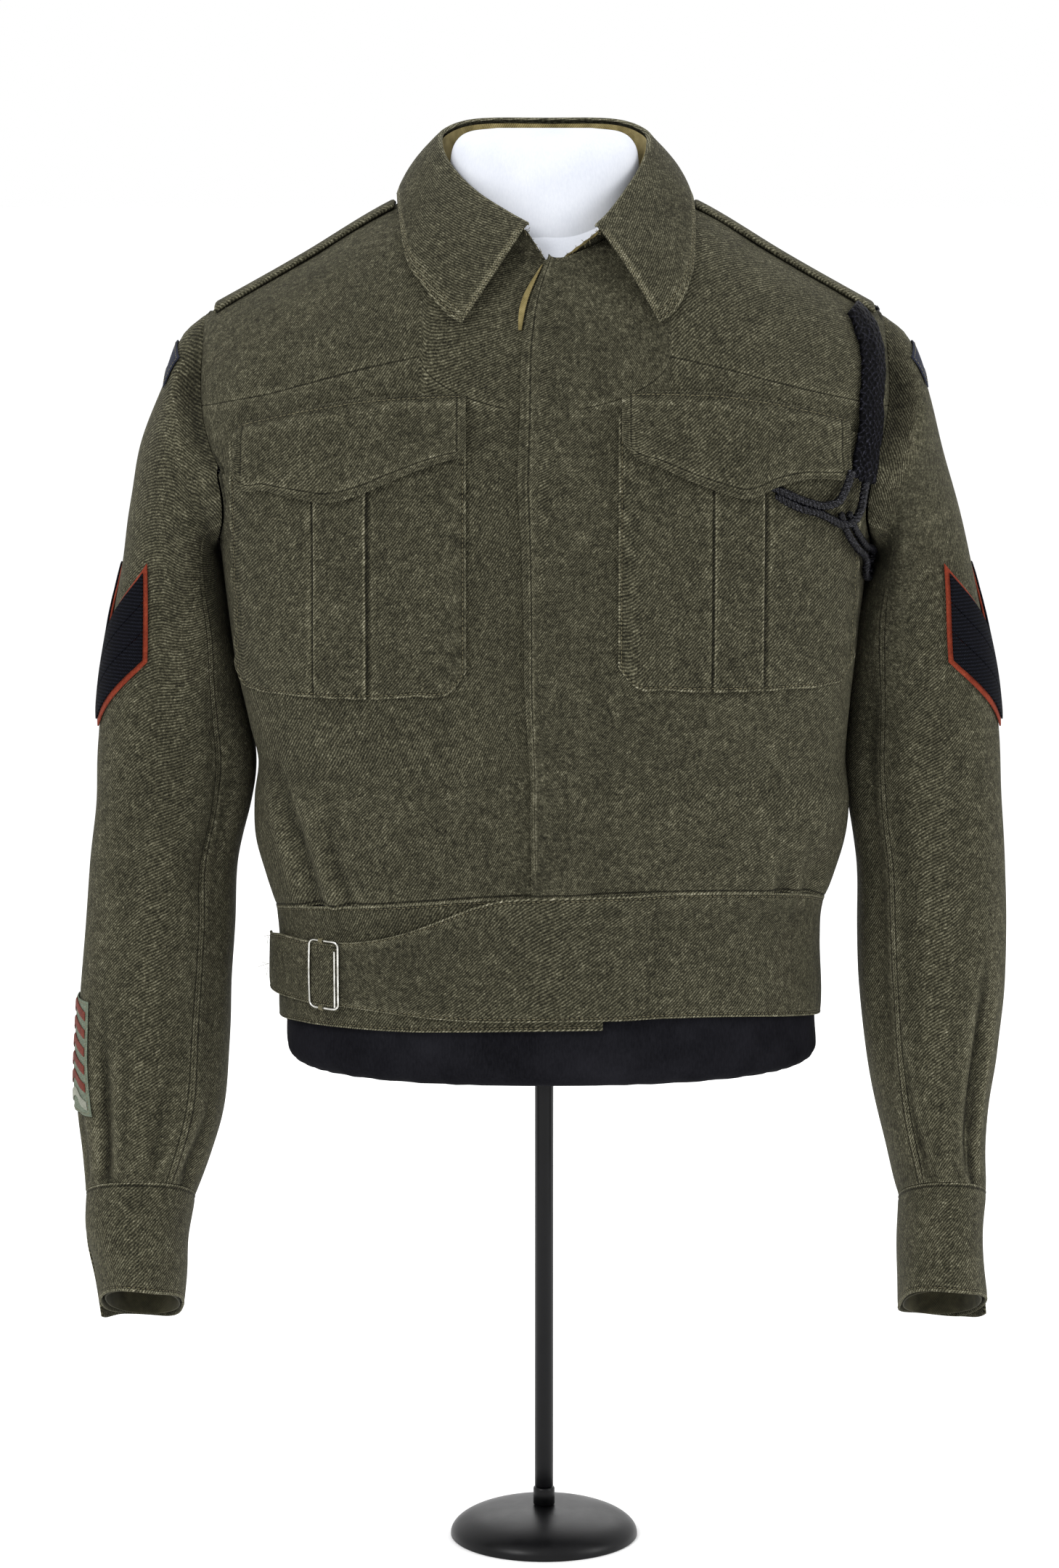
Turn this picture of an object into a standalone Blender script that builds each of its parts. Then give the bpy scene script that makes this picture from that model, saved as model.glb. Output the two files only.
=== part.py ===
"""A wool battledress blouse on a limbless dress form with a pole and a round base.

Metres, +Z up. The origin is the centre of the base's underside on the floor, +X is the
wearer's left and -Y is the front. Every cloth piece is a closed wall between an outer and an
inner grid of points. The body cloth is drawn by one function of an angle round the body and
a level up it, and whatever lies on the body is made from the same points, moved outwards.
"""

import math

import bmesh
import bpy
import numpy as np

# Cloth thicknesses and the gaps between pieces
SERGE = 0.0020
DRILL = 0.0010
SEAM = 0.0003
LAYER_GAP = 0.0007

# Body: levels up to CHEST are heights, and from CHEST to CHEST + 1 they go over the shoulder
CHEST = 0.700
OVER_FRONT = 2.0
OVER_BACK = 2.6
TIP_SHARE = 0.99
NECK_HALF = 0.075
NECK_FRONT = 0.087
NECK_BACK = 0.062

# Outer face of the body cloth. Columns: height, half width on the wearer's right, half width
# on the wearer's left, depth in front, depth behind, squareness of the section
SECTIONS = np.array([
    (0.330, 0.1705, 0.1765, 0.1090, 0.1010, 2.4),
    (0.360, 0.1710, 0.1775, 0.1110, 0.1020, 2.4),
    (0.400, 0.1700, 0.1770, 0.1130, 0.1035, 2.4),
    (0.420, 0.1720, 0.1785, 0.1150, 0.1055, 2.4),
    (0.440, 0.1780, 0.1850, 0.1185, 0.1090, 2.5),
    (0.465, 0.1850, 0.1920, 0.1225, 0.1135, 2.5),
    (0.490, 0.1855, 0.1940, 0.1245, 0.1160, 2.6),
    (0.515, 0.1825, 0.1920, 0.1255, 0.1175, 2.6),
    (0.540, 0.1880, 0.1935, 0.1260, 0.1190, 2.8),
    (0.570, 0.1945, 0.1970, 0.1260, 0.1205, 3.0),
    (0.610, 0.2005, 0.2005, 0.1260, 0.1220, 3.1),
    (0.655, 0.2050, 0.2050, 0.1260, 0.1230, 3.3),
    (0.700, 0.2185, 0.2185, 0.1250, 0.1230, 3.6),
])

# Height of the shoulder seam. Columns: distance from the middle, height
SHOULDER = np.array([
    (0.000, 0.8850),
    (0.040, 0.8810),
    (0.075, 0.8730),
    (0.098, 0.8620),
    (0.150, 0.8310),
    (0.220, 0.7920),
])

# Armhole edge. Columns: level, degrees round from the front centre
ARMHOLE = np.array([
    (0.655, 90.0),
    (0.659, 79.0),
    (0.667, 70.0),
    (0.680, 63.5),
    (0.700, 60.0),
    (0.785, 64.0),
    (0.900, 71.5),
    (1.010, 76.5),
    (1.320, 77.5),
    (1.700, 77.5),
])

# Waist seam and lower edge of the waistband round the body. Columns: degrees, seam, hem
WAIST = np.array([
    (-180.0, 0.411, 0.340),
    (-135.0, 0.413, 0.342),
    (-90.0, 0.419, 0.348),
    (-60.0, 0.4275, 0.3535),
    (-30.0, 0.4345, 0.3600),
    (0.0, 0.4425, 0.3630),
    (30.0, 0.4430, 0.3630),
    (60.0, 0.4360, 0.3570),
    (90.0, 0.4230, 0.3490),
    (135.0, 0.4140, 0.3430),
    (180.0, 0.4110, 0.3400),
])

# Edge of the left front, which laps over the right. Columns: height, distance from the middle
FLY = np.array([
    (0.430, -0.0227),
    (0.550, -0.0217),
    (0.650, -0.0190),
    (0.735, -0.0155),
    (0.789, -0.0130),
    (0.808, -0.0090),
    (0.833, 0.0020),
])
UNDERLAP, FLY_GAP = 0.012, 0.0014
FLY_LINING_Z, FLY_LINING_HIDDEN, FLY_LINING_WIDE = (0.790, 0.829), 0.0004, 0.0030
LAP_OUT = SERGE + LAYER_GAP
LAP_FROM, LAP_TO = 0.016, 0.040

# Soft folds that rise from the waist seam. Columns: distance from the middle at the top and at
# the seam, height of the top, half width, depth, side (-1 front, 1 back)
FOLDS = np.array([
    (-0.168, -0.141, 0.520, 0.0070, -0.0045, -1),
    (-0.153, -0.128, 0.515, 0.0080, 0.0035, -1),
    (-0.140, -0.119, 0.490, 0.0060, -0.0030, -1),
    (0.157, 0.149, 0.470, 0.0060, -0.0035, -1),
    (0.175, 0.166, 0.475, 0.0060, -0.0035, -1),
    (-0.110, -0.098, 0.500, 0.0090, -0.0040, 1),
    (-0.060, -0.052, 0.480, 0.0090, -0.0030, 1),
    (0.058, 0.050, 0.485, 0.0090, -0.0030, 1),
    (0.112, 0.099, 0.505, 0.0090, -0.0040, 1),
])

# Height from which the folds lean, and the heights between which they end below the seam
FOLD_FOOT, FOLD_END = 0.425, (0.408, 0.432)

# Columns of the panels: distance from the middle at the chest, then degrees near the armhole
INNER_COLUMNS = (0.042, 0.0758, 0.105, 0.135, 0.162, 0.186, 0.204)
RIGHT_COLUMNS = (0.042, 0.060, 0.070, 0.0758, 0.105, 0.135, 0.160, 0.168, 0.1745, 0.181, 0.1875, 0.194,
                 0.200, 0.206)
LEFT_COLUMNS = (0.042, 0.060, 0.070, 0.0758, 0.105, 0.135, 0.162, 0.180, 0.188, 0.196, 0.204)
OUTER_COLUMNS = (70.0, 77.5)
# Shares of the way from the waist seam to the chest, and from the chest over the shoulder
BODY_ROWS = (0.0, 0.12, 0.25, 0.38, 0.52, 0.66, 0.78, 0.87, 0.94, 1.0)
SHOULDER_ROWS = (0.06, 0.15, 0.29, 0.43, 0.57, 0.71, 0.86, 1.0)

# Sleeve rings on the outer face. Columns: height and distance out of the outermost point on
# the right and left sleeve, the same of the innermost point, half depth, how far the centre
# lies behind the shoulder (minus is forward), forward pitch in degrees, squareness
SLEEVE = np.array([
    (0.7970, 0.2135, 0.2135, 0.655, 0.2055, 0.2055, 0.0800, 0.0000, 0.0, 2.2),
    (0.7830, 0.2285, 0.2290, 0.647, 0.2105, 0.2115, 0.0790, 0.0000, 0.0, 2.2),
    (0.7570, 0.2390, 0.2395, 0.638, 0.2110, 0.2120, 0.0770, 0.0000, 0.0, 2.3),
    (0.7190, 0.2540, 0.2500, 0.622, 0.2095, 0.2105, 0.0710, 0.0000, 0.0, 2.5),
    (0.6820, 0.2610, 0.2601, 0.604, 0.2070, 0.2090, 0.0640, 0.0000, 0.0, 2.7),
    (0.6450, 0.2665, 0.2690, 0.585, 0.2040, 0.2060, 0.0580, 0.0000, 0.0, 2.9),
    (0.6050, 0.2741, 0.2780, 0.562, 0.2000, 0.2020, 0.0530, 0.0000, 0.0, 3.0),
    (0.5650, 0.2809, 0.2860, 0.538, 0.1925, 0.1985, 0.0510, 0.0000, 0.0, 3.0),
    (0.5250, 0.2841, 0.2898, 0.512, 0.1870, 0.1965, 0.0500, 0.0000, 0.0, 3.0),
    (0.4850, 0.2858, 0.2920, 0.482, 0.1890, 0.1970, 0.0500, 0.0000, 1.0, 2.9),
    (0.4450, 0.2903, 0.2947, 0.445, 0.1970, 0.2000, 0.0500, -0.001, 2.0, 2.8),
    (0.4050, 0.2940, 0.2958, 0.405, 0.1988, 0.2016, 0.0500, -0.003, 4.0, 2.8),
    (0.3650, 0.2973, 0.2953, 0.365, 0.2007, 0.2033, 0.0500, -0.006, 7.0, 2.7),
    (0.3250, 0.2999, 0.2915, 0.325, 0.2030, 0.2075, 0.0490, -0.011, 11.0, 2.6),
    (0.2900, 0.2995, 0.2858, 0.290, 0.2065, 0.2145, 0.0470, -0.018, 15.0, 2.5),
    (0.2620, 0.2958, 0.2828, 0.262, 0.2145, 0.2215, 0.0455, -0.026, 19.0, 2.4),
    (0.2365, 0.2935, 0.2825, 0.2365, 0.2240, 0.2275, 0.0440, -0.0345, 22.0, 2.3),
])
CUFF = np.array([
    (0.2358, 0.2936, 0.2825, 0.2358, 0.2239, 0.2274, 0.0441, -0.0348, 22.0, 2.3),
    (0.2140, 0.2935, 0.2800, 0.214, 0.2275, 0.2260, 0.0462, -0.0435, 23.0, 2.3),
    (0.1920, 0.2870, 0.2800, 0.192, 0.2275, 0.2255, 0.0470, -0.0535, 24.0, 2.3),
    (0.1710, 0.2825, 0.2815, 0.171, 0.2290, 0.2250, 0.0475, -0.0630, 24.0, 2.3),
])
# Gap of the sleeve head outside the armhole, and how much wider it is at the back
HEAD_GAP, HEAD_GAP_BACK = 0.0012, 1.5
FRONT_SEAM, BACK_SEAM = 118.0, -112.0
SEAM_ANGLE = 0.32
TOP_CELLS, UNDER_CELLS = 14, 8
CUFF_STEP, CUFF_LAP_FROM, CUFF_LAP_TO = 15.0, -60.0, 345.0
# Degrees before the lap's end at which it starts and stops rising and starts to droop, the
# droop of its corner, and the rings and gap of the lining
CUFF_RISE_FROM, CUFF_RISE_TO, CUFF_DROOP_FROM, CUFF_DROOP = 90.0, 45.0, 50.0, 0.0045
CUFF_LINING_RINGS, CUFF_LINING_GAP = (1.0, 2.0, 2.96), 0.0007

# Largest creases of the sleeves. Columns: side, degrees round, first and last ring, half
# width in degrees, depth
SLEEVE_FOLDS = np.array([
    (-1, 118.0, 6.0, 11.0, 12.0, -0.0030),
    (-1, 60.0, 12.5, 16.5, 10.0, -0.0045),
    (-1, 88.0, 8.0, 17.0, 9.0, 0.0022),
    (-1, 150.0, 14.0, 17.0, 12.0, -0.0035),
    (1, 108.0, 6.0, 13.0, 12.0, -0.0030),
    (1, 52.0, 11.5, 16.5, 10.0, -0.0050),
    (1, 92.0, 7.0, 17.0, 9.0, 0.0022),
    (-1, 255.0, 6.0, 12.0, 14.0, -0.0030),
    (1, 255.0, 6.0, 12.0, 14.0, -0.0030),
])

# Collar, from the wearer's right front end round the back to the left. Columns: degrees of
# the neck seam, roll line x, y, z, leaf edge x, z, side of the leaf edge (-1 front, 1 back)
COLLAR = np.array([
    (0.6, -0.0110, -0.0900, 0.8545, -0.0505, 0.7930, -1),
    (-16.0, -0.0240, -0.0790, 0.8615, -0.0610, 0.8000, -1),
    (-40.0, -0.0430, -0.0570, 0.8735, -0.0740, 0.8155, -1),
    (-65.0, -0.0580, -0.0300, 0.8880, -0.0857, 0.8360, -1),
    (-90.0, -0.0665, 0.0000, 0.9025, -0.0905, 0.8650, -1),
    (-118.0, -0.0650, 0.0300, 0.9110, -0.0860, 0.8560, 1),
    (-148.0, -0.0450, 0.0590, 0.9175, -0.0550, 0.8520, 1),
    (-180.0, 0.0000, 0.0730, 0.9180, 0.0000, 0.8500, 1),
    (-212.0, 0.0450, 0.0590, 0.9175, 0.0550, 0.8520, 1),
    (-242.0, 0.0650, 0.0300, 0.9110, 0.0860, 0.8560, 1),
    (-270.0, 0.0665, 0.0000, 0.9025, 0.0905, 0.8650, -1),
    (-295.0, 0.0600, -0.0300, 0.8880, 0.0915, 0.8360, -1),
    (-318.0, 0.0500, -0.0560, 0.8735, 0.0870, 0.8155, -1),
    (-338.0, 0.0400, -0.0760, 0.8610, 0.0790, 0.8010, -1),
    (-352.7, 0.0320, -0.0880, 0.8535, 0.0695, 0.7930, -1),
])
COLLAR_CELLS, COLLAR_ROWS = 30, 4
COLLAR_LIFT, COLLAR_RIDGE = 0.0036, 0.0022
# Share of the roll line in the middle of the fall's curve, and how far that bulges out
COLLAR_PULL, COLLAR_BULGE = 0.55, 0.0085
STAND_THICK, STAND_FOOT, STAND_HEAD = 0.0015, 0.0014, 0.0048
# The lining's gap inside the stand, and where it starts and ends as shares of the stand's height
LINING_GAP, LINING_LOW, LINING_TOP = 0.0009, 0.08, 1.045

# Pockets. Columns: distance from the middle, lower edge, upper edge
BAG_RIGHT = np.array([
    (-0.1930, 0.5790, 0.722),
    (-0.1885, 0.5685, 0.723),
    (-0.1800, 0.5660, 0.724),
    (-0.1690, 0.5655, 0.725),
    (-0.1560, 0.5655, 0.7255),
    (-0.1422, 0.5655, 0.726),
    (-0.1410, 0.5655, 0.726),
    (-0.1095, 0.5655, 0.729),
    (-0.1083, 0.5655, 0.729),
    (-0.0800, 0.5675, 0.735),
    (-0.0560, 0.5720, 0.738),
    (-0.0480, 0.5830, 0.739),
])
BAG_LEFT = np.array([
    (0.0445, 0.5860, 0.740),
    (0.0520, 0.5760, 0.741),
    (0.0750, 0.5715, 0.742),
    (0.1022, 0.5700, 0.741),
    (0.1034, 0.5700, 0.741),
    (0.1330, 0.5700, 0.736),
    (0.1342, 0.5700, 0.736),
    (0.1500, 0.5700, 0.733),
    (0.1650, 0.5700, 0.731),
    (0.1770, 0.5710, 0.7295),
    (0.1865, 0.5740, 0.728),
    (0.1935, 0.5860, 0.725),
])
PLEAT_RIGHT = (-0.1412, -0.1093)
PLEAT_LEFT = (0.1032, 0.1332)
PLEAT_HIGH = 0.0018
# How far beside a pleat a flap rises over it: start and end, outwards from the pleat
FLAP_RISE_FROM, FLAP_RISE_TO = 0.024, 0.004
# Rows of the pocket bags as shares of the way up to the chest level and above it
BAG_BELOW, BAG_ABOVE = (0.0, 0.2, 0.42, 0.64, 0.86, 1.0), (0.4, 1.0)
FLAP_RIGHT = np.array([
    (-0.1895, 0.7040, 0.7290),
    (-0.1860, 0.6970, 0.7320),
    (-0.1700, 0.6935, 0.7370),
    (-0.1500, 0.6895, 0.7415),
    (-0.1320, 0.6865, 0.7450),
    (-0.1150, 0.6905, 0.7480),
    (-0.0950, 0.6990, 0.7500),
    (-0.0700, 0.7090, 0.7515),
    (-0.0480, 0.7150, 0.7520),
])
FLAP_LEFT = np.array([
    (0.0465, 0.7240, 0.7520),
    (0.0530, 0.7155, 0.7530),
    (0.0700, 0.7080, 0.7535),
    (0.0900, 0.6990, 0.7530),
    (0.1080, 0.6925, 0.7520),
    (0.1215, 0.6890, 0.7500),
    (0.1400, 0.6965, 0.7465),
    (0.1560, 0.7000, 0.7430),
    (0.1710, 0.7000, 0.7395),
    (0.1850, 0.6995, 0.7350),
])
BAG_THICK, FLAP_THICK = 0.0015, 0.0017
BAG_OUT = LAYER_GAP + BAG_THICK
FLAP_IN = BAG_OUT + LAYER_GAP + 0.0003

# Shoulder straps
STRAP_FROM, STRAP_TO = 0.0930, 0.2060
STRAP_HALF, STRAP_THICK = 0.0210, 0.0030
STRAP_CELLS = 9

# Waistband tab and its wire buckle
TAB_TOP, TAB_LOW = 0.4085, 0.3680
TAPER_FROM, TAPER_TO = -0.020, -0.1270
BUCKLE_X, BUCKLE_Z = (-0.1440, -0.1265), (0.3662, 0.4095)
WIRE, BUCKLE_CORNER, BUCKLE_OUT = 0.0015, 0.0030, 0.0006
# The second bar: its gap from the frame's side, and its ends inside the frame's foot and top
BAR_GAP, BAR_FOOT, BAR_TOP = 0.0007, 0.0015, 0.0060
TAB_END = -86.0
# How far the lapping band stands out, the x between which that ends, half the side seams in
# degrees, and the share of the tab's rise that its tapering edge takes at the end
BAND_LAP, BAND_LAP_END, BAND_SEAM, TAPER_STEEP = 0.0032, (0.045, 0.075), 0.1, 0.65
# The band under the lap: how far it shows below, the degrees between which that starts, its end
UNDER_SHOWN, UNDER_SHOWN_FROM, UNDER_END = 0.0065, (-70, -20), 0.036
# The tab's end: its gap from the band in degrees, how far its tip stands out, and from where
TAB_GAP, TAB_TIP_OUT, TAB_TIP_FROM, TAB_NARROW = 0.35, 0.0030, (62, 84), 0.001
BAND_X_LEVEL, BAND_TURN_LEVEL = 0.40, 0.39

# Badges: size, distance forward of the sleeve's outer line and height
CHEVRON_HALF, CHEVRON_SIDE, CHEVRON_MIDDLE = 0.044, 0.063, 0.5367
CHEVRON_FORWARD = 0.0235
CHEVRON_EDGE, CHEVRON_THICK, CHEVRON_GAP = 0.0045, 0.0012, 0.0010
CHEVRON_INSET, STRIPE_GAP = 0.7 * CHEVRON_EDGE, 0.0008
SERVICE_HALF, SERVICE_Z, SERVICE_FORWARD = 0.019, (0.2905, 0.3625), 0.0195
SERVICE_BARS, SERVICE_PITCH, SERVICE_BAR = 6, 0.0112, 0.0055
# How far the first bar lies above the badge's foot and the bars inside its sides, how far their
# points rise, the thickness of the badge and of a bar, and the bars' distance out
SERVICE_FOOT, SERVICE_SIDE, SERVICE_POINT = 0.0035, 0.002, 0.0055
SERVICE_THICK, SERVICE_BAR_THICK, SERVICE_BAR_OUT = 0.0010, 0.0008, LAYER_GAP + 0.0018
TITLE_HALF, TITLE_Z, TITLE_DROP, TITLE_THICK = 0.036, (0.7610, 0.7790), 0.010, 0.0010

# Lanyard: the braid's route and the cords' routes on the left front
BRAID_HALF, BRAID_HIGH, CORD = 0.0073, 0.0046, 0.0050
BRAID_ACROSS, BRAID_SIDE = (-1.0, -0.7, 0.0, 0.7, 1.0), 0.45
# The braid's distance out, what it rises for the flap, and the heights between which it rises
BRAID_OUT, BRAID_OVER_FLAP = 0.0012, 0.0026
BRAID_BAG_Z, BRAID_FLAP_Z = (0.728, 0.748), (0.702, 0.714)
KNOT, KNOT_SIZE = (0.1835, 0.6835, 0.0093), (0.0085, 0.0050, 0.0125)
CORD_OUT, POCKET_CORD = 0.0006, ((0.1735, 0.6800), (0.1630, 0.6845), (0.1530, 0.6905))
# The cord under the arm: x, height and distance out beside the bag, then degrees round the
# body and levels down to the arm's lowest point and up behind it, each with a distance out
ARM_CORD_FRONT = ((0.1875, 0.6685, 0.0068), (0.1935, 0.6580, 0.0055), (0.1985, 0.6480, 0.0040))
ARM_CORD_LOW, ARM_CORD_LOW_OUT = (
    (74.0, 0.639), (82.0, 0.6355), (90.0, 0.6345), (98.0, 0.636), (106.0, 0.641)), 0.0033
ARM_CORD_UP, ARM_CORD_UP_OUT = (
    (114.0, 0.647), (121.0, 0.663), (126.0, 0.685), (127.0, 0.71), (124.0, 0.78), (119.0, 0.86),
    (114.5, 0.95), (112.0, 1.05), (110.5, 1.18), (110.5, 1.36), (110.5, 1.57)), 0.0036
BRAID = np.array([
    (0.1965, 0.7915),
    (0.1990, 0.7850),
    (0.2005, 0.7780),
    (0.2010, 0.7650),
    (0.1995, 0.7480),
    (0.1975, 0.7320),
    (0.1945, 0.7150),
    (0.1905, 0.6990),
])

# Form and stand
FORM_CLEAR, FORM_REST, FORM_SPLIT, FORM_FOOT = 0.0072, 0.0015, 0.3720, 0.3185
FORM_SIDE, FORM_EDGE = 86.0, 70.0
FORM_COLUMNS = (74.0, 86.0)
# Heights between which the arm end of the form moves forward, and what the shoulders of the
# form keep clear of the cloth near the neck and near the sleeve, with the x of each
FORM_EDGE_Z = (0.62, CHEST)
FORM_NECK_CLEAR, FORM_NECK_X = 0.004, (0.080, 0.098)
FORM_ARM_CLEAR, FORM_ARM_X = 0.006, (0.150, 0.185)
FORM_ROWS = 8
FORM_SHOULDER_ROWS = (0.16, 0.32, 0.48, 0.64, 0.78, 0.90, 0.97)
NECK_SQUARE, NECK_SIDES = 2.2, 28
NECK = np.array([
    (0.8000, 0.0620, 0.0660, 0.0500),
    (0.8400, 0.0605, 0.0665, 0.0520),
    (0.8700, 0.0595, 0.0610, 0.0550),
    (0.8930, 0.0590, 0.0560, 0.0570),
    (0.9040, 0.0555, 0.0500, 0.0545),
    (0.9100, 0.0470, 0.0400, 0.0460),
    (0.9122, 0.0300, 0.0220, 0.0300),
])
LOWER = np.array([
    (0.3185, 0.1480, 0.1570, 0.0920, 0.0850, 2.3),
    (0.3205, 0.1570, 0.1665, 0.1000, 0.0925, 2.3),
    (0.3260, 0.1630, 0.1730, 0.1050, 0.0965, 2.4),
    (0.3370, 0.1655, 0.1745, 0.1065, 0.0975, 2.4),
    (0.3720, 0.1650, 0.1720, 0.1065, 0.0970, 2.4),
])
FORM_CELLS = 14
POLE_RADIUS, SOCKET_RADIUS, SOCKET_HIGH = 0.0060, 0.0070, 0.0120
BASE_RADIUS, BASE_HIGH, BASE_RIM, BASE_FLAT = 0.0610, 0.0200, 0.0015, 0.001

# Colours (sRGB), roughness, metallic
FINISHES = {
    "wool serge": ((0.28, 0.27, 0.22), 0.95, 0.0),
    "khaki drill": ((0.43, 0.38, 0.23), 0.90, 0.0),
    "black braid": ((0.03, 0.03, 0.035), 0.80, 0.0),
    "red felt": ((0.55, 0.20, 0.12), 0.95, 0.0),
    "navy cloth": ((0.09, 0.10, 0.14), 0.95, 0.0),
    "grey green cloth": ((0.35, 0.37, 0.30), 0.95, 0.0),
    "bright steel": ((0.80, 0.80, 0.78), 0.25, 1.0),
    "white jersey": ((0.88, 0.88, 0.89), 0.90, 0.0),
    "black jersey": ((0.03, 0.03, 0.035), 0.90, 0.0),
    "satin black paint": ((0.03, 0.03, 0.03), 0.40, 0.0),
}


# Helpers

def clear_scene():
    for obj in list(bpy.data.objects):
        bpy.data.objects.remove(obj, do_unlink=True)


def through(knots, values, at):
    """A smooth curve through a table's values, read at one or many places."""
    at = np.clip(np.asarray(at, float), knots[0], knots[-1])
    slopes = np.gradient(values, knots, axis=0)
    i = np.clip(np.searchsorted(knots, at, side="right") - 1, 0, len(knots) - 2)
    step = knots[i + 1] - knots[i]
    t = (at - knots[i]) / step
    if values.ndim > 1:
        step, t = step[..., None], t[..., None]
    start = (2 * t**3 - 3 * t**2 + 1) * values[i] + (t**3 - 2 * t**2 + t) * step * slopes[i]
    end = (3 * t**2 - 2 * t**3) * values[i + 1] + (t**3 - t**2) * step * slopes[i + 1]
    return start + end


def ease(at, start, end):
    """0 before start, 1 after end, smooth between."""
    t = np.clip((at - start) / (end - start), 0, 1)
    return t * t * (3 - 2 * t)


def unit(vectors):
    return vectors / np.maximum(np.linalg.norm(vectors, axis=-1, keepdims=True), 1e-12)


def power(value, square):
    """A signed sine or cosine bent to a squarer section."""
    return np.sign(value) * np.abs(value) ** (2 / square)


def grid_normals(points, ring=False):
    """Unit normals of a grid of points, rows up and columns to the right seen from outside."""
    if ring:
        wide = np.roll(points, -1, axis=1) - np.roll(points, 1, axis=1)
    else:
        wide = np.gradient(points, axis=1)
    return unit(np.cross(wide, np.gradient(points, axis=0)))


FINISH_CACHE = {}


def finish(name):
    if name in FINISH_CACHE:
        return FINISH_CACHE[name]
    colour, roughness, metallic = FINISHES[name]
    material = bpy.data.materials.new(name)
    material.use_nodes = True
    shader = material.node_tree.nodes["Principled BSDF"]
    linear = [c / 12.92 if c <= 0.04045 else ((c + 0.055) / 1.055) ** 2.4 for c in colour]
    shader.inputs["Base Color"].default_value = (*linear, 1.0)
    shader.inputs["Roughness"].default_value = roughness
    shader.inputs["Metallic"].default_value = metallic
    FINISH_CACHE[name] = material
    return material


def add_object(name, mesh, finish_name, sharp=40.0):
    obj = bpy.data.objects.new(name, mesh)
    PARTS.objects.link(obj)
    mesh.materials.append(finish(finish_name))
    mesh.shade_smooth()
    mesh.set_sharp_from_angle(angle=math.radians(sharp))
    return obj


def mesh_from(name, points, faces):
    mesh = bpy.data.meshes.new(name)
    bm = bmesh.new()
    verts = [bm.verts.new(p) for p in points]
    for face in faces:
        bm.faces.new([verts[i] for i in face])
    bmesh.ops.recalc_face_normals(bm, faces=bm.faces)
    bm.to_mesh(mesh)
    bm.free()
    return mesh


def wall(name, outer, inner, finish_name, ring=False):
    """A closed wall of cloth between two grids of points, open or joined into a ring.

    Both faces are cut along the same, outward diagonals, so that layers stay apart.
    """
    rows, columns = outer.shape[:2]
    count = rows * columns
    points = np.concatenate([outer.reshape(-1, 3), inner.reshape(-1, 3)])
    cells = columns if ring else columns - 1
    faces = []
    for j in range(rows - 1):
        for i in range(cells):
            k = (i + 1) % columns
            a, b = j * columns + i, j * columns + k
            c, d = (j + 1) * columns + k, (j + 1) * columns + i
            bulge = points[a] + points[c] - points[b] - points[d]
            split = ((a, b, c), (a, c, d)) if bulge @ (points[a] - points[count + a]) > 0 else (
                (a, b, d), (b, c, d))
            for p, q, r in split:
                faces.append((p, q, r))
                faces.append((count + r, count + q, count + p))
    for i in range(cells):
        k = (i + 1) % columns
        for edge in (0, (rows - 1) * columns):
            faces.append((edge + i, edge + k, count + edge + k))
            faces.append((edge + i, count + edge + k, count + edge + i))
    for j in range(0 if ring else rows - 1):
        for a in (j * columns, (j + 1) * columns - 1):
            faces.append((a, a + columns, count + a + columns))
            faces.append((a, count + a + columns, count + a))
    return add_object(name, mesh_from(name, points, faces), finish_name)


def closed_loft(name, rings):
    """A solid through rings of points, closed by flat ends."""
    rows, columns = rings.shape[:2]
    faces = []
    for j in range(rows - 1):
        for i in range(columns):
            k = (i + 1) % columns
            faces.append((j * columns + i, j * columns + k,
                          (j + 1) * columns + k, (j + 1) * columns + i))
    faces.append(tuple(reversed(range(columns))))
    faces.append(tuple(range((rows - 1) * columns, rows * columns)))
    return mesh_from(name, rings.reshape(-1, 3), faces)


# Body cloth

def shoulder_height(x):
    return through(SHOULDER[:, 0], SHOULDER[:, 1], np.abs(x))


def body(turn, level):
    """Point on the outer face of the body cloth, turn in radians round from the front."""
    turn, level = np.broadcast_arrays(np.asarray(turn, float), np.asarray(level, float))
    height = np.minimum(level, CHEST)
    right, left, front, back, square = np.moveaxis(
        through(SECTIONS[:, 0], SECTIONS[:, 1:], height), -1, 0)
    side, ahead = np.sin(turn), np.cos(turn)
    x = np.where(side > 0, left, right) * power(side, square)
    y = -np.where(ahead > 0, front, back) * power(ahead, square)
    rise = np.clip(level - CHEST, 0, 1) * math.pi / 2
    over = np.where(ahead > 0, OVER_FRONT, OVER_BACK)
    up = np.abs(np.sin(rise)) ** (2 / over)
    top = x * TIP_SHARE
    return np.stack([
        x + (top - x) * up,
        y * np.abs(np.cos(rise)) ** (2 / over),
        height + (shoulder_height(top) - CHEST) * up,
    ], axis=-1)


def body_normal(turn, level):
    step = 1e-4
    level = np.minimum(level, CHEST + 1)
    wide = body(turn + step, level) - body(turn - step, level)
    high = body(turn, np.minimum(level + step, CHEST + 1)) - body(turn, level - step)
    return unit(np.cross(wide, high))


def lap(x):
    """How far the left front stands out where it lies over the right front."""
    return LAP_OUT * (1 - ease(x, LAP_FROM, LAP_TO))


def fold_height(points):
    """Outward movement of the cloth by its soft folds."""
    x, y, z = points[..., 0], points[..., 1], points[..., 2]
    total = np.zeros_like(x)
    for top_x, low_x, top_z, half, depth, side in FOLDS:
        share = np.clip((z - FOLD_FOOT) / (top_z - FOLD_FOOT), -0.5, 1.5)
        middle = low_x + (top_x - low_x) * share
        fade = (1 - ease(z, FOLD_FOOT + 0.45 * (top_z - FOLD_FOOT), top_z)) * ease(z, *FOLD_END)
        here = np.exp(-((x - middle) / half) ** 2) * fade
        total = total + depth * np.where(np.sign(y) == side, here, 0)
    return total


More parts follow.
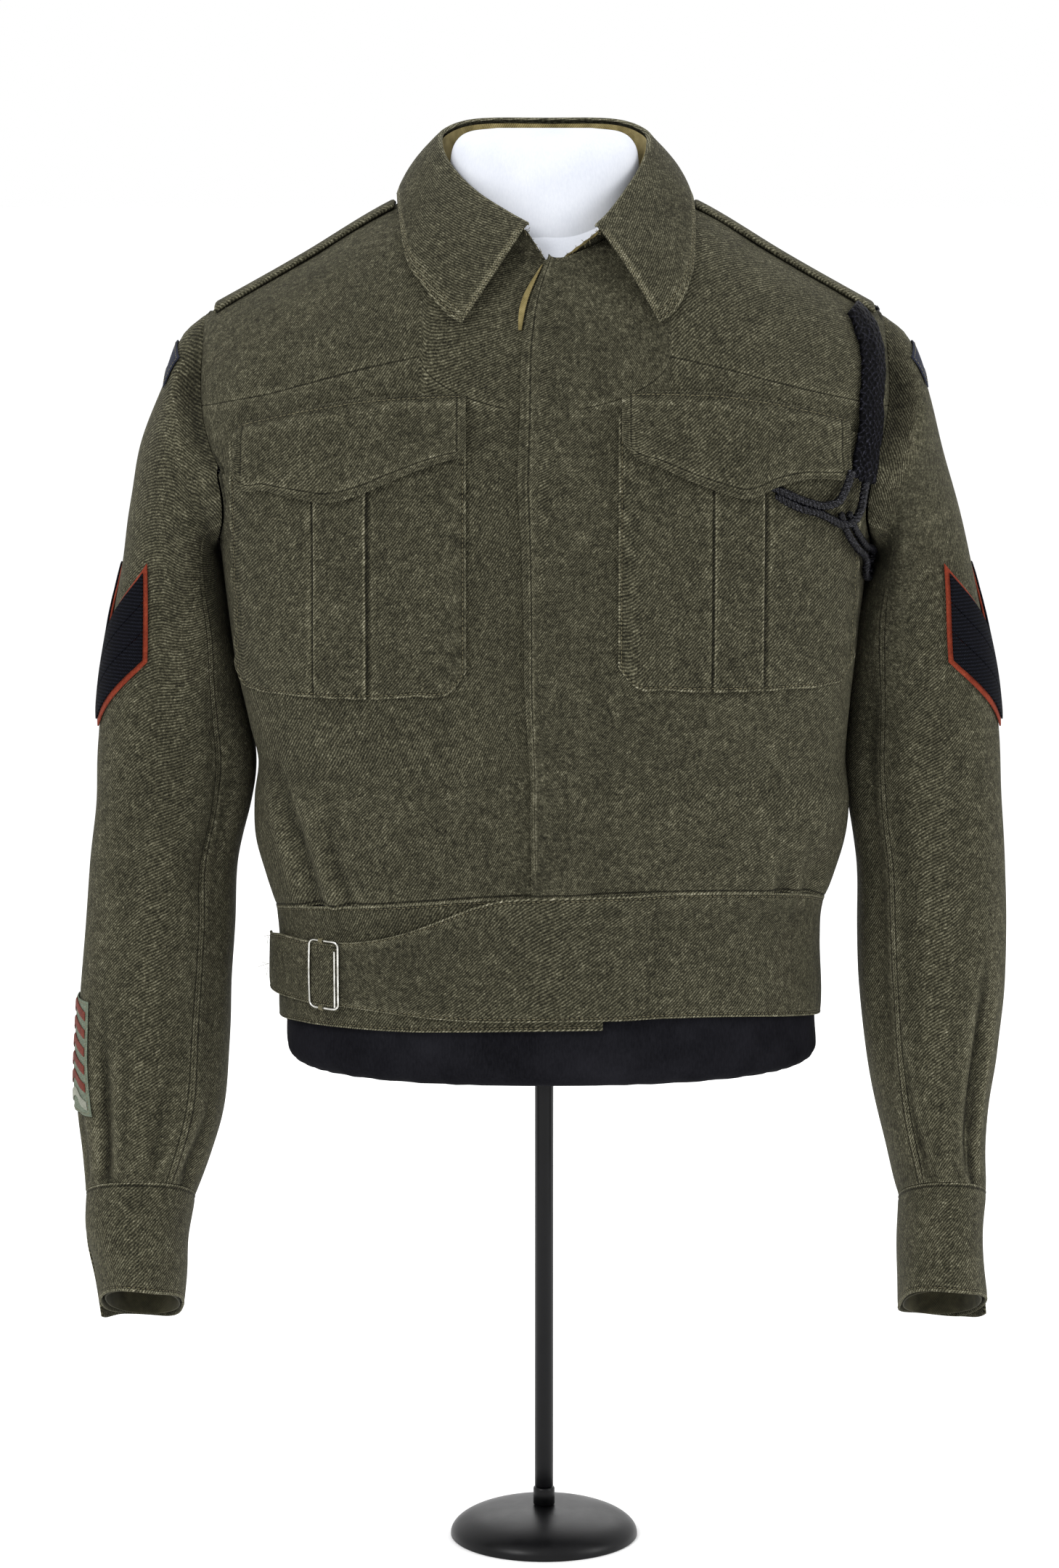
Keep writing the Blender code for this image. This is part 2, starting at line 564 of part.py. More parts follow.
def body_cloth(turn, level, out=0.0):
    """Point of the body cloth with its folds, moved outwards by out."""
    points = body(turn, level)
    normals = body_normal(turn, level)
    return points + normals * (fold_height(points) + out)[..., None]


def spot(x, z, back=False):
    """Turn and level of the place with this x and height on the front or the back."""
    x, z = np.broadcast_arrays(np.asarray(x, float), np.asarray(z, float))
    over = OVER_BACK if back else OVER_FRONT
    up = np.clip((z - CHEST) / (shoulder_height(x) - CHEST), 0, 1)
    level = np.where(z <= CHEST, z, CHEST + np.arcsin(up ** (over / 2)) / (math.pi / 2))
    right, left, _, _, square = np.moveaxis(
        through(SECTIONS[:, 0], SECTIONS[:, 1:], np.minimum(z, CHEST)), -1, 0)
    share = np.abs(x) / (1 + (TIP_SHARE - 1) * up) / np.where(x > 0, left, right)
    turn = np.sign(x) * np.arcsin(np.clip(share, 0, 1) ** (square / 2))
    return (np.where(x > 0, math.pi, -math.pi) - turn if back else turn), level


def on_body(x, z, out, back=False):
    turn, level = spot(x, z, back)
    return body_cloth(turn, level, np.asarray(out, float) + np.zeros_like(level))


def over_shoulder(x, y, out):
    """Point at a distance out above the shoulder, from its x and y."""
    x, y = np.broadcast_arrays(np.asarray(x, float), np.asarray(y, float))
    _, _, front, back, square = SECTIONS[-1, 1:]
    share = np.clip(np.abs(x) / TIP_SHARE / SECTIONS[-1, 1], 0, 1)
    turn = np.sign(x) * np.arcsin(share ** (square / 2))
    depth = np.where(y < 0, front, back) * np.cos(turn) ** (2 / square)
    over = np.where(y < 0, OVER_FRONT, OVER_BACK)
    rise = np.arccos(np.clip(np.abs(y) / depth, 0, 1) ** (over / 2))
    level = CHEST + rise / (math.pi / 2)
    turn = np.where(y < 0, turn, np.sign(x) * math.pi - turn)
    return body(turn, level) + body_normal(turn, level) * out


def neck_rise(x, back):
    """Share of the way over the shoulder at which the neck seam cuts the body."""
    depth, neck, over = (
        (SECTIONS[-1, 4], NECK_BACK, OVER_BACK) if back else (SECTIONS[-1, 3], NECK_FRONT, OVER_FRONT))
    reach = np.sqrt(np.clip(1 - (x / NECK_HALF) ** 2, 0, 1))
    return np.arccos((neck * reach / depth) ** (over / 2)) / (math.pi / 2)


def column_turns(columns=INNER_COLUMNS):
    """Turns of one half's columns at the chest, the last at the armhole edge."""
    half, square = SECTIONS[-1, 1], SECTIONS[-1, 5]
    inner = np.arcsin((np.array(columns) / half) ** (square / 2))
    return np.concatenate([inner, np.radians(OUTER_COLUMNS)])


def edge_turn(level):
    return np.radians(np.where(level <= ARMHOLE[0, 0], ARMHOLE[0, 1],
                               through(ARMHOLE[:, 0], ARMHOLE[:, 1], level)))


def panel_turns(nominal, level):
    """Columns of a panel at a level: the nominal turns, drawn to the armhole and side seam."""
    edge_at = np.radians(OUTER_COLUMNS[-1])
    return nominal + (edge_turn(level) - edge_at) * np.clip(nominal / edge_at, 0, 1) ** 3


def waist(turn, column):
    return through(WAIST[:, 0], WAIST[:, column], np.degrees(turn))


def panel_levels(nominal, back):
    """Levels of a panel's rows for each of its columns, from the waist seam to the top."""
    low_turn = panel_turns(np.abs(nominal), ARMHOLE[0, 0])
    turns = np.copysign(math.pi - low_turn if back else low_turn, nominal)
    x_top = SECTIONS[-1, 1] * power(np.sin(nominal), SECTIONS[-1, 5]) * TIP_SHARE
    seam = waist(turns, 1) + SEAM / 2
    rise = np.where(np.abs(x_top) < NECK_HALF, neck_rise(x_top, back), 1.0)
    low = np.array(BODY_ROWS)[:, None]
    high = np.array(SHOULDER_ROWS)[:, None]
    return np.concatenate([seam + (CHEST - seam) * low, CHEST + rise * high])


def front_panel(name, side):
    """A front from its edge at the middle to the side seam and armhole, 1 left and -1 right."""
    nominal = column_turns(LEFT_COLUMNS if side > 0 else RIGHT_COLUMNS)
    half, square = SECTIONS[-1, 1], SECTIONS[-1, 5]
    start = FLY[:, 1].mean() if side > 0 else -UNDERLAP
    middle = np.array([start, 0.006 if side > 0 else 0.012])
    first = np.sign(middle) * np.arcsin((np.abs(middle) / half) ** (square / 2))
    nominal = np.concatenate([first, nominal])
    levels = panel_levels(nominal if side > 0 else -nominal, False)
    turns = panel_turns(np.broadcast_to(nominal, levels.shape), levels)
    height = body(turns, levels)[:, 0, 2]
    edge_x = through(FLY[:, 0], FLY[:, 1], height) if side > 0 else -UNDERLAP
    turns[:, 0] = spot(edge_x, height)[0]
    turns = turns * side
    x = body(turns, levels)[..., 0]
    stand_out = lap(x) if side > 0 else np.zeros_like(x)
    outer = body_cloth(turns, levels, stand_out)
    inner = body_cloth(turns, levels, stand_out - SERGE)
    for points in (outer, inner):
        points[levels[:, -1] <= ARMHOLE[0, 0], -1, 1] -= SEAM / 2
        points[-1, :, 1] -= np.where(levels[-1] >= CHEST + 1, SEAM / 2, 0)
    wall(name, outer, inner, "wool serge")


def back_panel():
    nominal = column_turns()
    nominal = np.concatenate([-nominal[::-1], [0.0], nominal])
    levels = panel_levels(nominal, True)
    size = panel_turns(np.broadcast_to(np.abs(nominal), levels.shape), levels)
    turns = np.where(nominal >= 0, math.pi - size, size - math.pi)
    outer = body_cloth(turns, levels, np.zeros_like(levels))
    inner = body_cloth(turns, levels, np.zeros_like(levels) - SERGE)
    for points in (outer, inner):
        for column in (0, -1):
            points[levels[:, column] <= ARMHOLE[0, 0], column, 1] += SEAM / 2
        points[-1, :, 1] += np.where(levels[-1] >= CHEST + 1, SEAM / 2, 0)
    wall("back", outer, inner, "wool serge")


def strip(name, x, z, inside, outside, finish_name):
    """A piece that lies on the front of the body, on a grid of heights."""
    x = np.broadcast_to(x, z.shape)
    wall(name, on_body(x, z, outside), on_body(x, z, inside), finish_name)


def fly_lining():
    """The narrow edge of drill that shows inside the top of the fly."""
    z = np.linspace(*FLY_LINING_Z, 7)[:, None]
    edge = through(FLY[:, 0], FLY[:, 1], z)
    bow = np.sin(np.linspace(0.15, 1, 7) * math.pi)[:, None]
    peek = FLY_LINING_HIDDEN + FLY_LINING_WIDE * bow
    x = edge - FLY_GAP - peek * np.array([[1.0, 0.0]])
    z = np.broadcast_to(z, x.shape)
    wall("fly_lining", on_body(x, z, LAYER_GAP + DRILL), on_body(x, z, LAYER_GAP), "khaki drill")


# Pockets

def pleat_at(x, pleat):
    return ((x > pleat[0]) & (x < pleat[1])).astype(float)


def pocket(side, bag, flap, pleat):
    name = "left" if side > 0 else "right"
    raised = PLEAT_HIGH * pleat_at(bag[:, 0], pleat)
    x, low, high = bag.T
    below, above = np.array(BAG_BELOW)[:, None], np.array(BAG_ABOVE)[:, None]
    z = np.concatenate([low + (CHEST - low) * below, CHEST + (high - CHEST) * above])
    strip(f"pocket_bag_{name}", x, z, LAYER_GAP, BAG_OUT + raised, "wool serge")
    x, low, high = flap.T
    knee = np.where(low < CHEST - 0.001, CHEST, low + (high - low) / 4)
    z = np.stack([low, knee, (knee + high) / 2, high])
    over = PLEAT_HIGH * ease(x, pleat[0] - FLAP_RISE_FROM, pleat[0] - FLAP_RISE_TO) * (
        1 - ease(x, pleat[1] + FLAP_RISE_TO, pleat[1] + FLAP_RISE_FROM))
    strip(f"pocket_flap_{name}", x, z, FLAP_IN + over, FLAP_IN + FLAP_THICK + over, "wool serge")


# Collar

def neck_seam(turn):
    """Point of the neck seam, turn in radians round from the front."""
    x = NECK_HALF * np.sin(turn)
    ahead = np.cos(turn) > 0
    rise = np.where(ahead, neck_rise(x, False), neck_rise(x, True))
    half, square = SECTIONS[-1, 1], SECTIONS[-1, 5]
    size = np.arcsin((np.abs(x) / TIP_SHARE / half) ** (square / 2))
    where = np.where(ahead, size, math.pi - size) * np.where(x < 0, -1, 1)
    return body(where, CHEST + rise)


def collar_lines():
    """Neck seam, roll line and leaf edge of the collar at evenly spaced stations."""
    rows = np.arange(len(COLLAR), dtype=float)
    at = np.linspace(0, len(COLLAR) - 1, COLLAR_CELLS + 1)
    table = through(rows, COLLAR, at)
    seam = neck_seam(np.radians(table[:, 0]))
    roll = table[:, 1:4]
    places = np.array([on_body(x, min(z, float(shoulder_height(x)) - 0.0005), 0.0, side > 0)
                       for x, z, side in COLLAR[:, 4:]])
    x, y = np.moveaxis(through(rows, places[:, :2], at), -1, 0)
    lift = COLLAR_LIFT + COLLAR_RIDGE * (1 - ease(np.abs(y), 0.030, 0.075))
    edge = np.stack([over_shoulder(*place) for place in zip(x, y, lift)])
    left = np.arange(len(at)) > COLLAR_CELLS / 2
    seam[:, 2] += np.where(left, lap(seam[:, 0]), 0)
    return seam, roll, edge


def collar():
    seam, roll, edge = collar_lines()
    away = unit(roll * np.array([1.0, 1.0, 0.0]))
    share = np.linspace(0, 1, COLLAR_ROWS + 1)[:, None, None]
    middle = roll * COLLAR_PULL + edge * (1 - COLLAR_PULL) + away * COLLAR_BULGE
    fall = (1 - share) ** 2 * roll + 2 * share * (1 - share) * middle + share**2 * edge
    normals = -grid_normals(fall[::-1])[::-1]
    normals = np.where((normals * away).sum(-1, keepdims=True) < 0, -normals, normals)
    wall("collar_fall", fall, fall - normals * SERGE, "wool serge")

    foot = seam + np.array([0.0, 0.0, STAND_FOOT])
    head = roll - np.array([0.0, 0.0, STAND_HEAD])
    for name, offset, thick, first, last, ends, finish_name in (
            ("collar_stand", 0.0, STAND_THICK, 0.0, 1.0, 0, "wool serge"),
            ("collar_lining", STAND_THICK + LINING_GAP, DRILL, LINING_LOW, LINING_TOP, 1,
             "khaki drill")):
        outer = foot + (head - foot) * np.linspace(first, last, 4)[:, None, None] - away * offset
        inner = outer - away * thick
        shown = slice(ends, len(foot) - ends)
        wall(name, outer[:, shown], inner[:, shown], finish_name)


def shoulder_strap(side):
    name = "left" if side > 0 else "right"
    x = side * np.linspace(STRAP_FROM, STRAP_TO, STRAP_CELLS + 1)[None, :]
    y = np.linspace(-STRAP_HALF, STRAP_HALF, 5)[:, None]
    y = y * side
    inner = over_shoulder(x, y, LAYER_GAP)
    outer = over_shoulder(x, y, LAYER_GAP + STRAP_THICK)
    wall(f"shoulder_strap_{name}", outer, inner, "wool serge")


# Sleeves

def armhole_ring(side, tau):
    """Point of the armhole seam, tau 0 at the shoulder, 90 in front, 180 under the arm."""
    levels = np.concatenate([np.linspace(CHEST + 1, CHEST, 60),
                             np.linspace(CHEST, ARMHOLE[0, 0], 40)[1:]])
    halves = []
    for back in (False, True):
        turn = edge_turn(levels)
        curve = body((math.pi - turn if back else turn) * side, levels)
        run = np.concatenate([[0], np.cumsum(np.linalg.norm(np.diff(curve, axis=0), axis=1))])
        halves.append((run / run[-1], curve))
    tau = np.mod(tau, 360.0)
    front = tau <= 180
    share = np.where(front, tau, 360 - tau) / 180
    points = [np.stack([np.interp(share, run, curve[:, k]) for k in range(3)], axis=-1)
              for run, curve in halves]
    return np.where(front[..., None], points[0], points[1])


def tube_point(table, side, tau, ring):
    """Point on a tube of sections, tau in degrees, ring counted down its table."""
    rows = np.arange(len(table), dtype=float)
    value = np.moveaxis(through(rows, table, ring), -1, 0)
    out_z, out_x, in_z, in_x = value[0], value[2 if side > 0 else 1], value[3], value[5 if side > 0 else 4]
    deep, behind, pitch, square = value[6], value[7], np.radians(value[8]), value[9]
    across, around = power(np.cos(np.radians(tau)), square), power(np.sin(np.radians(tau)), square)
    x = (out_x + in_x) / 2 + (out_x - in_x) / 2 * across
    y = behind - deep * around * np.cos(pitch)
    z = (out_z + in_z) / 2 + (out_z - in_z) / 2 * across + deep * around * np.sin(pitch)
    return np.stack([x * side, y, z], axis=-1)


def sleeve_crease(side, tau, ring):
    total = np.zeros(np.broadcast(tau, ring).shape)
    for of_side, at, first, last, half, depth in SLEEVE_FOLDS:
        if of_side != side:
            continue
        turn = (tau - at + 180) % 360 - 180
        along = ease(ring, first, first + 1.5) * (1 - ease(ring, last - 1.0, last))
        total = total + depth * np.exp(-(turn / half) ** 2) * along
    return total


def sleeve_skin(side, tau, ring):
    """Point on the outer face of a sleeve, drawn to the armhole seam at its head."""
    tau, ring = np.broadcast_arrays(np.asarray(tau, float), np.asarray(ring, float))
    points = tube_point(SLEEVE, side, tau, ring)
    gap = side * HEAD_GAP * (1 + HEAD_GAP_BACK * np.clip(-np.sin(np.radians(tau)), 0, 1))
    head = armhole_ring(side, tau) + gap[..., None] * np.array([1.0, 0.0, 0.0])
    pull = (head - tube_point(SLEEVE, side, tau, np.zeros_like(ring)))
    return points + pull * (1 - ease(ring, 0.0, 2.5))[..., None]


def sleeve_normal(side, tau, ring):
    last = len(SLEEVE) - 1
    wide = sleeve_skin(side, tau + 0.2, ring) - sleeve_skin(side, tau - 0.2, ring)
    down = (sleeve_skin(side, tau, np.minimum(ring + 0.02, last))
            - sleeve_skin(side, tau, np.maximum(ring - 0.02, 0)))
    return unit(np.cross(wide, down)) * side


def sleeve_cloth(side, tau, ring, out):
    tau, ring = np.broadcast_arrays(np.asarray(tau, float), np.asarray(ring, float))
    move = sleeve_crease(side, tau, ring) + out
    return sleeve_skin(side, tau, ring) + sleeve_normal(side, tau, ring) * move[..., None]


def sleeve(side):
    name = "left" if side > 0 else "right"
    ring = np.arange(len(SLEEVE), dtype=float)[:, None]
    pieces = (
        ("sleeve_top", BACK_SEAM + SEAM_ANGLE, FRONT_SEAM - SEAM_ANGLE, TOP_CELLS),
        ("sleeve_under", FRONT_SEAM + SEAM_ANGLE, 360 + BACK_SEAM - SEAM_ANGLE, UNDER_CELLS),
    )
    for piece, first, last, cells in pieces:
        tau = np.linspace(first, last, cells + 1)[None, :]
        outer = sleeve_cloth(side, tau, ring, 0.0)
        inner = sleeve_cloth(side, tau, ring, -SERGE)
        wall(f"{piece}_{name}", outer, inner, "wool serge")


def cuff(side):
    name = "left" if side > 0 else "right"
    ring = np.arange(len(CUFF), dtype=float)[:, None]
    tau = np.arange(CUFF_LAP_FROM, CUFF_LAP_TO + 1, CUFF_STEP)[None, :]
    lifted = LAP_OUT * ease(tau, CUFF_LAP_TO - CUFF_RISE_FROM, CUFF_LAP_TO - CUFF_RISE_TO)
    skin = tube_point(CUFF, side, tau, ring)
    droop = CUFF_DROOP * ease(tau, CUFF_LAP_TO - CUFF_DROOP_FROM, CUFF_LAP_TO)
    skin[..., 2] -= droop * ring / (len(CUFF) - 1)
    closed = tube_point(CUFF, side, tau + 0.5, ring) - tube_point(CUFF, side, tau - 0.5, ring)
    normals = unit(np.cross(closed, np.gradient(skin, axis=0))) * side
    outer = skin + normals * lifted[..., None]
    wall(f"cuff_{name}", outer, outer - normals * SERGE, "wool serge")

    tau = np.arange(0, 360, CUFF_STEP)[None, :]
    ring = np.array(CUFF_LINING_RINGS)[:, None]
    skin = tube_point(CUFF, side, tau, ring)
    closed = tube_point(CUFF, side, tau + 0.5, ring) - tube_point(CUFF, side, tau - 0.5, ring)
    normals = unit(np.cross(closed, np.gradient(skin, axis=0))) * side
    outer = skin - normals * (SERGE + CUFF_LINING_GAP)
    wall(f"cuff_lining_{name}", outer, outer - normals * DRILL, "khaki drill", ring=True)


# Badges

SLEEVE_CHARTS = {}


def sleeve_chart(side):
    """Arc length forward of the outer line and height over a fine net of a sleeve."""
    if side not in SLEEVE_CHARTS:
        tau = np.linspace(-150, 150, 151)
        ring = np.linspace(0.2, len(SLEEVE) - 1.2, 146)
        net = sleeve_skin(side, tau[None, :], ring[:, None])
        steps = np.linalg.norm(np.diff(net, axis=1), axis=2)
        run = np.concatenate([np.zeros((len(ring), 1)), np.cumsum(steps, axis=1)], axis=1)
        run = run - run[:, len(tau) // 2][:, None]
        SLEEVE_CHARTS[side] = tau, ring, run, net[..., 2]
    return SLEEVE_CHARTS[side]


def on_sleeve(side, arc, z, out):
    """Point over a sleeve at an arc length forward of its outer line and a height."""
    tau, ring, run, height = sleeve_chart(side)
    places = np.zeros((*np.shape(arc), 2))
    for index in np.ndindex(*np.shape(arc)):
        at = np.array([np.interp(arc[index], row, tau) for row in run])
        high = np.array([np.interp(a, tau, row) for a, row in zip(at, height)])
        here = np.interp(-z[index], -high, ring)
        places[index] = np.interp(here, ring, at), here
    return sleeve_cloth(side, places[..., 0], places[..., 1], out)


def sleeve_patch(name, side, arc, low, high, rows, inside, thick, finish_name):
    share = np.linspace(0, 1, rows + 1)[:, None]
    z = low + (high - low) * share
    arc = np.broadcast_to(arc, z.shape)
    wall(name, on_sleeve(side, arc, z, inside + thick), on_sleeve(side, arc, z, inside), finish_name)


def chevrons(side):
    name = "left" if side > 0 else "right"
    across = np.linspace(-1, 1, 9)
    arc = CHEVRON_FORWARD + CHEVRON_HALF * across
    low = CHEVRON_MIDDLE + CHEVRON_HALF * np.abs(across)
    sleeve_patch(f"chevron_backing_{name}", side, arc, low, low + CHEVRON_SIDE, 3,
                 LAYER_GAP, CHEVRON_THICK, "red felt")
    inset = CHEVRON_HALF - CHEVRON_INSET
    arc = CHEVRON_FORWARD + inset * across
    base = CHEVRON_MIDDLE + CHEVRON_EDGE + inset * np.abs(across)
    pitch = (CHEVRON_SIDE - 2 * CHEVRON_EDGE) / 3
    for bar in range(3):
        low = base + bar * pitch
        sleeve_patch(f"chevron_{name}_{bar + 1}", side, arc, low, low + pitch - STRIPE_GAP, 1,
                     LAYER_GAP + CHEVRON_THICK + CHEVRON_GAP, CHEVRON_THICK, "black braid")


def service_badge():
    arc = SERVICE_FORWARD + np.linspace(-SERVICE_HALF, SERVICE_HALF, 5)
    low, high = np.full(5, SERVICE_Z[0]), np.full(5, SERVICE_Z[1])
    sleeve_patch("service_backing", -1, arc, low, high, 4, LAYER_GAP, SERVICE_THICK,
                 "grey green cloth")
    across = np.linspace(-1, 1, 5)
    arc = SERVICE_FORWARD + (SERVICE_HALF - SERVICE_SIDE) * across
    for bar in range(SERVICE_BARS):
        rise = SERVICE_POINT * (1 - np.abs(across))
        low = SERVICE_Z[0] + SERVICE_FOOT + bar * SERVICE_PITCH + rise
        sleeve_patch(f"service_bar_{bar + 1}", -1, arc, low, low + SERVICE_BAR, 1,
                     SERVICE_BAR_OUT, SERVICE_BAR_THICK, "red felt")


def shoulder_title(side):
    name = "left" if side > 0 else "right"
    arc = np.linspace(-TITLE_HALF, TITLE_HALF, 7)
    drop = TITLE_DROP * (arc / TITLE_HALF) ** 2
    sleeve_patch(f"shoulder_title_{name}", side, arc, TITLE_Z[0] - drop, TITLE_Z[1] - drop, 2,
                 LAYER_GAP, TITLE_THICK, "navy cloth")


# Waistband, tab and buckle

def band_points(degrees, low, high, rows, out):
    share = np.linspace(0, 1, rows + 1)[:, None]
    turn = np.radians(degrees)[None, :]
    z = low[None, :] + (high - low)[None, :] * share
    turn = np.broadcast_to(turn, z.shape)
    return body(turn, z) + body_normal(turn, z) * (np.zeros_like(z) + out)[..., None]


def band_edges(degrees):
    turn = np.radians(degrees)
    return waist(turn, 2), waist(turn, 1) - SEAM


def band_piece(name, first, last, cells, fit):
    degrees = np.linspace(first, last, cells + 1)
    low, high, out = fit(degrees)
    wall(name, band_points(degrees, low, high, 3, out),
         band_points(degrees, low, high, 3, out - SERGE), "wool serge")


def degrees_at(x, z):
    return float(np.degrees(spot(x, z)[0]))


def waistband():
    tab_at = degrees_at(TAPER_TO, BAND_TURN_LEVEL)

    def left_fit(degrees):
        low, high = band_edges(degrees)
        x = body(np.radians(degrees), np.full_like(degrees, BAND_X_LEVEL))[:, 0]
        taper = ease(-x, -TAPER_FROM, -TAPER_TO)
        low = low + (TAB_LOW - low) * taper
        straight = np.clip((TAPER_FROM - x) / (TAPER_FROM - TAPER_TO), 0, 1)
        high = high + (TAB_TOP - high) * (TAPER_STEEP * taper + (1 - TAPER_STEEP) * straight)
        out = BAND_LAP * (1 - ease(x, *BAND_LAP_END))
        return low, high, out

    def right_fit(degrees):
        low, high = band_edges(degrees)
        shown = UNDER_SHOWN * ease(degrees, *UNDER_SHOWN_FROM)
        return low - shown, high, 0.0

    def back_fit(degrees):
        wrapped = np.where(degrees > 180, degrees - 360, degrees)
        low, high = band_edges(wrapped)
        return low, high, 0.0

    under_end = degrees_at(UNDER_END, BAND_TURN_LEVEL)
    band_piece("waistband_left", tab_at, 90 - BAND_SEAM, 20, left_fit)
    band_piece("waistband_right", -90 + BAND_SEAM, under_end, 13, right_fit)
    band_piece("waistband_back", 90 + BAND_SEAM, 270 - BAND_SEAM, 18, back_fit)
    degrees = np.linspace(TAB_END, tab_at - TAB_GAP, 6)
    out = BAND_LAP + TAB_TIP_OUT * ease(-degrees, *TAB_TIP_FROM)
    low, high = np.full(6, TAB_LOW - TAB_NARROW), np.full(6, TAB_TOP - TAB_NARROW)
    wall("belt_tab", band_points(degrees, low, high, 2, out),
         band_points(degrees, low, high, 2, out - SERGE), "wool serge")


def wire_curve(name, points, radius, finish_name, cyclic=False, resolution=2):
    """A wire or cord along points, as a mesh with closed ends."""
    curve = bpy.data.curves.new(name, "CURVE")
    curve.dimensions = "3D"
    curve.bevel_depth = radius
    curve.bevel_resolution = resolution
    curve.use_fill_caps = not cyclic
    spline = curve.splines.new("POLY")
    spline.points.add(len(points) - 1)
    for point, place in zip(spline.points, points):
        point.co = (*place, 1.0)
    spline.use_cyclic_u = cyclic
    obj = bpy.data.objects.new(name, curve)
    PARTS.objects.link(obj)
    curve.materials.append(finish(finish_name))
    return obj


def buckle():
    """A bright wire frame over the end of the tab, with a second bar beside its right one."""
    (x0, x1), (z0, z1) = BUCKLE_X, BUCKLE_Z
    corner = BUCKLE_CORNER
    centres = ((x1 - corner, z1 - corner, 0), (x0 + corner, z1 - corner, 90),
               (x0 + corner, z0 + corner, 180), (x1 - corner, z0 + corner, 270))
    frame = []
    for cx, cz, first in centres:
        for angle in np.radians(np.linspace(first, first + 90, 4)):
            frame.append((cx + corner * math.cos(angle), cz + corner * math.sin(angle)))
    frame = np.array(frame)
    out = BAND_LAP + SEAM + WIRE / 2 + BUCKLE_OUT
    points = on_body(frame[:, 0], frame[:, 1], out)
    wire_curve("buckle", points, WIRE / 2, "bright steel", cyclic=True)
    bar_x = x1 - WIRE - BAR_GAP
    bar = on_body(np.full(3, bar_x), np.linspace(z0 + BAR_FOOT, z1 - BAR_TOP, 3), out)
    wire_curve("buckle_bar", bar, WIRE / 2, "bright steel")


# Lanyard

def smooth_route(stops, count):
    stops = np.asarray(stops, float)
    run = np.concatenate([[0], np.cumsum(np.linalg.norm(np.diff(stops, axis=0), axis=1))])
    return through(run, stops, np.linspace(0, run[-1], count))


def lanyard():
    line = smooth_route(BRAID, 13)
    along = unit(np.gradient(line, axis=0))
    across = np.stack([along[:, 1], -along[:, 0]], axis=-1)
    across = across * np.where(across[:, :1] > 0, 1, -1)
    share = np.array(BRAID_ACROSS)
    x = line[:, 0][:, None] + across[:, 0][:, None] * share * BRAID_HALF
    z = line[:, 1][:, None] + across[:, 1][:, None] * share * BRAID_HALF
    x, z = x[::-1], z[::-1]
    crown = BRAID_HIGH * (BRAID_SIDE + (1 - BRAID_SIDE) * np.sqrt(1 - np.minimum(share**2, 0.999)))
    rest = BRAID_OUT + BAG_OUT * (1 - ease(z, *BRAID_BAG_Z)) + BRAID_OVER_FLAP * (
        1 - ease(z, *BRAID_FLAP_Z))
    wall("lanyard_braid", on_body(x, z, rest + crown), on_body(x, z, rest), "black braid")

    knot = on_body(*KNOT)
    mesh = bpy.data.meshes.new("lanyard_knot")
    bm = bmesh.new()
    bmesh.ops.create_uvsphere(bm, u_segments=12, v_segments=8, radius=1.0)
    for vert in bm.verts:
        vert.co = [c * size + middle for c, size, middle in zip(vert.co, KNOT_SIZE, knot)]
    bm.to_mesh(mesh)
    bm.free()
    add_object("lanyard_knot", mesh, "black braid")

    radius = CORD / 2
    bag_out = BAG_OUT + radius + CORD_OUT
    stops = smooth_route(POCKET_CORD, 6)
    wire_curve("lanyard_cord_pocket", on_body(stops[:, 0], stops[:, 1], bag_out), radius, "black braid")

    arm = [on_body(x, z, out) for x, z, out in ARM_CORD_FRONT]
    for stops, out in ((ARM_CORD_LOW, ARM_CORD_LOW_OUT), (ARM_CORD_UP, ARM_CORD_UP_OUT)):
        arm += [body_cloth(np.radians(degrees), level, out) for degrees, level in stops]
    wire_curve("lanyard_cord_underarm", smooth_route(arm, 28), radius, "black braid")


# Form and stand

def form_ring(level):
    """One level ring of the form, drawn inside the cloth, with flat arm ends."""
    edge = np.radians(FORM_SIDE + (FORM_EDGE - FORM_SIDE) * float(ease(level, *FORM_EDGE_Z)))
    half = np.concatenate([[0.0], column_turns()[:-2], np.radians(FORM_COLUMNS)])
    half = half + (edge - half[-1]) * (half / half[-1]) ** 3
    front = np.concatenate([-half[:0:-1], half])
    back = math.pi - front[::-1]
    turns = np.concatenate([front, back])
    level = np.full(turns.shape, level)
    up = np.abs(np.sin(np.clip(level - CHEST, 0, 1) * math.pi / 2))
    points = body(turns, level)
    x = np.abs(points[:, 0])
    rest = (FORM_REST + FORM_NECK_CLEAR * (1 - ease(x, *FORM_NECK_X))
            + FORM_ARM_CLEAR * ease(x, *FORM_ARM_X))
    inset = SERGE + FORM_CLEAR * (1 - up**3) + rest * up**3
    return points - body_normal(turns, level) * inset[:, None]


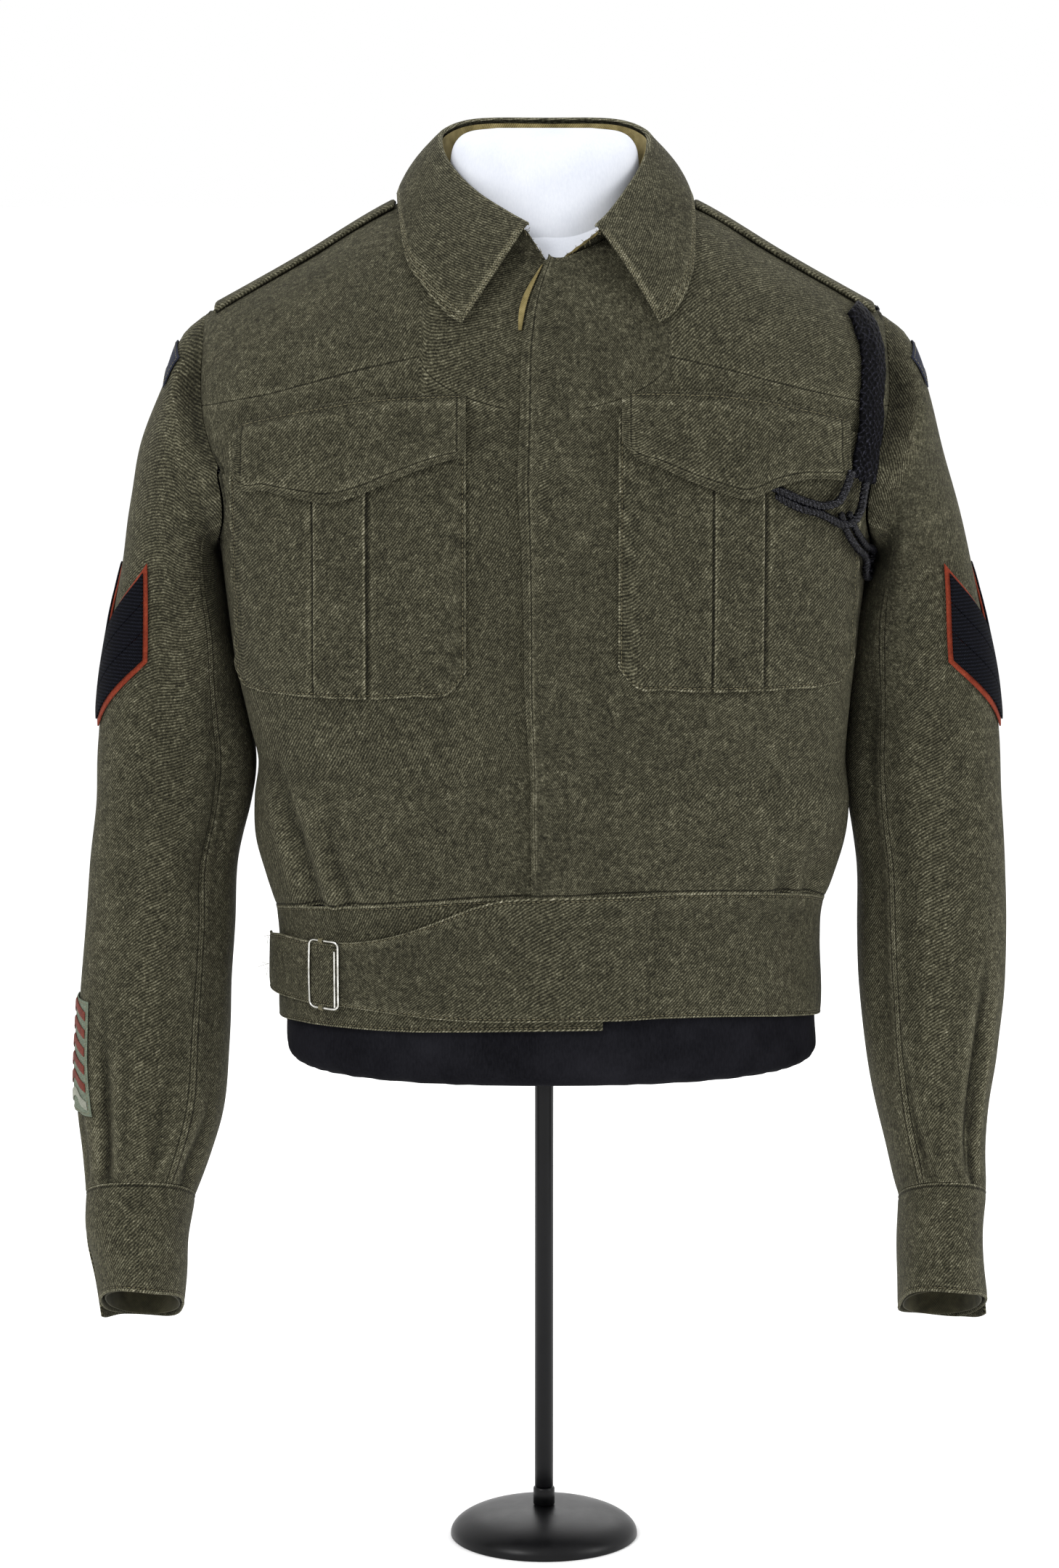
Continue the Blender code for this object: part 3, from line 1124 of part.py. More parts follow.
def form():
    levels = np.concatenate([np.linspace(FORM_SPLIT + SEAM, CHEST, FORM_ROWS),
                             CHEST + np.array(FORM_SHOULDER_ROWS)])
    rings = np.array([form_ring(level) for level in levels])
    rings[0, :, 2] = FORM_SPLIT + SEAM
    count = rings.shape[1]
    half = count // 2
    rows = len(levels)
    faces = []
    for j in range(rows - 1):
        for i in range(count):
            k = (i + 1) % count
            faces.append((j * count + i, j * count + k, (j + 1) * count + k, (j + 1) * count + i))
    faces.append(tuple(reversed(range(count))))
    top = (rows - 1) * count
    for i in range(half - 1):
        faces.append((top + i, top + i + 1, top + count - 2 - i, top + count - 1 - i))
    torso = add_object("form_torso", mesh_from("form_torso", rings.reshape(-1, 3), faces), "white jersey")

    turns = np.linspace(0, 2 * math.pi, NECK_SIDES, endpoint=False)
    neck = np.array([[(half_x * power(math.sin(t), NECK_SQUARE),
                       -(front if math.cos(t) > 0 else back) * power(math.cos(t), NECK_SQUARE), z)
                      for t in turns] for z, half_x, front, back in NECK])
    neck = add_object("form_neck_cutter", closed_loft("form_neck", neck), "white jersey")
    PARTS.objects.unlink(neck)
    GUIDES.objects.link(neck)
    neck.hide_render = True
    neck.display_type = "WIRE"
    join = torso.modifiers.new("neck", "BOOLEAN")
    join.operation = "UNION"
    join.object = neck
    join.solver = "EXACT"

    turns = np.linspace(0, 2 * math.pi, 2 * FORM_CELLS + 4, endpoint=False)
    lower = np.array([[((left if math.sin(t) > 0 else right) * power(math.sin(t), square),
                        -(front if math.cos(t) > 0 else back) * power(math.cos(t), square), z)
                       for t in turns] for z, right, left, front, back, square in LOWER])
    add_object("form_lower", closed_loft("form_lower", lower), "black jersey")


def cylinder(name, radius, low, high, finish_name, sides=24):
    mesh = bpy.data.meshes.new(name)
    bm = bmesh.new()
    bmesh.ops.create_cone(bm, cap_ends=True, segments=sides, radius1=radius, radius2=radius,
                          depth=high - low)
    bm.to_mesh(mesh)
    bm.free()
    obj = add_object(name, mesh, finish_name)
    obj.location = (0.0, 0.0, (low + high) / 2)


def stand():
    socket_low = BASE_HIGH + SEAM
    socket_high = socket_low + SOCKET_HIGH
    cylinder("stand_pole", POLE_RADIUS, socket_high + SEAM, FORM_FOOT - SEAM, "satin black paint")
    cylinder("stand_socket", SOCKET_RADIUS, socket_low, socket_high, "satin black paint")
    rise = np.radians(np.linspace(0, 90, 7))
    flat = SOCKET_RADIUS + BASE_FLAT
    reach = BASE_RADIUS - flat
    profile = [(0.0, BASE_HIGH)]
    profile += [(flat + reach * math.sin(a), BASE_RIM + (BASE_HIGH - BASE_RIM) * math.cos(a))
                for a in rise]
    profile += [(BASE_RADIUS, 0.0), (0.0, 0.0)]
    mesh = bpy.data.meshes.new("stand_base")
    bm = bmesh.new()
    verts = [bm.verts.new((x, 0.0, z)) for x, z in profile]
    for a, b in zip(verts, verts[1:]):
        bm.edges.new((a, b))
    bm.to_mesh(mesh)
    bm.free()
    base = add_object("stand_base", mesh, "satin black paint")
    turn = base.modifiers.new("turn", "SCREW")
    turn.steps = 32
    turn.render_steps = 32
    turn.use_merge_vertices = True
    turn.merge_threshold = 0.0001


def main():
    front_panel("front_right", -1)
    front_panel("front_left", 1)
    back_panel()
    fly_lining()
    collar()
    pocket(-1, BAG_RIGHT, FLAP_RIGHT, PLEAT_RIGHT)
    pocket(1, BAG_LEFT, FLAP_LEFT, PLEAT_LEFT)
    for side in (-1, 1):
        shoulder_strap(side)
        sleeve(side)
        cuff(side)
        chevrons(side)
        shoulder_title(side)
    service_badge()
    waistband()
    buckle()
    lanyard()
    form()
    stand()


clear_scene()
PARTS = bpy.data.collections.new("battledress blouse")
GUIDES = bpy.data.collections.new("cutters")
bpy.context.scene.collection.children.link(PARTS)
bpy.context.scene.collection.children.link(GUIDES)
main()
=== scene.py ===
import math

import bpy
import numpy as np
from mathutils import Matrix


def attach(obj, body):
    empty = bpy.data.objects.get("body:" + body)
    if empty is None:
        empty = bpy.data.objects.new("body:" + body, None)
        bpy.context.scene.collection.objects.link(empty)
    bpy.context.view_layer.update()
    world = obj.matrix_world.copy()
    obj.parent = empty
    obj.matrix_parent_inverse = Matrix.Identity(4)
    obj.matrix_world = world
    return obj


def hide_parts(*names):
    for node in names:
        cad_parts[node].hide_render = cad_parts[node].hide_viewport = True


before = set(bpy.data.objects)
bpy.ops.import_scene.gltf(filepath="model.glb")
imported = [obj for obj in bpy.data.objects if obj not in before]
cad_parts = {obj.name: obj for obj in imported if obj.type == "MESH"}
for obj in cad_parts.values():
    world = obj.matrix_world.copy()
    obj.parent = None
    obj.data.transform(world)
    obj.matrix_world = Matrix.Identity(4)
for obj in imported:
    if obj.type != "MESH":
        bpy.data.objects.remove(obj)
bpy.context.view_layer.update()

PIECES = {}


# Camera and light

def camera():
    """The photograph's view: a long lens at collar height, tipped down a little."""
    data = bpy.data.cameras.new("camera")
    data.lens, data.sensor_width, data.clip_start, data.clip_end = 105, 36, 0.1, 60
    made = bpy.data.objects.new("camera", data)
    made.location = (-0.0095, -2.9, 0.906)
    made.rotation_euler = (math.radians(90 - 8.04), 0, 0)
    bpy.context.scene.collection.objects.link(made)
    bpy.context.scene.camera = made


def softbox(name, place, aim, size, power_watts):
    """A rectangular lamp at a place, turned to face its aim."""
    data = bpy.data.lights.new(name, "AREA")
    data.shape, data.size, data.size_y, data.energy = "RECTANGLE", *size, power_watts
    made = bpy.data.objects.new(name, data)
    made.location = place
    away = np.subtract(place, aim)
    flat = math.hypot(away[0], away[1])
    made.rotation_euler = (math.atan2(flat, away[2]), 0, math.atan2(away[0], -away[1]))
    bpy.context.scene.collection.objects.link(made)


def studio():
    """Four soft lamps round the object in a white room."""
    softbox("key light", (-1.7, -2.0, 2.3), (0, 0, 0.6), (1.0, 1.0), 40)
    softbox("side light", (2.3, -0.9, 1.3), (0.1, 0, 0.55), (0.8, 1.4), 22)
    softbox("top light", (0, 0.3, 2.8), (0, 0, 0.7), (1.4, 1.4), 12)
    softbox("back light", (0.2, 2.2, 1.6), (0, 0, 0.6), (1.8, 1.4), 14)
    world = bpy.data.worlds.new("white studio")
    world.use_nodes = True
    world.node_tree.nodes["Background"].inputs["Color"].default_value = (1, 1, 1, 1)
    world.node_tree.nodes["Background"].inputs["Strength"].default_value = 1.0
    bpy.context.scene.world = world
    bpy.context.scene.view_settings.view_transform = "Standard"


# Materials

def linear(code):
    """Linear colour of an sRGB hex code."""
    parts = [int(code[i:i + 2], 16) / 255 for i in (1, 3, 5)]
    return (*[c / 12.92 if c <= 0.04045 else ((c + 0.055) / 1.055) ** 2.4 for c in parts], 1.0)


def add(tree, kind, inputs=None, **settings):
    """Adds a node with its settings, and a link or a value for each named input."""
    made = tree.nodes.new("ShaderNode" + kind)
    for key, value in settings.items():
        setattr(made, key, value)
    for key, value in (inputs or {}).items():
        if isinstance(value, bpy.types.NodeSocket):
            tree.links.new(value, made.inputs[key])
        else:
            made.inputs[key].default_value = value
    return made


def fresh(name, roughness, **sockets):
    """A new material, its shader with single values on its own sockets, and its coordinates."""
    made = bpy.data.materials.new(name)
    made.use_nodes = True
    shader = made.node_tree.nodes["Principled BSDF"]
    shader.inputs["Roughness"].default_value = roughness
    for key, value in sockets.items():
        shader.inputs[key.replace("_", " ")].default_value = value
    return made, made.node_tree, shader, add(made.node_tree, "TexCoord").outputs


def colour(tree, shader, factor, stops):
    """The shader's colour by a factor, through stops of position and sRGB code."""
    made = add(tree, "ValToRGB", {"Fac": factor})
    bar = made.color_ramp
    while len(bar.elements) < len(stops):
        bar.elements.new(0.5)
    for element, (at, code) in zip(bar.elements, stops):
        element.position, element.color = at, linear(code)
    tree.links.new(made.outputs["Color"], shader.inputs["Base Color"])


def blend_of(tree, parts):
    """Weighted sum of sockets."""
    total = None
    for socket, weight in parts:
        total = add(tree, "Math", {0: socket, 1: weight, 2: total if total else 0.0},
                    operation="MULTIPLY_ADD").outputs[0]
    return total


# The wave texture repeats once in this many of its own units at a scale of 1
WAVE_PERIOD = 0.314159


def ribs(tree, vector, pitch, angle, wander=2.4, detail=2.0):
    """Soft parallel ribs, pitch metres apart, on the cloth's own flat measure."""
    turned = add(tree, "Mapping", {"Vector": vector, "Rotation": (0, 0, math.radians(angle))})
    return add(tree, "TexWave", {"Vector": turned.outputs[0], "Scale": WAVE_PERIOD / pitch,
                                 "Distortion": wander, "Detail": detail, "Detail Scale": 1.3},
               wave_type="BANDS", bands_direction="X").outputs["Fac"]


def noise(tree, vector, size, detail=2.0, rough=0.6):
    """Irregular mottling with grains of about this size in metres."""
    return add(tree, "TexNoise", {"Vector": vector, "Scale": 1 / size, "Detail": detail,
                                  "Roughness": rough}).outputs["Fac"]


def relief(tree, shader, height, distance, strength=1.0):
    """Raises and lowers the shader's surface by a height."""
    bump = add(tree, "Bump", {"Height": height, "Distance": distance, "Strength": strength})
    tree.links.new(bump.outputs[0], shader.inputs["Normal"])


def wool_serge(name, angle):
    """Wool serge, a milled twill of mixed khaki wools: soft diagonal ribs under a short nap,
    light and dark fibres in flecks, no shine but a dull sheen at grazing angles, with painted
    highlight on its edges and ridges and painted shade in its seams, grooves and inner face.
    Its ribs are 1.1 mm apart, drawn 1.45 mm apart so that they show."""
    made, tree, shader, place = fresh(name, 0.95, Sheen_Weight=0.06, Sheen_Roughness=0.5,
                               Specular_IOR_Level=0.12)
    shader.inputs["Sheen Tint"].default_value = linear("#B9B49A")
    rib = ribs(tree, place["UV"], 0.00145, angle, 3.2, 3.0)
    fleck = noise(tree, place["Object"], 0.0013, 2.0, 0.75)
    slub = noise(tree, place["Object"], 0.0042, 2.0, 0.7)
    cloud = noise(tree, place["Object"], 0.03, 2.0, 0.5)
    # Painted light and shade from the shell: highlight on edges and ridges, shade in grooves and on the inner
    # face
    painted_light_and_shade = add(tree, "Attribute", attribute_name="painted_light_and_shade").outputs["Fac"]
    tone = blend_of(tree, ((rib, 0.26), (fleck, 0.80), (slub, 0.42), (cloud, 0.10), (painted_light_and_shade, 0.20)))
    shade = add(tree, "Math", {0: tone, 1: 0.442}, operation="SUBTRACT").outputs[0]
    colour(tree, shader, shade, (
        (0.06, "#0F0E09"), (0.26, "#27261C"), (0.38, "#3A382B"), (0.50, "#504E3E"),
        (0.64, "#75725E"), (0.84, "#AEAA97")))
    relief(tree, shader, blend_of(tree, ((rib, 0.6), (fleck, 0.6), (slub, 0.25))), 0.00060, 0.9)
    return made


def drill(name, stops):
    """Cotton drill, a fine hard twill: close ribs, faded in soft clouds, quite matt."""
    made, tree, shader, place = fresh(name, 0.9, Sheen_Weight=0.03, Specular_IOR_Level=0.15)
    rib = ribs(tree, place["UV"], 0.0009, 35, 1.2)
    cloud = noise(tree, place["Object"], 0.012, 3.0)
    tone = blend_of(tree, ((rib, 0.3), (cloud, 0.9)))
    colour(tree, shader, tone, stops)
    relief(tree, shader, rib, 0.0002, 0.6)
    return made


def felt(name, stops):
    """Wool felt, pressed without a weave: a matted surface with soft pits and loose fibre."""
    made, tree, shader, place = fresh(name, 0.95, Sheen_Weight=0.05, Specular_IOR_Level=0.1)
    mat = noise(tree, place["Object"], 0.0011, 3.0, 0.7)
    cloud = noise(tree, place["Object"], 0.009, 2.0)
    colour(tree, shader, blend_of(tree, ((mat, 0.6), (cloud, 0.4))), stops)
    relief(tree, shader, mat, 0.0004, 0.7)
    return made


def ribbed_braid():
    """Woven worsted braid: close cross ribs along the stripe with a faint silky light."""
    made, tree, shader, place = fresh("ribbed braid", 0.8, Specular_IOR_Level=0.04)
    one = ribs(tree, place["UV"], 0.0016, 45, 0.6)
    two = ribs(tree, place["UV"], 0.0016, -45, 0.6)
    fleck = noise(tree, place["Object"], 0.0012)
    tone = blend_of(tree, ((one, 0.3), (two, 0.3), (fleck, 0.4)))
    colour(tree, shader, tone, ((0.3, "#040406"), (0.6, "#0C0D12"), (0.85, "#20222B")))
    relief(tree, shader, blend_of(tree, ((one, 0.5), (two, 0.5))), 0.0004, 0.8)
    return made


def plaited_cord():
    """Black rayon cord plaited into a flat tube: yarns that cross, with short pale strokes painted into its
    colour as highlights.
    """
    made, tree, shader, place = fresh("plaited cord", 0.6, Specular_IOR_Level=0.04)
    one = ribs(tree, place["UV"], 0.0026, 28, 5.0, 3.0)
    two = ribs(tree, place["UV"], 0.0026, -28, 5.0, 3.0)
    over = add(tree, "Math", {0: one, 1: two}, operation="MAXIMUM").outputs[0]
    fine = noise(tree, place["Object"], 0.0014, 3.0, 0.7)
    tone = blend_of(tree, ((over, 0.35), (fine, 0.7)))
    # The pale top stops are painted highlights on the crossing yarns
    colour(tree, shader, tone, ((0.42, "#020203"), (0.66, "#07070A"), (0.78, "#22222A"),
                                     (0.90, "#5E5E6A")))
    relief(tree, shader, blend_of(tree, ((over, 0.7), (fine, 0.4))), 0.0010, 1.0)
    return made


def twisted_yarn():
    """Black rayon yarn laid into cord: smooth and glossy, with pale speckles painted into its colour as
    highlights on each strand.
    """
    made, tree, shader, place = fresh("twisted yarn", 0.3, Specular_IOR_Level=0.16)
    fine = noise(tree, place["Object"], 0.0009, 2.0)
    # The pale top stops are painted highlights
    colour(tree, shader, fine, ((0.3, "#020203"), (0.52, "#08080B"), (0.64, "#2C2C32"),
                                     (0.78, "#66666E")))
    relief(tree, shader, fine, 0.0001, 0.5)
    return made


def plain_cloth(name, low, mid, high, pitch=0.0011):
    """A fine plain-woven wool cloth, softly napped."""
    made, tree, shader, place = fresh(name, 0.92, Sheen_Weight=0.03, Specular_IOR_Level=0.1)
    warp = ribs(tree, place["UV"], pitch, 0, 1.2)
    weft = ribs(tree, place["UV"], pitch, 90, 1.2)
    fleck = noise(tree, place["Object"], 0.0016, 3.0, 0.7)
    tone = blend_of(tree, ((warp, 0.15), (weft, 0.15), (fleck, 0.7)))
    colour(tree, shader, tone, ((0.3, low), (0.52, mid), (0.75, high)))
    relief(tree, shader, blend_of(tree, ((warp, 0.4), (weft, 0.4), (fleck, 0.4))), 0.0003, 0.7)
    return made


def sewing_thread(name, low, high):
    """Cotton sewing thread, mercerised a little: fine twist, a soft light on each stitch."""
    made, tree, shader, place = fresh(name, 0.75, Sheen_Weight=0.1)
    fine = noise(tree, place["Object"], 0.002)
    colour(tree, shader, fine, ((0.3, low), (0.7, high)))
    return made


def plated_wire():
    """Drawn steel wire, nickel plated: a bright mirror with hairline wear along its length."""
    made, tree, shader, place = fresh("plated wire", 0.16, Metallic=1.0)
    wear = noise(tree, place["Object"], 0.004, 4.0, 0.7)
    colour(tree, shader, wear, ((0.35, "#A9A79F"), (0.6, "#D9D8D2"), (0.8, "#ECEBE6")))
    tree.links.new(add(tree, "MapRange", {"Value": wear, "To Min": 0.10, "To Max": 0.30}
                       ).outputs[0], shader.inputs["Roughness"])
    relief(tree, shader, wear, 0.00005, 0.4)
    return made


def jersey(name, low, high):
    """Cotton jersey stretched over the form: fine knit wales, almost flat to the eye."""
    made, tree, shader, place = fresh(name, 0.95, Specular_IOR_Level=0.03)
    stretched = add(tree, "Mapping", {"Vector": place["Object"], "Scale": (1, 1, 0.3)}).outputs[0]
    wale = noise(tree, stretched, 0.0011, 2.0)
    cloud = noise(tree, place["Object"], 0.05, 2.0)
    colour(tree, shader, blend_of(tree, ((wale, 0.35), (cloud, 0.65))),
                        ((0.35, low), (0.65, high)))
    relief(tree, shader, wale, 0.0001, 0.35)
    return made


def stand_paint():
    """Steel turned and stove enamelled black: satin, with faint orange peel and dust."""
    made, tree, shader, place = fresh("satin black enamel", 0.30, Specular_IOR_Level=0.2)
    peel = noise(tree, place["Object"], 0.0022, 2.0)
    dust = noise(tree, place["Object"], 0.02, 4.0, 0.7)
    colour(tree, shader, dust, ((0.35, "#040405"), (0.7, "#0B0B0D"), (0.9, "#18181A")))
    tree.links.new(add(tree, "MapRange", {"Value": dust, "To Min": 0.26, "To Max": 0.46}
                       ).outputs[0], shader.inputs["Roughness"])
    relief(tree, shader, peel, 0.00005, 0.5)
    return made


def floor_paper():
    """Matt white floor paper with a fluorescent whitener, which glows a little."""
    made, tree, shader, place = fresh("white floor paper", 0.95, Specular_IOR_Level=0.1, Emission_Strength=0.08)
    shader.inputs["Emission Color"].default_value = (1, 1, 1, 1)
    grain = noise(tree, place["Object"], 0.003)
    colour(tree, shader, grain, ((0.3, "#FAFAFA"), (0.7, "#FDFDFD")))
    return made


# Cloth thicknesses and the gaps between pieces
SERGE = 0.0020
DRILL = 0.0010
SEAM = 0.0003
LAYER_GAP = 0.0007

# Body: levels up to CHEST are heights, and from CHEST to CHEST + 1 they go over the shoulder
CHEST = 0.700
OVER_FRONT = 2.0
OVER_BACK = 2.6
TIP_SHARE = 0.99
NECK_HALF = 0.075
NECK_FRONT = 0.087
NECK_BACK = 0.062

# Outer face of the body cloth. Columns: height, half width on the wearer's right, half width
# on the wearer's left, depth in front, depth behind, squareness of the section
SECTIONS = np.array([
    (0.330, 0.1705, 0.1765, 0.1090, 0.1010, 2.4),
    (0.360, 0.1710, 0.1775, 0.1110, 0.1020, 2.4),
    (0.400, 0.1700, 0.1770, 0.1130, 0.1035, 2.4),
    (0.420, 0.1720, 0.1785, 0.1150, 0.1055, 2.4),
    (0.440, 0.1780, 0.1850, 0.1185, 0.1090, 2.5),
    (0.465, 0.1850, 0.1920, 0.1225, 0.1135, 2.5),
    (0.490, 0.1855, 0.1940, 0.1245, 0.1160, 2.6),
    (0.515, 0.1825, 0.1920, 0.1255, 0.1175, 2.6),
    (0.540, 0.1880, 0.1935, 0.1260, 0.1190, 2.8),
    (0.570, 0.1945, 0.1970, 0.1260, 0.1205, 3.0),
    (0.610, 0.2005, 0.2005, 0.1260, 0.1220, 3.1),
    (0.655, 0.2050, 0.2050, 0.1260, 0.1230, 3.3),
    (0.700, 0.2185, 0.2185, 0.1250, 0.1230, 3.6),
])

# Height of the shoulder seam. Columns: distance from the middle, height
SHOULDER = np.array([
    (0.000, 0.8850),
    (0.040, 0.8810),
    (0.075, 0.8730),
    (0.098, 0.8620),
    (0.150, 0.8310),
    (0.220, 0.7920),
])

# Armhole edge. Columns: level, degrees round from the front centre
ARMHOLE = np.array([
    (0.655, 90.0),
    (0.659, 79.0),
    (0.667, 70.0),
    (0.680, 63.5),
    (0.700, 60.0),
    (0.785, 64.0),
    (0.900, 71.5),
    (1.010, 76.5),
    (1.320, 77.5),
    (1.700, 77.5),
])

# Waist seam and lower edge of the waistband round the body. Columns: degrees, seam, hem
WAIST = np.array([
    (-180.0, 0.411, 0.340),
    (-135.0, 0.413, 0.342),
    (-90.0, 0.419, 0.348),
    (-60.0, 0.4275, 0.3535),
    (-30.0, 0.4345, 0.3600),
    (0.0, 0.4425, 0.3630),
    (30.0, 0.4430, 0.3630),
    (60.0, 0.4360, 0.3570),
    (90.0, 0.4230, 0.3490),
    (135.0, 0.4140, 0.3430),
    (180.0, 0.4110, 0.3400),
])

# Edge of the left front, which laps over the right. Columns: height, distance from the middle
FLY = np.array([
    (0.430, -0.0227),
    (0.550, -0.0217),
    (0.650, -0.0190),
    (0.735, -0.0155),
    (0.789, -0.0130),
    (0.808, -0.0090),
    (0.833, 0.0020),
])
UNDERLAP, FLY_GAP = 0.012, 0.0014
LAP_OUT = SERGE + LAYER_GAP
LAP_FROM, LAP_TO = 0.016, 0.040

# Soft folds that rise from the waist seam. Columns: distance from the middle at the top and at
# the seam, height of the top, half width, depth, side (-1 front, 1 back)
FOLDS = np.array([
    (-0.168, -0.141, 0.520, 0.0070, -0.0045, -1),
    (-0.153, -0.128, 0.515, 0.0080, 0.0035, -1),
    (-0.140, -0.119, 0.490, 0.0060, -0.0030, -1),
    (0.157, 0.149, 0.470, 0.0060, -0.0035, -1),
    (0.175, 0.166, 0.475, 0.0060, -0.0035, -1),
    (-0.110, -0.098, 0.500, 0.0090, -0.0040, 1),
    (-0.060, -0.052, 0.480, 0.0090, -0.0030, 1),
    (0.058, 0.050, 0.485, 0.0090, -0.0030, 1),
    (0.112, 0.099, 0.505, 0.0090, -0.0040, 1),
])

FOLD_FOOT, FOLD_END = 0.425, (0.408, 0.432)

ARMHOLE_TURN = 77.5
INNER_COLUMNS = (0.042, 0.0758, 0.105, 0.135, 0.162, 0.186, 0.204)
OUTER_COLUMNS = (70.0, 77.5)

# Sleeve rings on the outer face. Columns: height and distance out of the outermost point on
# the right and left sleeve, the same of the innermost point, half depth, how far the centre
# lies behind the shoulder (minus is forward), forward pitch in degrees, squareness
SLEEVE = np.array([
    (0.7970, 0.2135, 0.2135, 0.655, 0.2055, 0.2055, 0.0800, 0.0000, 0.0, 2.2),
    (0.7830, 0.2285, 0.2290, 0.647, 0.2070, 0.2110, 0.0790, 0.0000, 0.0, 2.2),
    (0.7570, 0.2390, 0.2395, 0.638, 0.2055, 0.2110, 0.0770, 0.0000, 0.0, 2.3),
    (0.7190, 0.2540, 0.2500, 0.622, 0.2035, 0.2055, 0.0710, 0.0000, 0.0, 2.5),
    (0.6820, 0.2610, 0.2601, 0.604, 0.2015, 0.2018, 0.0640, 0.0000, 0.0, 2.7),
    (0.6450, 0.2665, 0.2690, 0.585, 0.1986, 0.2000, 0.0580, 0.0000, 0.0, 2.9),
    (0.6050, 0.2741, 0.2780, 0.562, 0.1950, 0.1978, 0.0530, 0.0000, 0.0, 3.0),
    (0.5650, 0.2809, 0.2860, 0.538, 0.1895, 0.1950, 0.0510, 0.0000, 0.0, 3.0),
    (0.5250, 0.2841, 0.2898, 0.512, 0.1865, 0.1935, 0.0500, 0.0000, 0.0, 3.0),
    (0.4850, 0.2858, 0.2920, 0.482, 0.1890, 0.1955, 0.0500, 0.0000, 1.0, 2.9),
    (0.4450, 0.2903, 0.2947, 0.445, 0.1970, 0.2000, 0.0500, -0.001, 2.0, 2.8),
    (0.4050, 0.2940, 0.2958, 0.405, 0.1988, 0.2016, 0.0500, -0.003, 4.0, 2.8),
    (0.3650, 0.2973, 0.2953, 0.365, 0.2007, 0.2033, 0.0500, -0.006, 7.0, 2.7),
    (0.3250, 0.2999, 0.2915, 0.325, 0.2030, 0.2075, 0.0490, -0.011, 11.0, 2.6),
    (0.2900, 0.2995, 0.2858, 0.290, 0.2065, 0.2145, 0.0470, -0.018, 15.0, 2.5),
    (0.2620, 0.2958, 0.2828, 0.262, 0.2145, 0.2215, 0.0455, -0.026, 19.0, 2.4),
    (0.2365, 0.2935, 0.2825, 0.2365, 0.2240, 0.2275, 0.0440, -0.0345, 22.0, 2.3),
])
CUFF = np.array([
    (0.2358, 0.2936, 0.2825, 0.2358, 0.2239, 0.2274, 0.0441, -0.0348, 22.0, 2.3),
    (0.2140, 0.2935, 0.2800, 0.214, 0.2275, 0.2260, 0.0462, -0.0435, 23.0, 2.3),
    (0.1920, 0.2870, 0.2800, 0.192, 0.2275, 0.2255, 0.0470, -0.0535, 24.0, 2.3),
    (0.1710, 0.2825, 0.2815, 0.171, 0.2290, 0.2250, 0.0475, -0.0630, 24.0, 2.3),
])
HEAD_GAP = 0.0004
FRONT_SEAM, BACK_SEAM = 124.0, -112.0
CUFF_LAP_FROM, CUFF_LAP_TO = -60.0, 345.0
CUFF_RISE_FROM, CUFF_RISE_TO, CUFF_DROOP_FROM, CUFF_DROOP = 90.0, 45.0, 50.0, 0.0045

# Largest creases of the sleeves. Columns: side, degrees round, first and last ring, half
# width in degrees, depth
SLEEVE_FOLDS = np.array([
    (-1, 118.0, 6.0, 11.0, 12.0, -0.0030),
    (-1, 60.0, 12.5, 16.5, 10.0, -0.0045),
    (-1, 88.0, 8.0, 17.0, 9.0, 0.0022),
    (-1, 150.0, 14.0, 17.0, 12.0, -0.0035),
    (1, 108.0, 6.0, 13.0, 12.0, -0.0030),
    (1, 52.0, 11.5, 16.5, 10.0, -0.0050),
    (1, 92.0, 7.0, 17.0, 9.0, 0.0022),
    (-1, 255.0, 6.0, 12.0, 14.0, -0.0030),
    (1, 255.0, 6.0, 12.0, 14.0, -0.0030),
])

# Collar, from the wearer's right front end round the back to the left. Columns: degrees of
# the neck seam, roll line x, y, z, leaf edge x, z, side of the leaf edge (-1 front, 1 back)
COLLAR = np.array([
    (0.6, -0.0110, -0.0900, 0.8545, -0.0505, 0.7930, -1),
    (-16.0, -0.0240, -0.0790, 0.8615, -0.0610, 0.8000, -1),
    (-40.0, -0.0430, -0.0570, 0.8735, -0.0740, 0.8155, -1),
    (-65.0, -0.0580, -0.0300, 0.8880, -0.0857, 0.8360, -1),
    (-90.0, -0.0665, 0.0000, 0.9025, -0.0905, 0.8650, -1),
    (-118.0, -0.0650, 0.0300, 0.9110, -0.0860, 0.8560, 1),
    (-148.0, -0.0450, 0.0590, 0.9175, -0.0550, 0.8520, 1),
    (-180.0, 0.0000, 0.0730, 0.9180, 0.0000, 0.8500, 1),
    (-212.0, 0.0450, 0.0590, 0.9175, 0.0550, 0.8520, 1),
    (-242.0, 0.0650, 0.0300, 0.9110, 0.0860, 0.8560, 1),
    (-270.0, 0.0665, 0.0000, 0.9025, 0.0905, 0.8650, -1),
    (-295.0, 0.0600, -0.0300, 0.8880, 0.0915, 0.8360, -1),
    (-318.0, 0.0500, -0.0560, 0.8735, 0.0870, 0.8155, -1),
    (-338.0, 0.0400, -0.0760, 0.8610, 0.0790, 0.8010, -1),
    (-352.7, 0.0320, -0.0880, 0.8535, 0.0695, 0.7930, -1),
])
COLLAR_LIFT, COLLAR_RIDGE = 0.0036, 0.0022
COLLAR_BULGE = 0.0085
STAND_THICK, STAND_HEAD = 0.0015, 0.0048

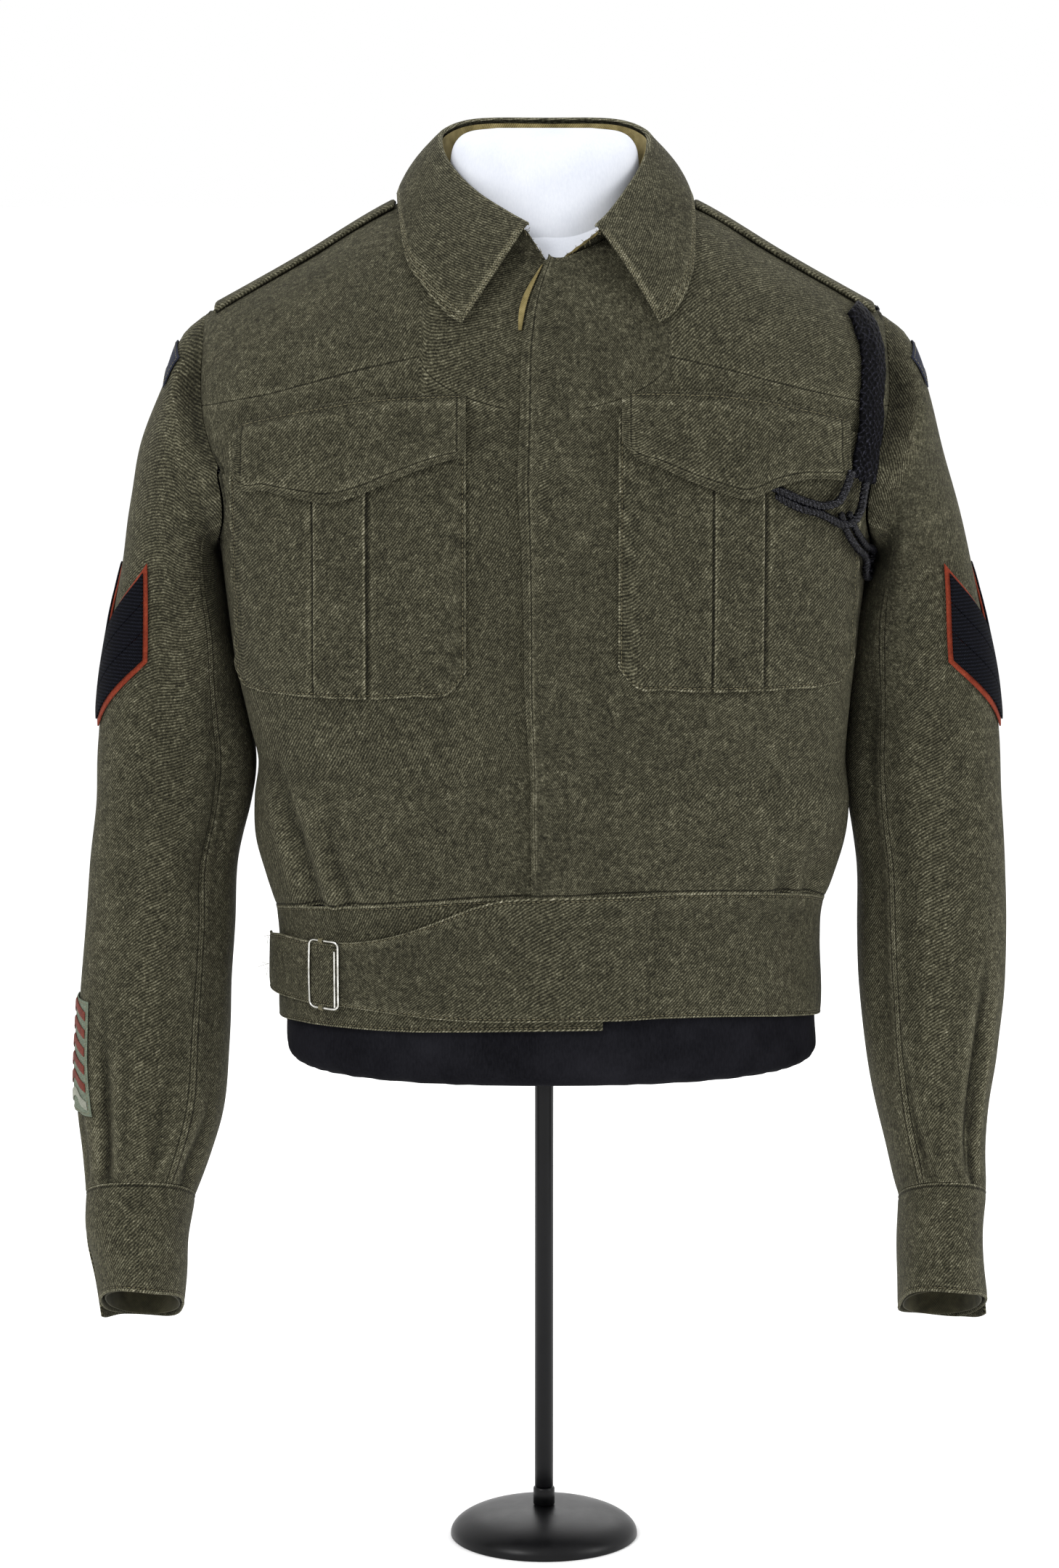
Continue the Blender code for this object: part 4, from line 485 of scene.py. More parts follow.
# Pockets. Columns: distance from the middle, lower edge, upper edge
BAG_RIGHT = np.array([
    (-0.1930, 0.5790, 0.722),
    (-0.1885, 0.5685, 0.723),
    (-0.1800, 0.5660, 0.724),
    (-0.1690, 0.5655, 0.725),
    (-0.1560, 0.5655, 0.7255),
    (-0.1422, 0.5655, 0.726),
    (-0.1410, 0.5655, 0.726),
    (-0.1095, 0.5655, 0.729),
    (-0.1083, 0.5655, 0.729),
    (-0.0800, 0.5675, 0.735),
    (-0.0560, 0.5720, 0.738),
    (-0.0480, 0.5830, 0.739),
])
BAG_LEFT = np.array([
    (0.0445, 0.5860, 0.740),
    (0.0520, 0.5760, 0.741),
    (0.0750, 0.5715, 0.742),
    (0.1022, 0.5700, 0.741),
    (0.1034, 0.5700, 0.741),
    (0.1330, 0.5700, 0.736),
    (0.1342, 0.5700, 0.736),
    (0.1500, 0.5700, 0.733),
    (0.1650, 0.5700, 0.731),
    (0.1770, 0.5710, 0.7295),
    (0.1865, 0.5740, 0.728),
    (0.1935, 0.5860, 0.725),
])
PLEAT_RIGHT = (-0.1412, -0.1093)
PLEAT_LEFT = (0.1032, 0.1332)
FLAP_RIGHT = np.array([
    (-0.1895, 0.7040, 0.7290),
    (-0.1860, 0.6970, 0.7320),
    (-0.1700, 0.6935, 0.7370),
    (-0.1500, 0.6895, 0.7415),
    (-0.1320, 0.6865, 0.7450),
    (-0.1150, 0.6905, 0.7480),
    (-0.0950, 0.6990, 0.7500),
    (-0.0700, 0.7090, 0.7515),
    (-0.0480, 0.7150, 0.7520),
])
FLAP_LEFT = np.array([
    (0.0465, 0.7240, 0.7520),
    (0.0530, 0.7155, 0.7530),
    (0.0700, 0.7080, 0.7535),
    (0.0900, 0.6990, 0.7530),
    (0.1080, 0.6925, 0.7520),
    (0.1215, 0.6890, 0.7500),
    (0.1400, 0.6965, 0.7465),
    (0.1560, 0.7000, 0.7430),
    (0.1710, 0.7000, 0.7395),
    (0.1850, 0.6995, 0.7350),
])
BAG_THICK, FLAP_THICK = 0.0015, 0.0017
BAG_OUT = LAYER_GAP + BAG_THICK
FLAP_IN = BAG_OUT + LAYER_GAP + 0.0003

# Shoulder straps
STRAP_FROM, STRAP_TO = 0.0930, 0.2060
STRAP_HALF, STRAP_THICK = 0.0210, 0.0030

# Waistband tab and its wire buckle
TAB_TOP, TAB_LOW = 0.4085, 0.3680
TAPER_FROM, TAPER_TO = -0.020, -0.1270
BUCKLE_X, BUCKLE_Z = (-0.1440, -0.1265), (0.3662, 0.4095)
WIRE = 0.0015
TAB_END = -86.0
BAND_LAP = 0.0032

# Badges: size, distance forward of the sleeve's outer line and height
CHEVRON_HALF, CHEVRON_SIDE, CHEVRON_MIDDLE = 0.044, 0.063, 0.5367
CHEVRON_FORWARD = 0.0235
CHEVRON_EDGE, CHEVRON_THICK = 0.0045, 0.0012
SERVICE_HALF, SERVICE_Z, SERVICE_FORWARD = 0.019, (0.2905, 0.3625), 0.0195
SERVICE_BARS, SERVICE_PITCH, SERVICE_BAR = 6, 0.0112, 0.0055
TITLE_HALF, TITLE_Z = 0.036, (0.7610, 0.7790)

# Lanyard: the braid's size and its route on the left front
BRAID_HALF, BRAID_HIGH = 0.0073, 0.0046
BRAID = np.array([
    (0.1965, 0.7915),
    (0.1990, 0.7850),
    (0.2005, 0.7780),
    (0.2010, 0.7650),
    (0.1995, 0.7480),
    (0.1975, 0.7320),
    (0.1945, 0.7150),
    (0.1905, 0.6990),
])

# Form and stand
FORM_CLEAR, FORM_REST, FORM_SPLIT, FORM_FOOT = 0.0072, 0.0015, 0.3720, 0.3185
FORM_SIDE, FORM_EDGE = 86.0, 70.0
FORM_COLUMNS = (74.0, 86.0)
FORM_EDGE_Z = (0.62, CHEST)
FORM_NECK_CLEAR, FORM_NECK_X = 0.004, (0.080, 0.098)
FORM_ARM_CLEAR, FORM_ARM_X = 0.006, (0.150, 0.185)
NECK = np.array([
    (0.8000, 0.0620, 0.0660, 0.0500),
    (0.8400, 0.0605, 0.0665, 0.0520),
    (0.8700, 0.0595, 0.0610, 0.0550),
    (0.8930, 0.0590, 0.0560, 0.0570),
    (0.9040, 0.0555, 0.0500, 0.0545),
    (0.9100, 0.0470, 0.0400, 0.0460),
    (0.9122, 0.0300, 0.0220, 0.0300),
])
LOWER = np.array([
    (0.3185, 0.1480, 0.1570, 0.0920, 0.0850, 2.3),
    (0.3205, 0.1570, 0.1665, 0.1000, 0.0925, 2.3),
    (0.3260, 0.1630, 0.1730, 0.1050, 0.0965, 2.4),
    (0.3370, 0.1655, 0.1745, 0.1065, 0.0975, 2.4),
    (0.3720, 0.1650, 0.1720, 0.1065, 0.0970, 2.4),
])
POLE_RADIUS, SOCKET_RADIUS, SOCKET_HIGH = 0.0060, 0.0070, 0.0120
BASE_RADIUS, BASE_HIGH, BASE_RIM = 0.0610, 0.0200, 0.0015

# Flat lengths of a front or the back below and above the chest line, the height of the sewn
# line over the pockets, and how far from the middle the fly's curve draws the left front
PANEL_LOW, PANEL_HIGH = 0.265, 0.205
YOKE_AT = PANEL_LOW + 0.058
FLY_REACH = 0.030

# Small creases of the body. Columns: x and z of one end, x and z of the other, width on each
# side, depth (minus is a trough), side of the body (-1 front, 1 back)
CREASES = np.array([
    (-0.1685, 0.5280, -0.1450, 0.4300, 0.0030, 0.0060, -0.0022, -1),
    (-0.1760, 0.5100, -0.1560, 0.4310, 0.0050, 0.0040, 0.0016, -1),
    (-0.1430, 0.5050, -0.1255, 0.4300, 0.0045, 0.0030, 0.0014, -1),
    (-0.1380, 0.4900, -0.1235, 0.4310, 0.0022, 0.0045, -0.0014, -1),
    (0.1500, 0.4700, 0.1460, 0.4330, 0.0030, 0.0045, -0.0016, -1),
    (0.1680, 0.4800, 0.1620, 0.4330, 0.0040, 0.0030, -0.0016, -1),
    (-0.1950, 0.6300, -0.1740, 0.5500, 0.0070, 0.0100, -0.0016, -1),
    (0.1960, 0.6200, 0.1880, 0.5500, 0.0080, 0.0080, -0.0014, -1),
    (-0.1900, 0.7300, -0.1560, 0.7700, 0.0080, 0.0120, -0.0014, -1),
    (0.1860, 0.7600, 0.1500, 0.7900, 0.0090, 0.0120, -0.0012, -1),
    (-0.1000, 0.5300, -0.0600, 0.4500, 0.0120, 0.0160, 0.0010, -1),
    (0.0700, 0.5200, 0.0500, 0.4500, 0.0120, 0.0160, 0.0010, -1),
    (-0.1250, 0.8200, -0.0900, 0.7900, 0.0090, 0.0140, -0.0010, -1),
    (0.1050, 0.5600, 0.0900, 0.4400, 0.0050, 0.0080, -0.0022, 1),
    (-0.1080, 0.5500, -0.0920, 0.4400, 0.0080, 0.0050, -0.0022, 1),
    (0.0520, 0.5200, 0.0450, 0.4400, 0.0050, 0.0070, -0.0016, 1),
    (-0.0600, 0.5250, -0.0500, 0.4400, 0.0070, 0.0050, -0.0018, 1),
    (0.1850, 0.6300, 0.1500, 0.5300, 0.0090, 0.0120, -0.0018, 1),
    (-0.1850, 0.6250, -0.1520, 0.5350, 0.0120, 0.0090, -0.0018, 1),
    (-0.1500, 0.7400, -0.0400, 0.7250, 0.0100, 0.0140, -0.0012, 1),
    (0.1500, 0.7450, 0.0500, 0.7300, 0.0140, 0.0100, -0.0012, 1),
])

# Small creases of the sleeves. Columns: degrees and ring of one end, of the other, width on
# each side (in nine-degree steps), depth, side of the body
SLEEVE_CREASES = np.array([
    (60.0, 12.6, 52.0, 16.2, 0.45, 0.85, -0.0024, -1),
    (74.0, 12.8, 70.0, 16.2, 0.80, 0.50, 0.0012, -1),
    (22.0, 13.4, 28.0, 16.2, 0.70, 0.70, -0.0016, -1),
    (96.0, 13.8, 104.0, 16.2, 0.60, 0.80, -0.0012, -1),
    (120.0, 8.2, 150.0, 9.4, 0.80, 1.20, -0.0016, -1),
    (116.0, 9.6, 146.0, 9.0, 0.90, 0.90, -0.0012, -1),
    (150.0, 13.8, 140.0, 16.2, 0.60, 0.90, -0.0020, -1),
    (100.0, 3.5, 150.0, 2.6, 0.90, 1.30, -0.0018, -1),
    (250.0, 4.0, 215.0, 3.0, 0.90, 1.20, -0.0016, -1),
    (262.0, 8.0, 230.0, 9.0, 0.90, 1.20, -0.0022, -1),
    (300.0, 13.0, 310.0, 16.2, 0.70, 0.90, -0.0020, -1),
    (270.0, 13.4, 262.0, 16.2, 0.80, 0.70, -0.0018, -1),
    (52.0, 11.6, 66.0, 16.2, 0.50, 0.90, -0.0030, 1),
    (38.0, 12.2, 44.0, 16.0, 0.80, 0.50, 0.0014, 1),
    (90.0, 13.6, 96.0, 16.2, 0.60, 0.70, -0.0012, 1),
    (120.0, 12.6, 112.0, 16.2, 0.60, 0.90, -0.0016, 1),
    (112.0, 8.6, 150.0, 8.0, 0.90, 1.10, -0.0014, 1),
    (104.0, 3.6, 150.0, 2.8, 0.90, 1.30, -0.0018, 1),
    (250.0, 4.0, 215.0, 3.0, 0.90, 1.20, -0.0016, 1),
    (262.0, 8.4, 228.0, 9.2, 0.90, 1.20, -0.0022, 1),
    (298.0, 12.8, 306.0, 16.2, 0.70, 0.90, -0.0020, 1),
    (268.0, 13.2, 262.0, 16.2, 0.80, 0.70, -0.0016, 1),
])

# Lanyard: the braid's end under the strap, the cords from it to under the pocket flap, as x, z
# and distance out, and the way under the arm, as degrees round the body and levels
BRAID_TOP = np.array([(0.1905, 0.8000), (0.1940, 0.7960)])
LANYARD_CORDS = (
    ((0.1835, 0.7045, 0.0085), (0.1795, 0.6941, 0.0080), (0.1759, 0.6872, 0.0070),
     (0.1690, 0.6846, 0.0062), (0.1600, 0.6862, 0.0058), (0.1500, 0.6900, 0.0054),
     (0.1420, 0.6940, 0.0044), (0.1350, 0.6975, 0.0020)),
    ((0.1925, 0.7040, 0.0085), (0.1905, 0.6920, 0.0082), (0.1878, 0.6810, 0.0086),
     (0.1835, 0.6745, 0.0084), (0.1779, 0.6732, 0.0072), (0.1715, 0.6765, 0.0062),
     (0.1635, 0.6806, 0.0058), (0.1545, 0.6830, 0.0055), (0.1465, 0.6870, 0.0045),
     (0.1400, 0.6915, 0.0020)),
)
POCKET_CORD_RADIUS, ARM_CORD_RADIUS, ARM_CORD_APART = 0.0028, 0.0025, 0.0025
ARM_CORD_START = (0.1800, 0.6800, 0.0062)
ARM_CORD_FRONT = ((0.1835, 0.6700, 0.0062), (0.1905, 0.6580, 0.0055), (0.1985, 0.6480, 0.0042))
UNDERARM = ((74.0, 0.639), (82.0, 0.6355), (90.0, 0.6345), (98.0, 0.636), (106.0, 0.641),
            (114.0, 0.647), (121.0, 0.663), (126.0, 0.685), (127.0, 0.71), (124.0, 0.78),
            (119.0, 0.86), (114.5, 0.95), (112.0, 1.05), (110.5, 1.18), (110.5, 1.36),
            (110.5, 1.57))

# Machine stitches, and how far in from its edge each piece is sewn
STITCH_PITCH, STITCH_LENGTH, STITCH_RADIUS = 0.0030, 0.0021, 0.00022
PANEL_LINE, BAG_LINE, FLAP_LINE, STRAP_LINE = 0.0025, 0.0022, 0.0055, 0.0035
COLLAR_LINES, SLEEVE_LINE, CUFF_LINE, BAND_LINE = (0.0024, 0.0062), 0.0030, 0.0024, 0.0022

# Sizes of the flat nets that the cloth is drawn on
BAG_HIGH, FLAP_HIGH = 0.155, 0.055
FLY_BOTTOM, FLY_WIDE, FLY_HIGH = 0.790, 0.004, 0.039
STAND_HIGH, PIPING_RADIUS = 0.030, 0.00065
TOP_WIDE, UNDER_WIDE = 0.190, 0.090
CUFF_WIDE, CUFF_HIGH = 0.235, 0.063
LINING_WIDE, LINING_HIGH = 0.200, 0.041
BAND_REACH, BAND_HIGH, TAB_HIGH = 0.148, 0.076, 0.040

# Depth and degrees at which each sleeve's cloth falls back under its front crease, the middle of
# a sleeve's inner side, and the allowances turned in at the armholes
UNDER_FALL = {1: (0.0080, 138), -1: (0.0050, 134)}
INNER_LINE = 186
ALLOWANCE_IN, ALLOWANCE_RADIUS = 0.0034, 0.0026


# Helpers and surfaces, the same as the solids'

def through(knots, values, at):
    """A smooth curve through a table's values, read at one or many places."""
    at = np.clip(np.asarray(at, float), knots[0], knots[-1])
    slopes = np.gradient(values, knots, axis=0)
    i = np.clip(np.searchsorted(knots, at, side="right") - 1, 0, len(knots) - 2)
    step = knots[i + 1] - knots[i]
    t = (at - knots[i]) / step
    if values.ndim > 1:
        step, t = step[..., None], t[..., None]
    start = (2 * t**3 - 3 * t**2 + 1) * values[i] + (t**3 - 2 * t**2 + t) * step * slopes[i]
    end = (3 * t**2 - 2 * t**3) * values[i + 1] + (t**3 - t**2) * step * slopes[i + 1]
    return start + end


def ease(at, start, end):
    """0 before start, 1 after end, smooth between."""
    t = np.clip((at - start) / (end - start), 0, 1)
    return t * t * (3 - 2 * t)


def unit(vectors):
    """The same directions, each one long."""
    return vectors / np.maximum(np.linalg.norm(vectors, axis=-1, keepdims=True), 1e-12)


def run_along(points):
    """Distances along a line of points from its first one."""
    return np.concatenate([[0], np.cumsum(np.linalg.norm(np.diff(points, axis=0), axis=1))])


def groove(away, width):
    """1 on a line, and falling to 0 away from it on each side."""
    return np.exp(-(away / width) ** 2)


def degrees_from(at, middle):
    """Signed degrees round a sleeve from one place to another."""
    return (at - middle + 180) % 360 - 180


def hand(side):
    """The wearer's side that a sign stands for."""
    return "left" if side > 0 else "right"


def power(value, square):
    """A signed sine or cosine bent to a squarer section."""
    return np.sign(value) * np.abs(value) ** (2 / square)


def grid_normals(points, ring=False):
    """Unit normals of a grid of points, rows up and columns to the right seen from outside."""
    if ring:
        wide = np.roll(points, -1, axis=1) - np.roll(points, 1, axis=1)
    else:
        wide = np.gradient(points, axis=1)
    return unit(np.cross(wide, np.gradient(points, axis=0)))


def shoulder_height(x):
    """Height of the shoulder seam at a distance from the middle."""
    return through(SHOULDER[:, 0], SHOULDER[:, 1], np.abs(x))


def body(turn, level):
    """Point on the outer face of the body cloth, turn in radians round from the front."""
    turn, level = np.broadcast_arrays(np.asarray(turn, float), np.asarray(level, float))
    height = np.minimum(level, CHEST)
    right, left, front, back, square = np.moveaxis(
        through(SECTIONS[:, 0], SECTIONS[:, 1:], height), -1, 0)
    side, ahead = np.sin(turn), np.cos(turn)
    x = np.where(side > 0, left, right) * power(side, square)
    y = -np.where(ahead > 0, front, back) * power(ahead, square)
    rise = np.clip(level - CHEST, 0, 1) * math.pi / 2
    over = np.where(ahead > 0, OVER_FRONT, OVER_BACK)
    up = np.abs(np.sin(rise)) ** (2 / over)
    top = x * TIP_SHARE
    return np.stack([
        x + (top - x) * up,
        y * np.abs(np.cos(rise)) ** (2 / over),
        height + (shoulder_height(top) - CHEST) * up,
    ], axis=-1)


def body_normal(turn, level):
    """Outward direction of the body cloth."""
    step = 1e-4
    level = np.minimum(level, CHEST + 1)
    wide = body(turn + step, level) - body(turn - step, level)
    high = body(turn, np.minimum(level + step, CHEST + 1)) - body(turn, level - step)
    return unit(np.cross(wide, high))


def lap(x):
    """How far the left front stands out where it lies over the right front."""
    return LAP_OUT * (1 - ease(x, LAP_FROM, LAP_TO))


def fold_height(points):
    """Outward movement of the cloth by its soft folds."""
    x, y, z = points[..., 0], points[..., 1], points[..., 2]
    total = np.zeros_like(x)
    for top_x, low_x, top_z, half, depth, side in FOLDS:
        share = np.clip((z - FOLD_FOOT) / (top_z - FOLD_FOOT), -0.5, 1.5)
        middle = low_x + (top_x - low_x) * share
        fade = (1 - ease(z, FOLD_FOOT + 0.45 * (top_z - FOLD_FOOT), top_z)) * ease(z, *FOLD_END)
        here = groove(x - middle, half) * fade
        total = total + depth * np.where(np.sign(y) == side, here, 0)
    return total


def spot(x, z, back=False):
    """Turn and level of the place with this x and height on the front or the back."""
    x, z = np.broadcast_arrays(np.asarray(x, float), np.asarray(z, float))
    over = OVER_BACK if back else OVER_FRONT
    up = np.clip((z - CHEST) / (shoulder_height(x) - CHEST), 0, 1)
    level = np.where(z <= CHEST, z, CHEST + np.arcsin(up ** (over / 2)) / (math.pi / 2))
    right, left, _, _, square = np.moveaxis(
        through(SECTIONS[:, 0], SECTIONS[:, 1:], np.minimum(z, CHEST)), -1, 0)
    share = np.abs(x) / (1 + (TIP_SHARE - 1) * up) / np.where(x > 0, left, right)
    turn = np.sign(x) * np.arcsin(np.clip(share, 0, 1) ** (square / 2))
    return (np.where(x > 0, math.pi, -math.pi) - turn if back else turn), level


def neck_rise(x, back):
    """Share of the way over the shoulder at which the neck seam cuts the body."""
    depth, neck, over = (
        (SECTIONS[-1, 4], NECK_BACK, OVER_BACK) if back else (SECTIONS[-1, 3], NECK_FRONT, OVER_FRONT))
    reach = np.sqrt(np.clip(1 - (x / NECK_HALF) ** 2, 0, 1))
    return np.arccos((neck * reach / depth) ** (over / 2)) / (math.pi / 2)


def column_turns(columns=INNER_COLUMNS):
    """Turns of one half's columns at the chest, the last at the armhole edge."""
    half, square = SECTIONS[-1, 1], SECTIONS[-1, 5]
    inner = np.arcsin((np.array(columns) / half) ** (square / 2))
    return np.concatenate([inner, np.radians(OUTER_COLUMNS)])


def edge_turn(level):
    """Turn of the armhole edge at a level."""
    return np.radians(np.where(level <= ARMHOLE[0, 0], ARMHOLE[0, 1],
                               through(ARMHOLE[:, 0], ARMHOLE[:, 1], level)))


def panel_turns(nominal, level):
    """Columns of a panel at a level: the nominal turns, drawn to the armhole and side seam."""
    edge_at = np.radians(OUTER_COLUMNS[-1])
    return nominal + (edge_turn(level) - edge_at) * np.clip(nominal / edge_at, 0, 1) ** 3


def waist(turn, column):
    """Height of the waist seam (column 1) or the waistband's lower edge (column 2)."""
    return through(WAIST[:, 0], WAIST[:, column], np.degrees(turn))


def neck_seam(turn):
    """Point of the neck seam, turn in radians round from the front."""
    x = NECK_HALF * np.sin(turn)
    ahead = np.cos(turn) > 0
    rise = np.where(ahead, neck_rise(x, False), neck_rise(x, True))
    half, square = SECTIONS[-1, 1], SECTIONS[-1, 5]
    size = np.arcsin((np.abs(x) / TIP_SHARE / half) ** (square / 2))
    where = np.where(ahead, size, math.pi - size) * np.where(x < 0, -1, 1)
    return body(where, CHEST + rise)


def armhole_ring(side, tau):
    """Point of the armhole seam, tau 0 at the shoulder, 90 in front, 180 under the arm."""
    levels = np.concatenate([np.linspace(CHEST + 1, CHEST, 60), np.linspace(CHEST, 0.655, 40)[1:]])
    halves = []
    for back in (False, True):
        turn = edge_turn(levels)
        curve = body((math.pi - turn if back else turn) * side, levels)
        run = run_along(curve)
        halves.append((run / run[-1], curve))
    tau = np.mod(tau, 360.0)
    front = tau <= 180
    share = np.where(front, tau, 360 - tau) / 180
    points = [np.stack([np.interp(share, run, curve[:, k]) for k in range(3)], axis=-1)
              for run, curve in halves]
    return np.where(front[..., None], points[0], points[1])


def tube_point(table, side, tau, ring):
    """Point on a tube of sections, tau in degrees, ring counted down its table."""
    rows = np.arange(len(table), dtype=float)
    value = np.moveaxis(through(rows, table, ring), -1, 0)
    out_z, out_x, in_z, in_x = value[0], value[2 if side > 0 else 1], value[3], value[5 if side > 0 else 4]
    deep, behind, pitch, square = value[6], value[7], np.radians(value[8]), value[9]
    across, around = power(np.cos(np.radians(tau)), square), power(np.sin(np.radians(tau)), square)
    x = (out_x + in_x) / 2 + (out_x - in_x) / 2 * across
    y = behind - deep * around * np.cos(pitch)
    z = (out_z + in_z) / 2 + (out_z - in_z) / 2 * across + deep * around * np.sin(pitch)
    return np.stack([x * side, y, z], axis=-1)


def sleeve_crease(side, tau, ring):
    """Outward movement of a sleeve's cloth by its largest creases."""
    total = np.zeros(np.broadcast(tau, ring).shape)
    for of_side, at, first, last, half, depth in SLEEVE_FOLDS:
        if of_side != side:
            continue
        turn = degrees_from(tau, at)
        along = ease(ring, first, first + 1.5) * (1 - ease(ring, last - 1.0, last))
        total = total + depth * groove(turn, half) * along
    return total


def sleeve_skin(side, tau, ring):
    """Point on the outer face of a sleeve, drawn to the armhole seam at its head."""
    tau, ring = np.broadcast_arrays(np.asarray(tau, float), np.asarray(ring, float))
    points = tube_point(SLEEVE, side, tau, ring)
    gap = side * HEAD_GAP * (1 + 1.5 * np.clip(-np.sin(np.radians(tau)), 0, 1))
    head = armhole_ring(side, tau) + gap[..., None] * np.array([1.0, 0.0, 0.0])
    pull = (head - tube_point(SLEEVE, side, tau, np.zeros_like(ring)))
    return points + pull * (1 - ease(ring, 0.0, 2.5))[..., None]


def sleeve_normal(side, tau, ring):
    """Outward direction of a sleeve's cloth."""
    last = len(SLEEVE) - 1
    wide = sleeve_skin(side, tau + 0.2, ring) - sleeve_skin(side, tau - 0.2, ring)
    down = (sleeve_skin(side, tau, np.minimum(ring + 0.02, last))
            - sleeve_skin(side, tau, np.maximum(ring - 0.02, 0)))
    return unit(np.cross(wide, down)) * side


SLEEVE_CHARTS = {}


def sleeve_chart(side):
    """Arc length forward of the outer line and height over a fine net of a sleeve."""
    if side not in SLEEVE_CHARTS:
        tau = np.linspace(-150, 150, 151)
        ring = np.linspace(0.2, len(SLEEVE) - 1.2, 146)
        net = sleeve_skin(side, tau[None, :], ring[:, None])
        steps = np.linalg.norm(np.diff(net, axis=1), axis=2)
        run = np.concatenate([np.zeros((len(ring), 1)), np.cumsum(steps, axis=1)], axis=1)
        run = run - run[:, len(tau) // 2][:, None]
        SLEEVE_CHARTS[side] = tau, ring, run, net[..., 2]
    return SLEEVE_CHARTS[side]


def band_edges(degrees):
    """Lower and upper edge of the waistband."""
    turn = np.radians(degrees)
    return waist(turn, 2), waist(turn, 1) - SEAM


def degrees_at(x, z):
    """Degrees round the body of a place on the front."""
    return float(np.degrees(spot(x, z)[0]))


def smooth_route(stops, count):
    """Evenly spaced points on a smooth curve through stops."""
    stops = np.asarray(stops, float)
    run = run_along(stops)
    return through(run, stops, np.linspace(0, run[-1], count))


def form_ring(level):
    """One level ring of the form, drawn inside the cloth, with flat arm ends."""
    edge = np.radians(FORM_SIDE + (FORM_EDGE - FORM_SIDE) * float(ease(level, *FORM_EDGE_Z)))
    half = np.concatenate([[0.0], column_turns()[:-2], np.radians(FORM_COLUMNS)])
    half = half + (edge - half[-1]) * (half / half[-1]) ** 3
    front = np.concatenate([-half[:0:-1], half])
    back = math.pi - front[::-1]
    turns = np.concatenate([front, back])
    level = np.full(turns.shape, level)
    up = np.abs(np.sin(np.clip(level - CHEST, 0, 1) * math.pi / 2))
    points = body(turns, level)
    x = np.abs(points[:, 0])
    rest = (FORM_REST + FORM_NECK_CLEAR * (1 - ease(x, *FORM_NECK_X))
            + FORM_ARM_CLEAR * ease(x, *FORM_ARM_X))
    inset = SERGE + FORM_CLEAR * (1 - up**3) + rest * up**3
    return points - body_normal(turns, level) * inset[:, None]


# Making of shells

# Strips narrower than this are trim on the piece they lie on
LEAST_SHEET = 0.0101


def lines(size, step, low=(), high=(), marks=()):
    """Positions along a side of a piece, closer together at its edges and at marks."""
    special = np.unique(np.concatenate([[0.0, size], low, size - np.array(high, float), marks]))
    special = special[(special >= 0) & (special <= size)]
    plain = np.linspace(0, size, max(2, round(size / step)) + 1)
    far = np.abs(plain[:, None] - special[None, :]).min(axis=1) > 0.42 * step
    return np.sort(np.concatenate([special, plain[far]]))


def rim(thick, *sewn):
    """Distances in from an edge that round it, and that press each row of sewing into it."""
    marks = [0.15 * thick, 0.5 * thick]
    for at in sewn:
        marks += [at - 0.0009, at, at + 0.0009]
    return marks


def corners(rows, columns, ring):
    """Corner numbers of a grid's cells, with the column and row of each."""
    cells = columns if ring else columns - 1
    i, j = (part.ravel() for part in np.meshgrid(np.arange(cells), np.arange(rows - 1)))
    column, row = np.stack([i, i + 1, i + 1, i], 1), np.stack([j, j, j + 1, j + 1], 1)
    return row * columns + column % columns, column, row


def mesh_object(name, points, faces, uv, skin, nodes=(), painted_light_and_shade=None):
    """A finished piece from its points and its list of faces, on the one body."""
    mesh = bpy.data.meshes.new(name)
    mesh.from_pydata(points.tolist(), [], faces)
    # Painted light and shade for the serge's colour: lighter on edges and ridges, darker in grooves and inside
    if painted_light_and_shade is not None:
        layer = mesh.attributes.new("painted_light_and_shade", "FLOAT", "POINT")
        layer.data.foreach_set("value", np.asarray(painted_light_and_shade, np.float32))
    if uv is not None:
        layer = mesh.uv_layers.new(name="cloth")
        layer.data.foreach_set("uv", np.asarray(uv, np.float32).ravel())
    mesh.materials.append(skin)
    mesh.shade_smooth()
    made = bpy.data.objects.new(f"{name}_finished", mesh)
    bpy.context.scene.collection.objects.link(made)
    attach(made, "root")
    if nodes:
        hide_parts(*nodes)
    return made


def bend(points, normals, axis):
    """How sharply a net turns along one of its axes: above 0 on a ridge, below 0 in a groove."""
    step = np.diff(points, axis=axis)
    size = np.maximum(np.linalg.norm(step, axis=2, keepdims=True), 1e-5)
    slope = step / size
    total = np.zeros(points.shape[:2])
    inside = [slice(None)] * 2
    inside[axis] = slice(1, -1)
    inside = tuple(inside)
    reach = 0.5 * (np.delete(size, 0, axis) + np.delete(size, -1, axis))[..., 0]
    turn = -(np.diff(slope, axis=axis) * normals[inside]).sum(-1)
    total[inside] = turn / np.maximum(reach, 0.0008)
    return total


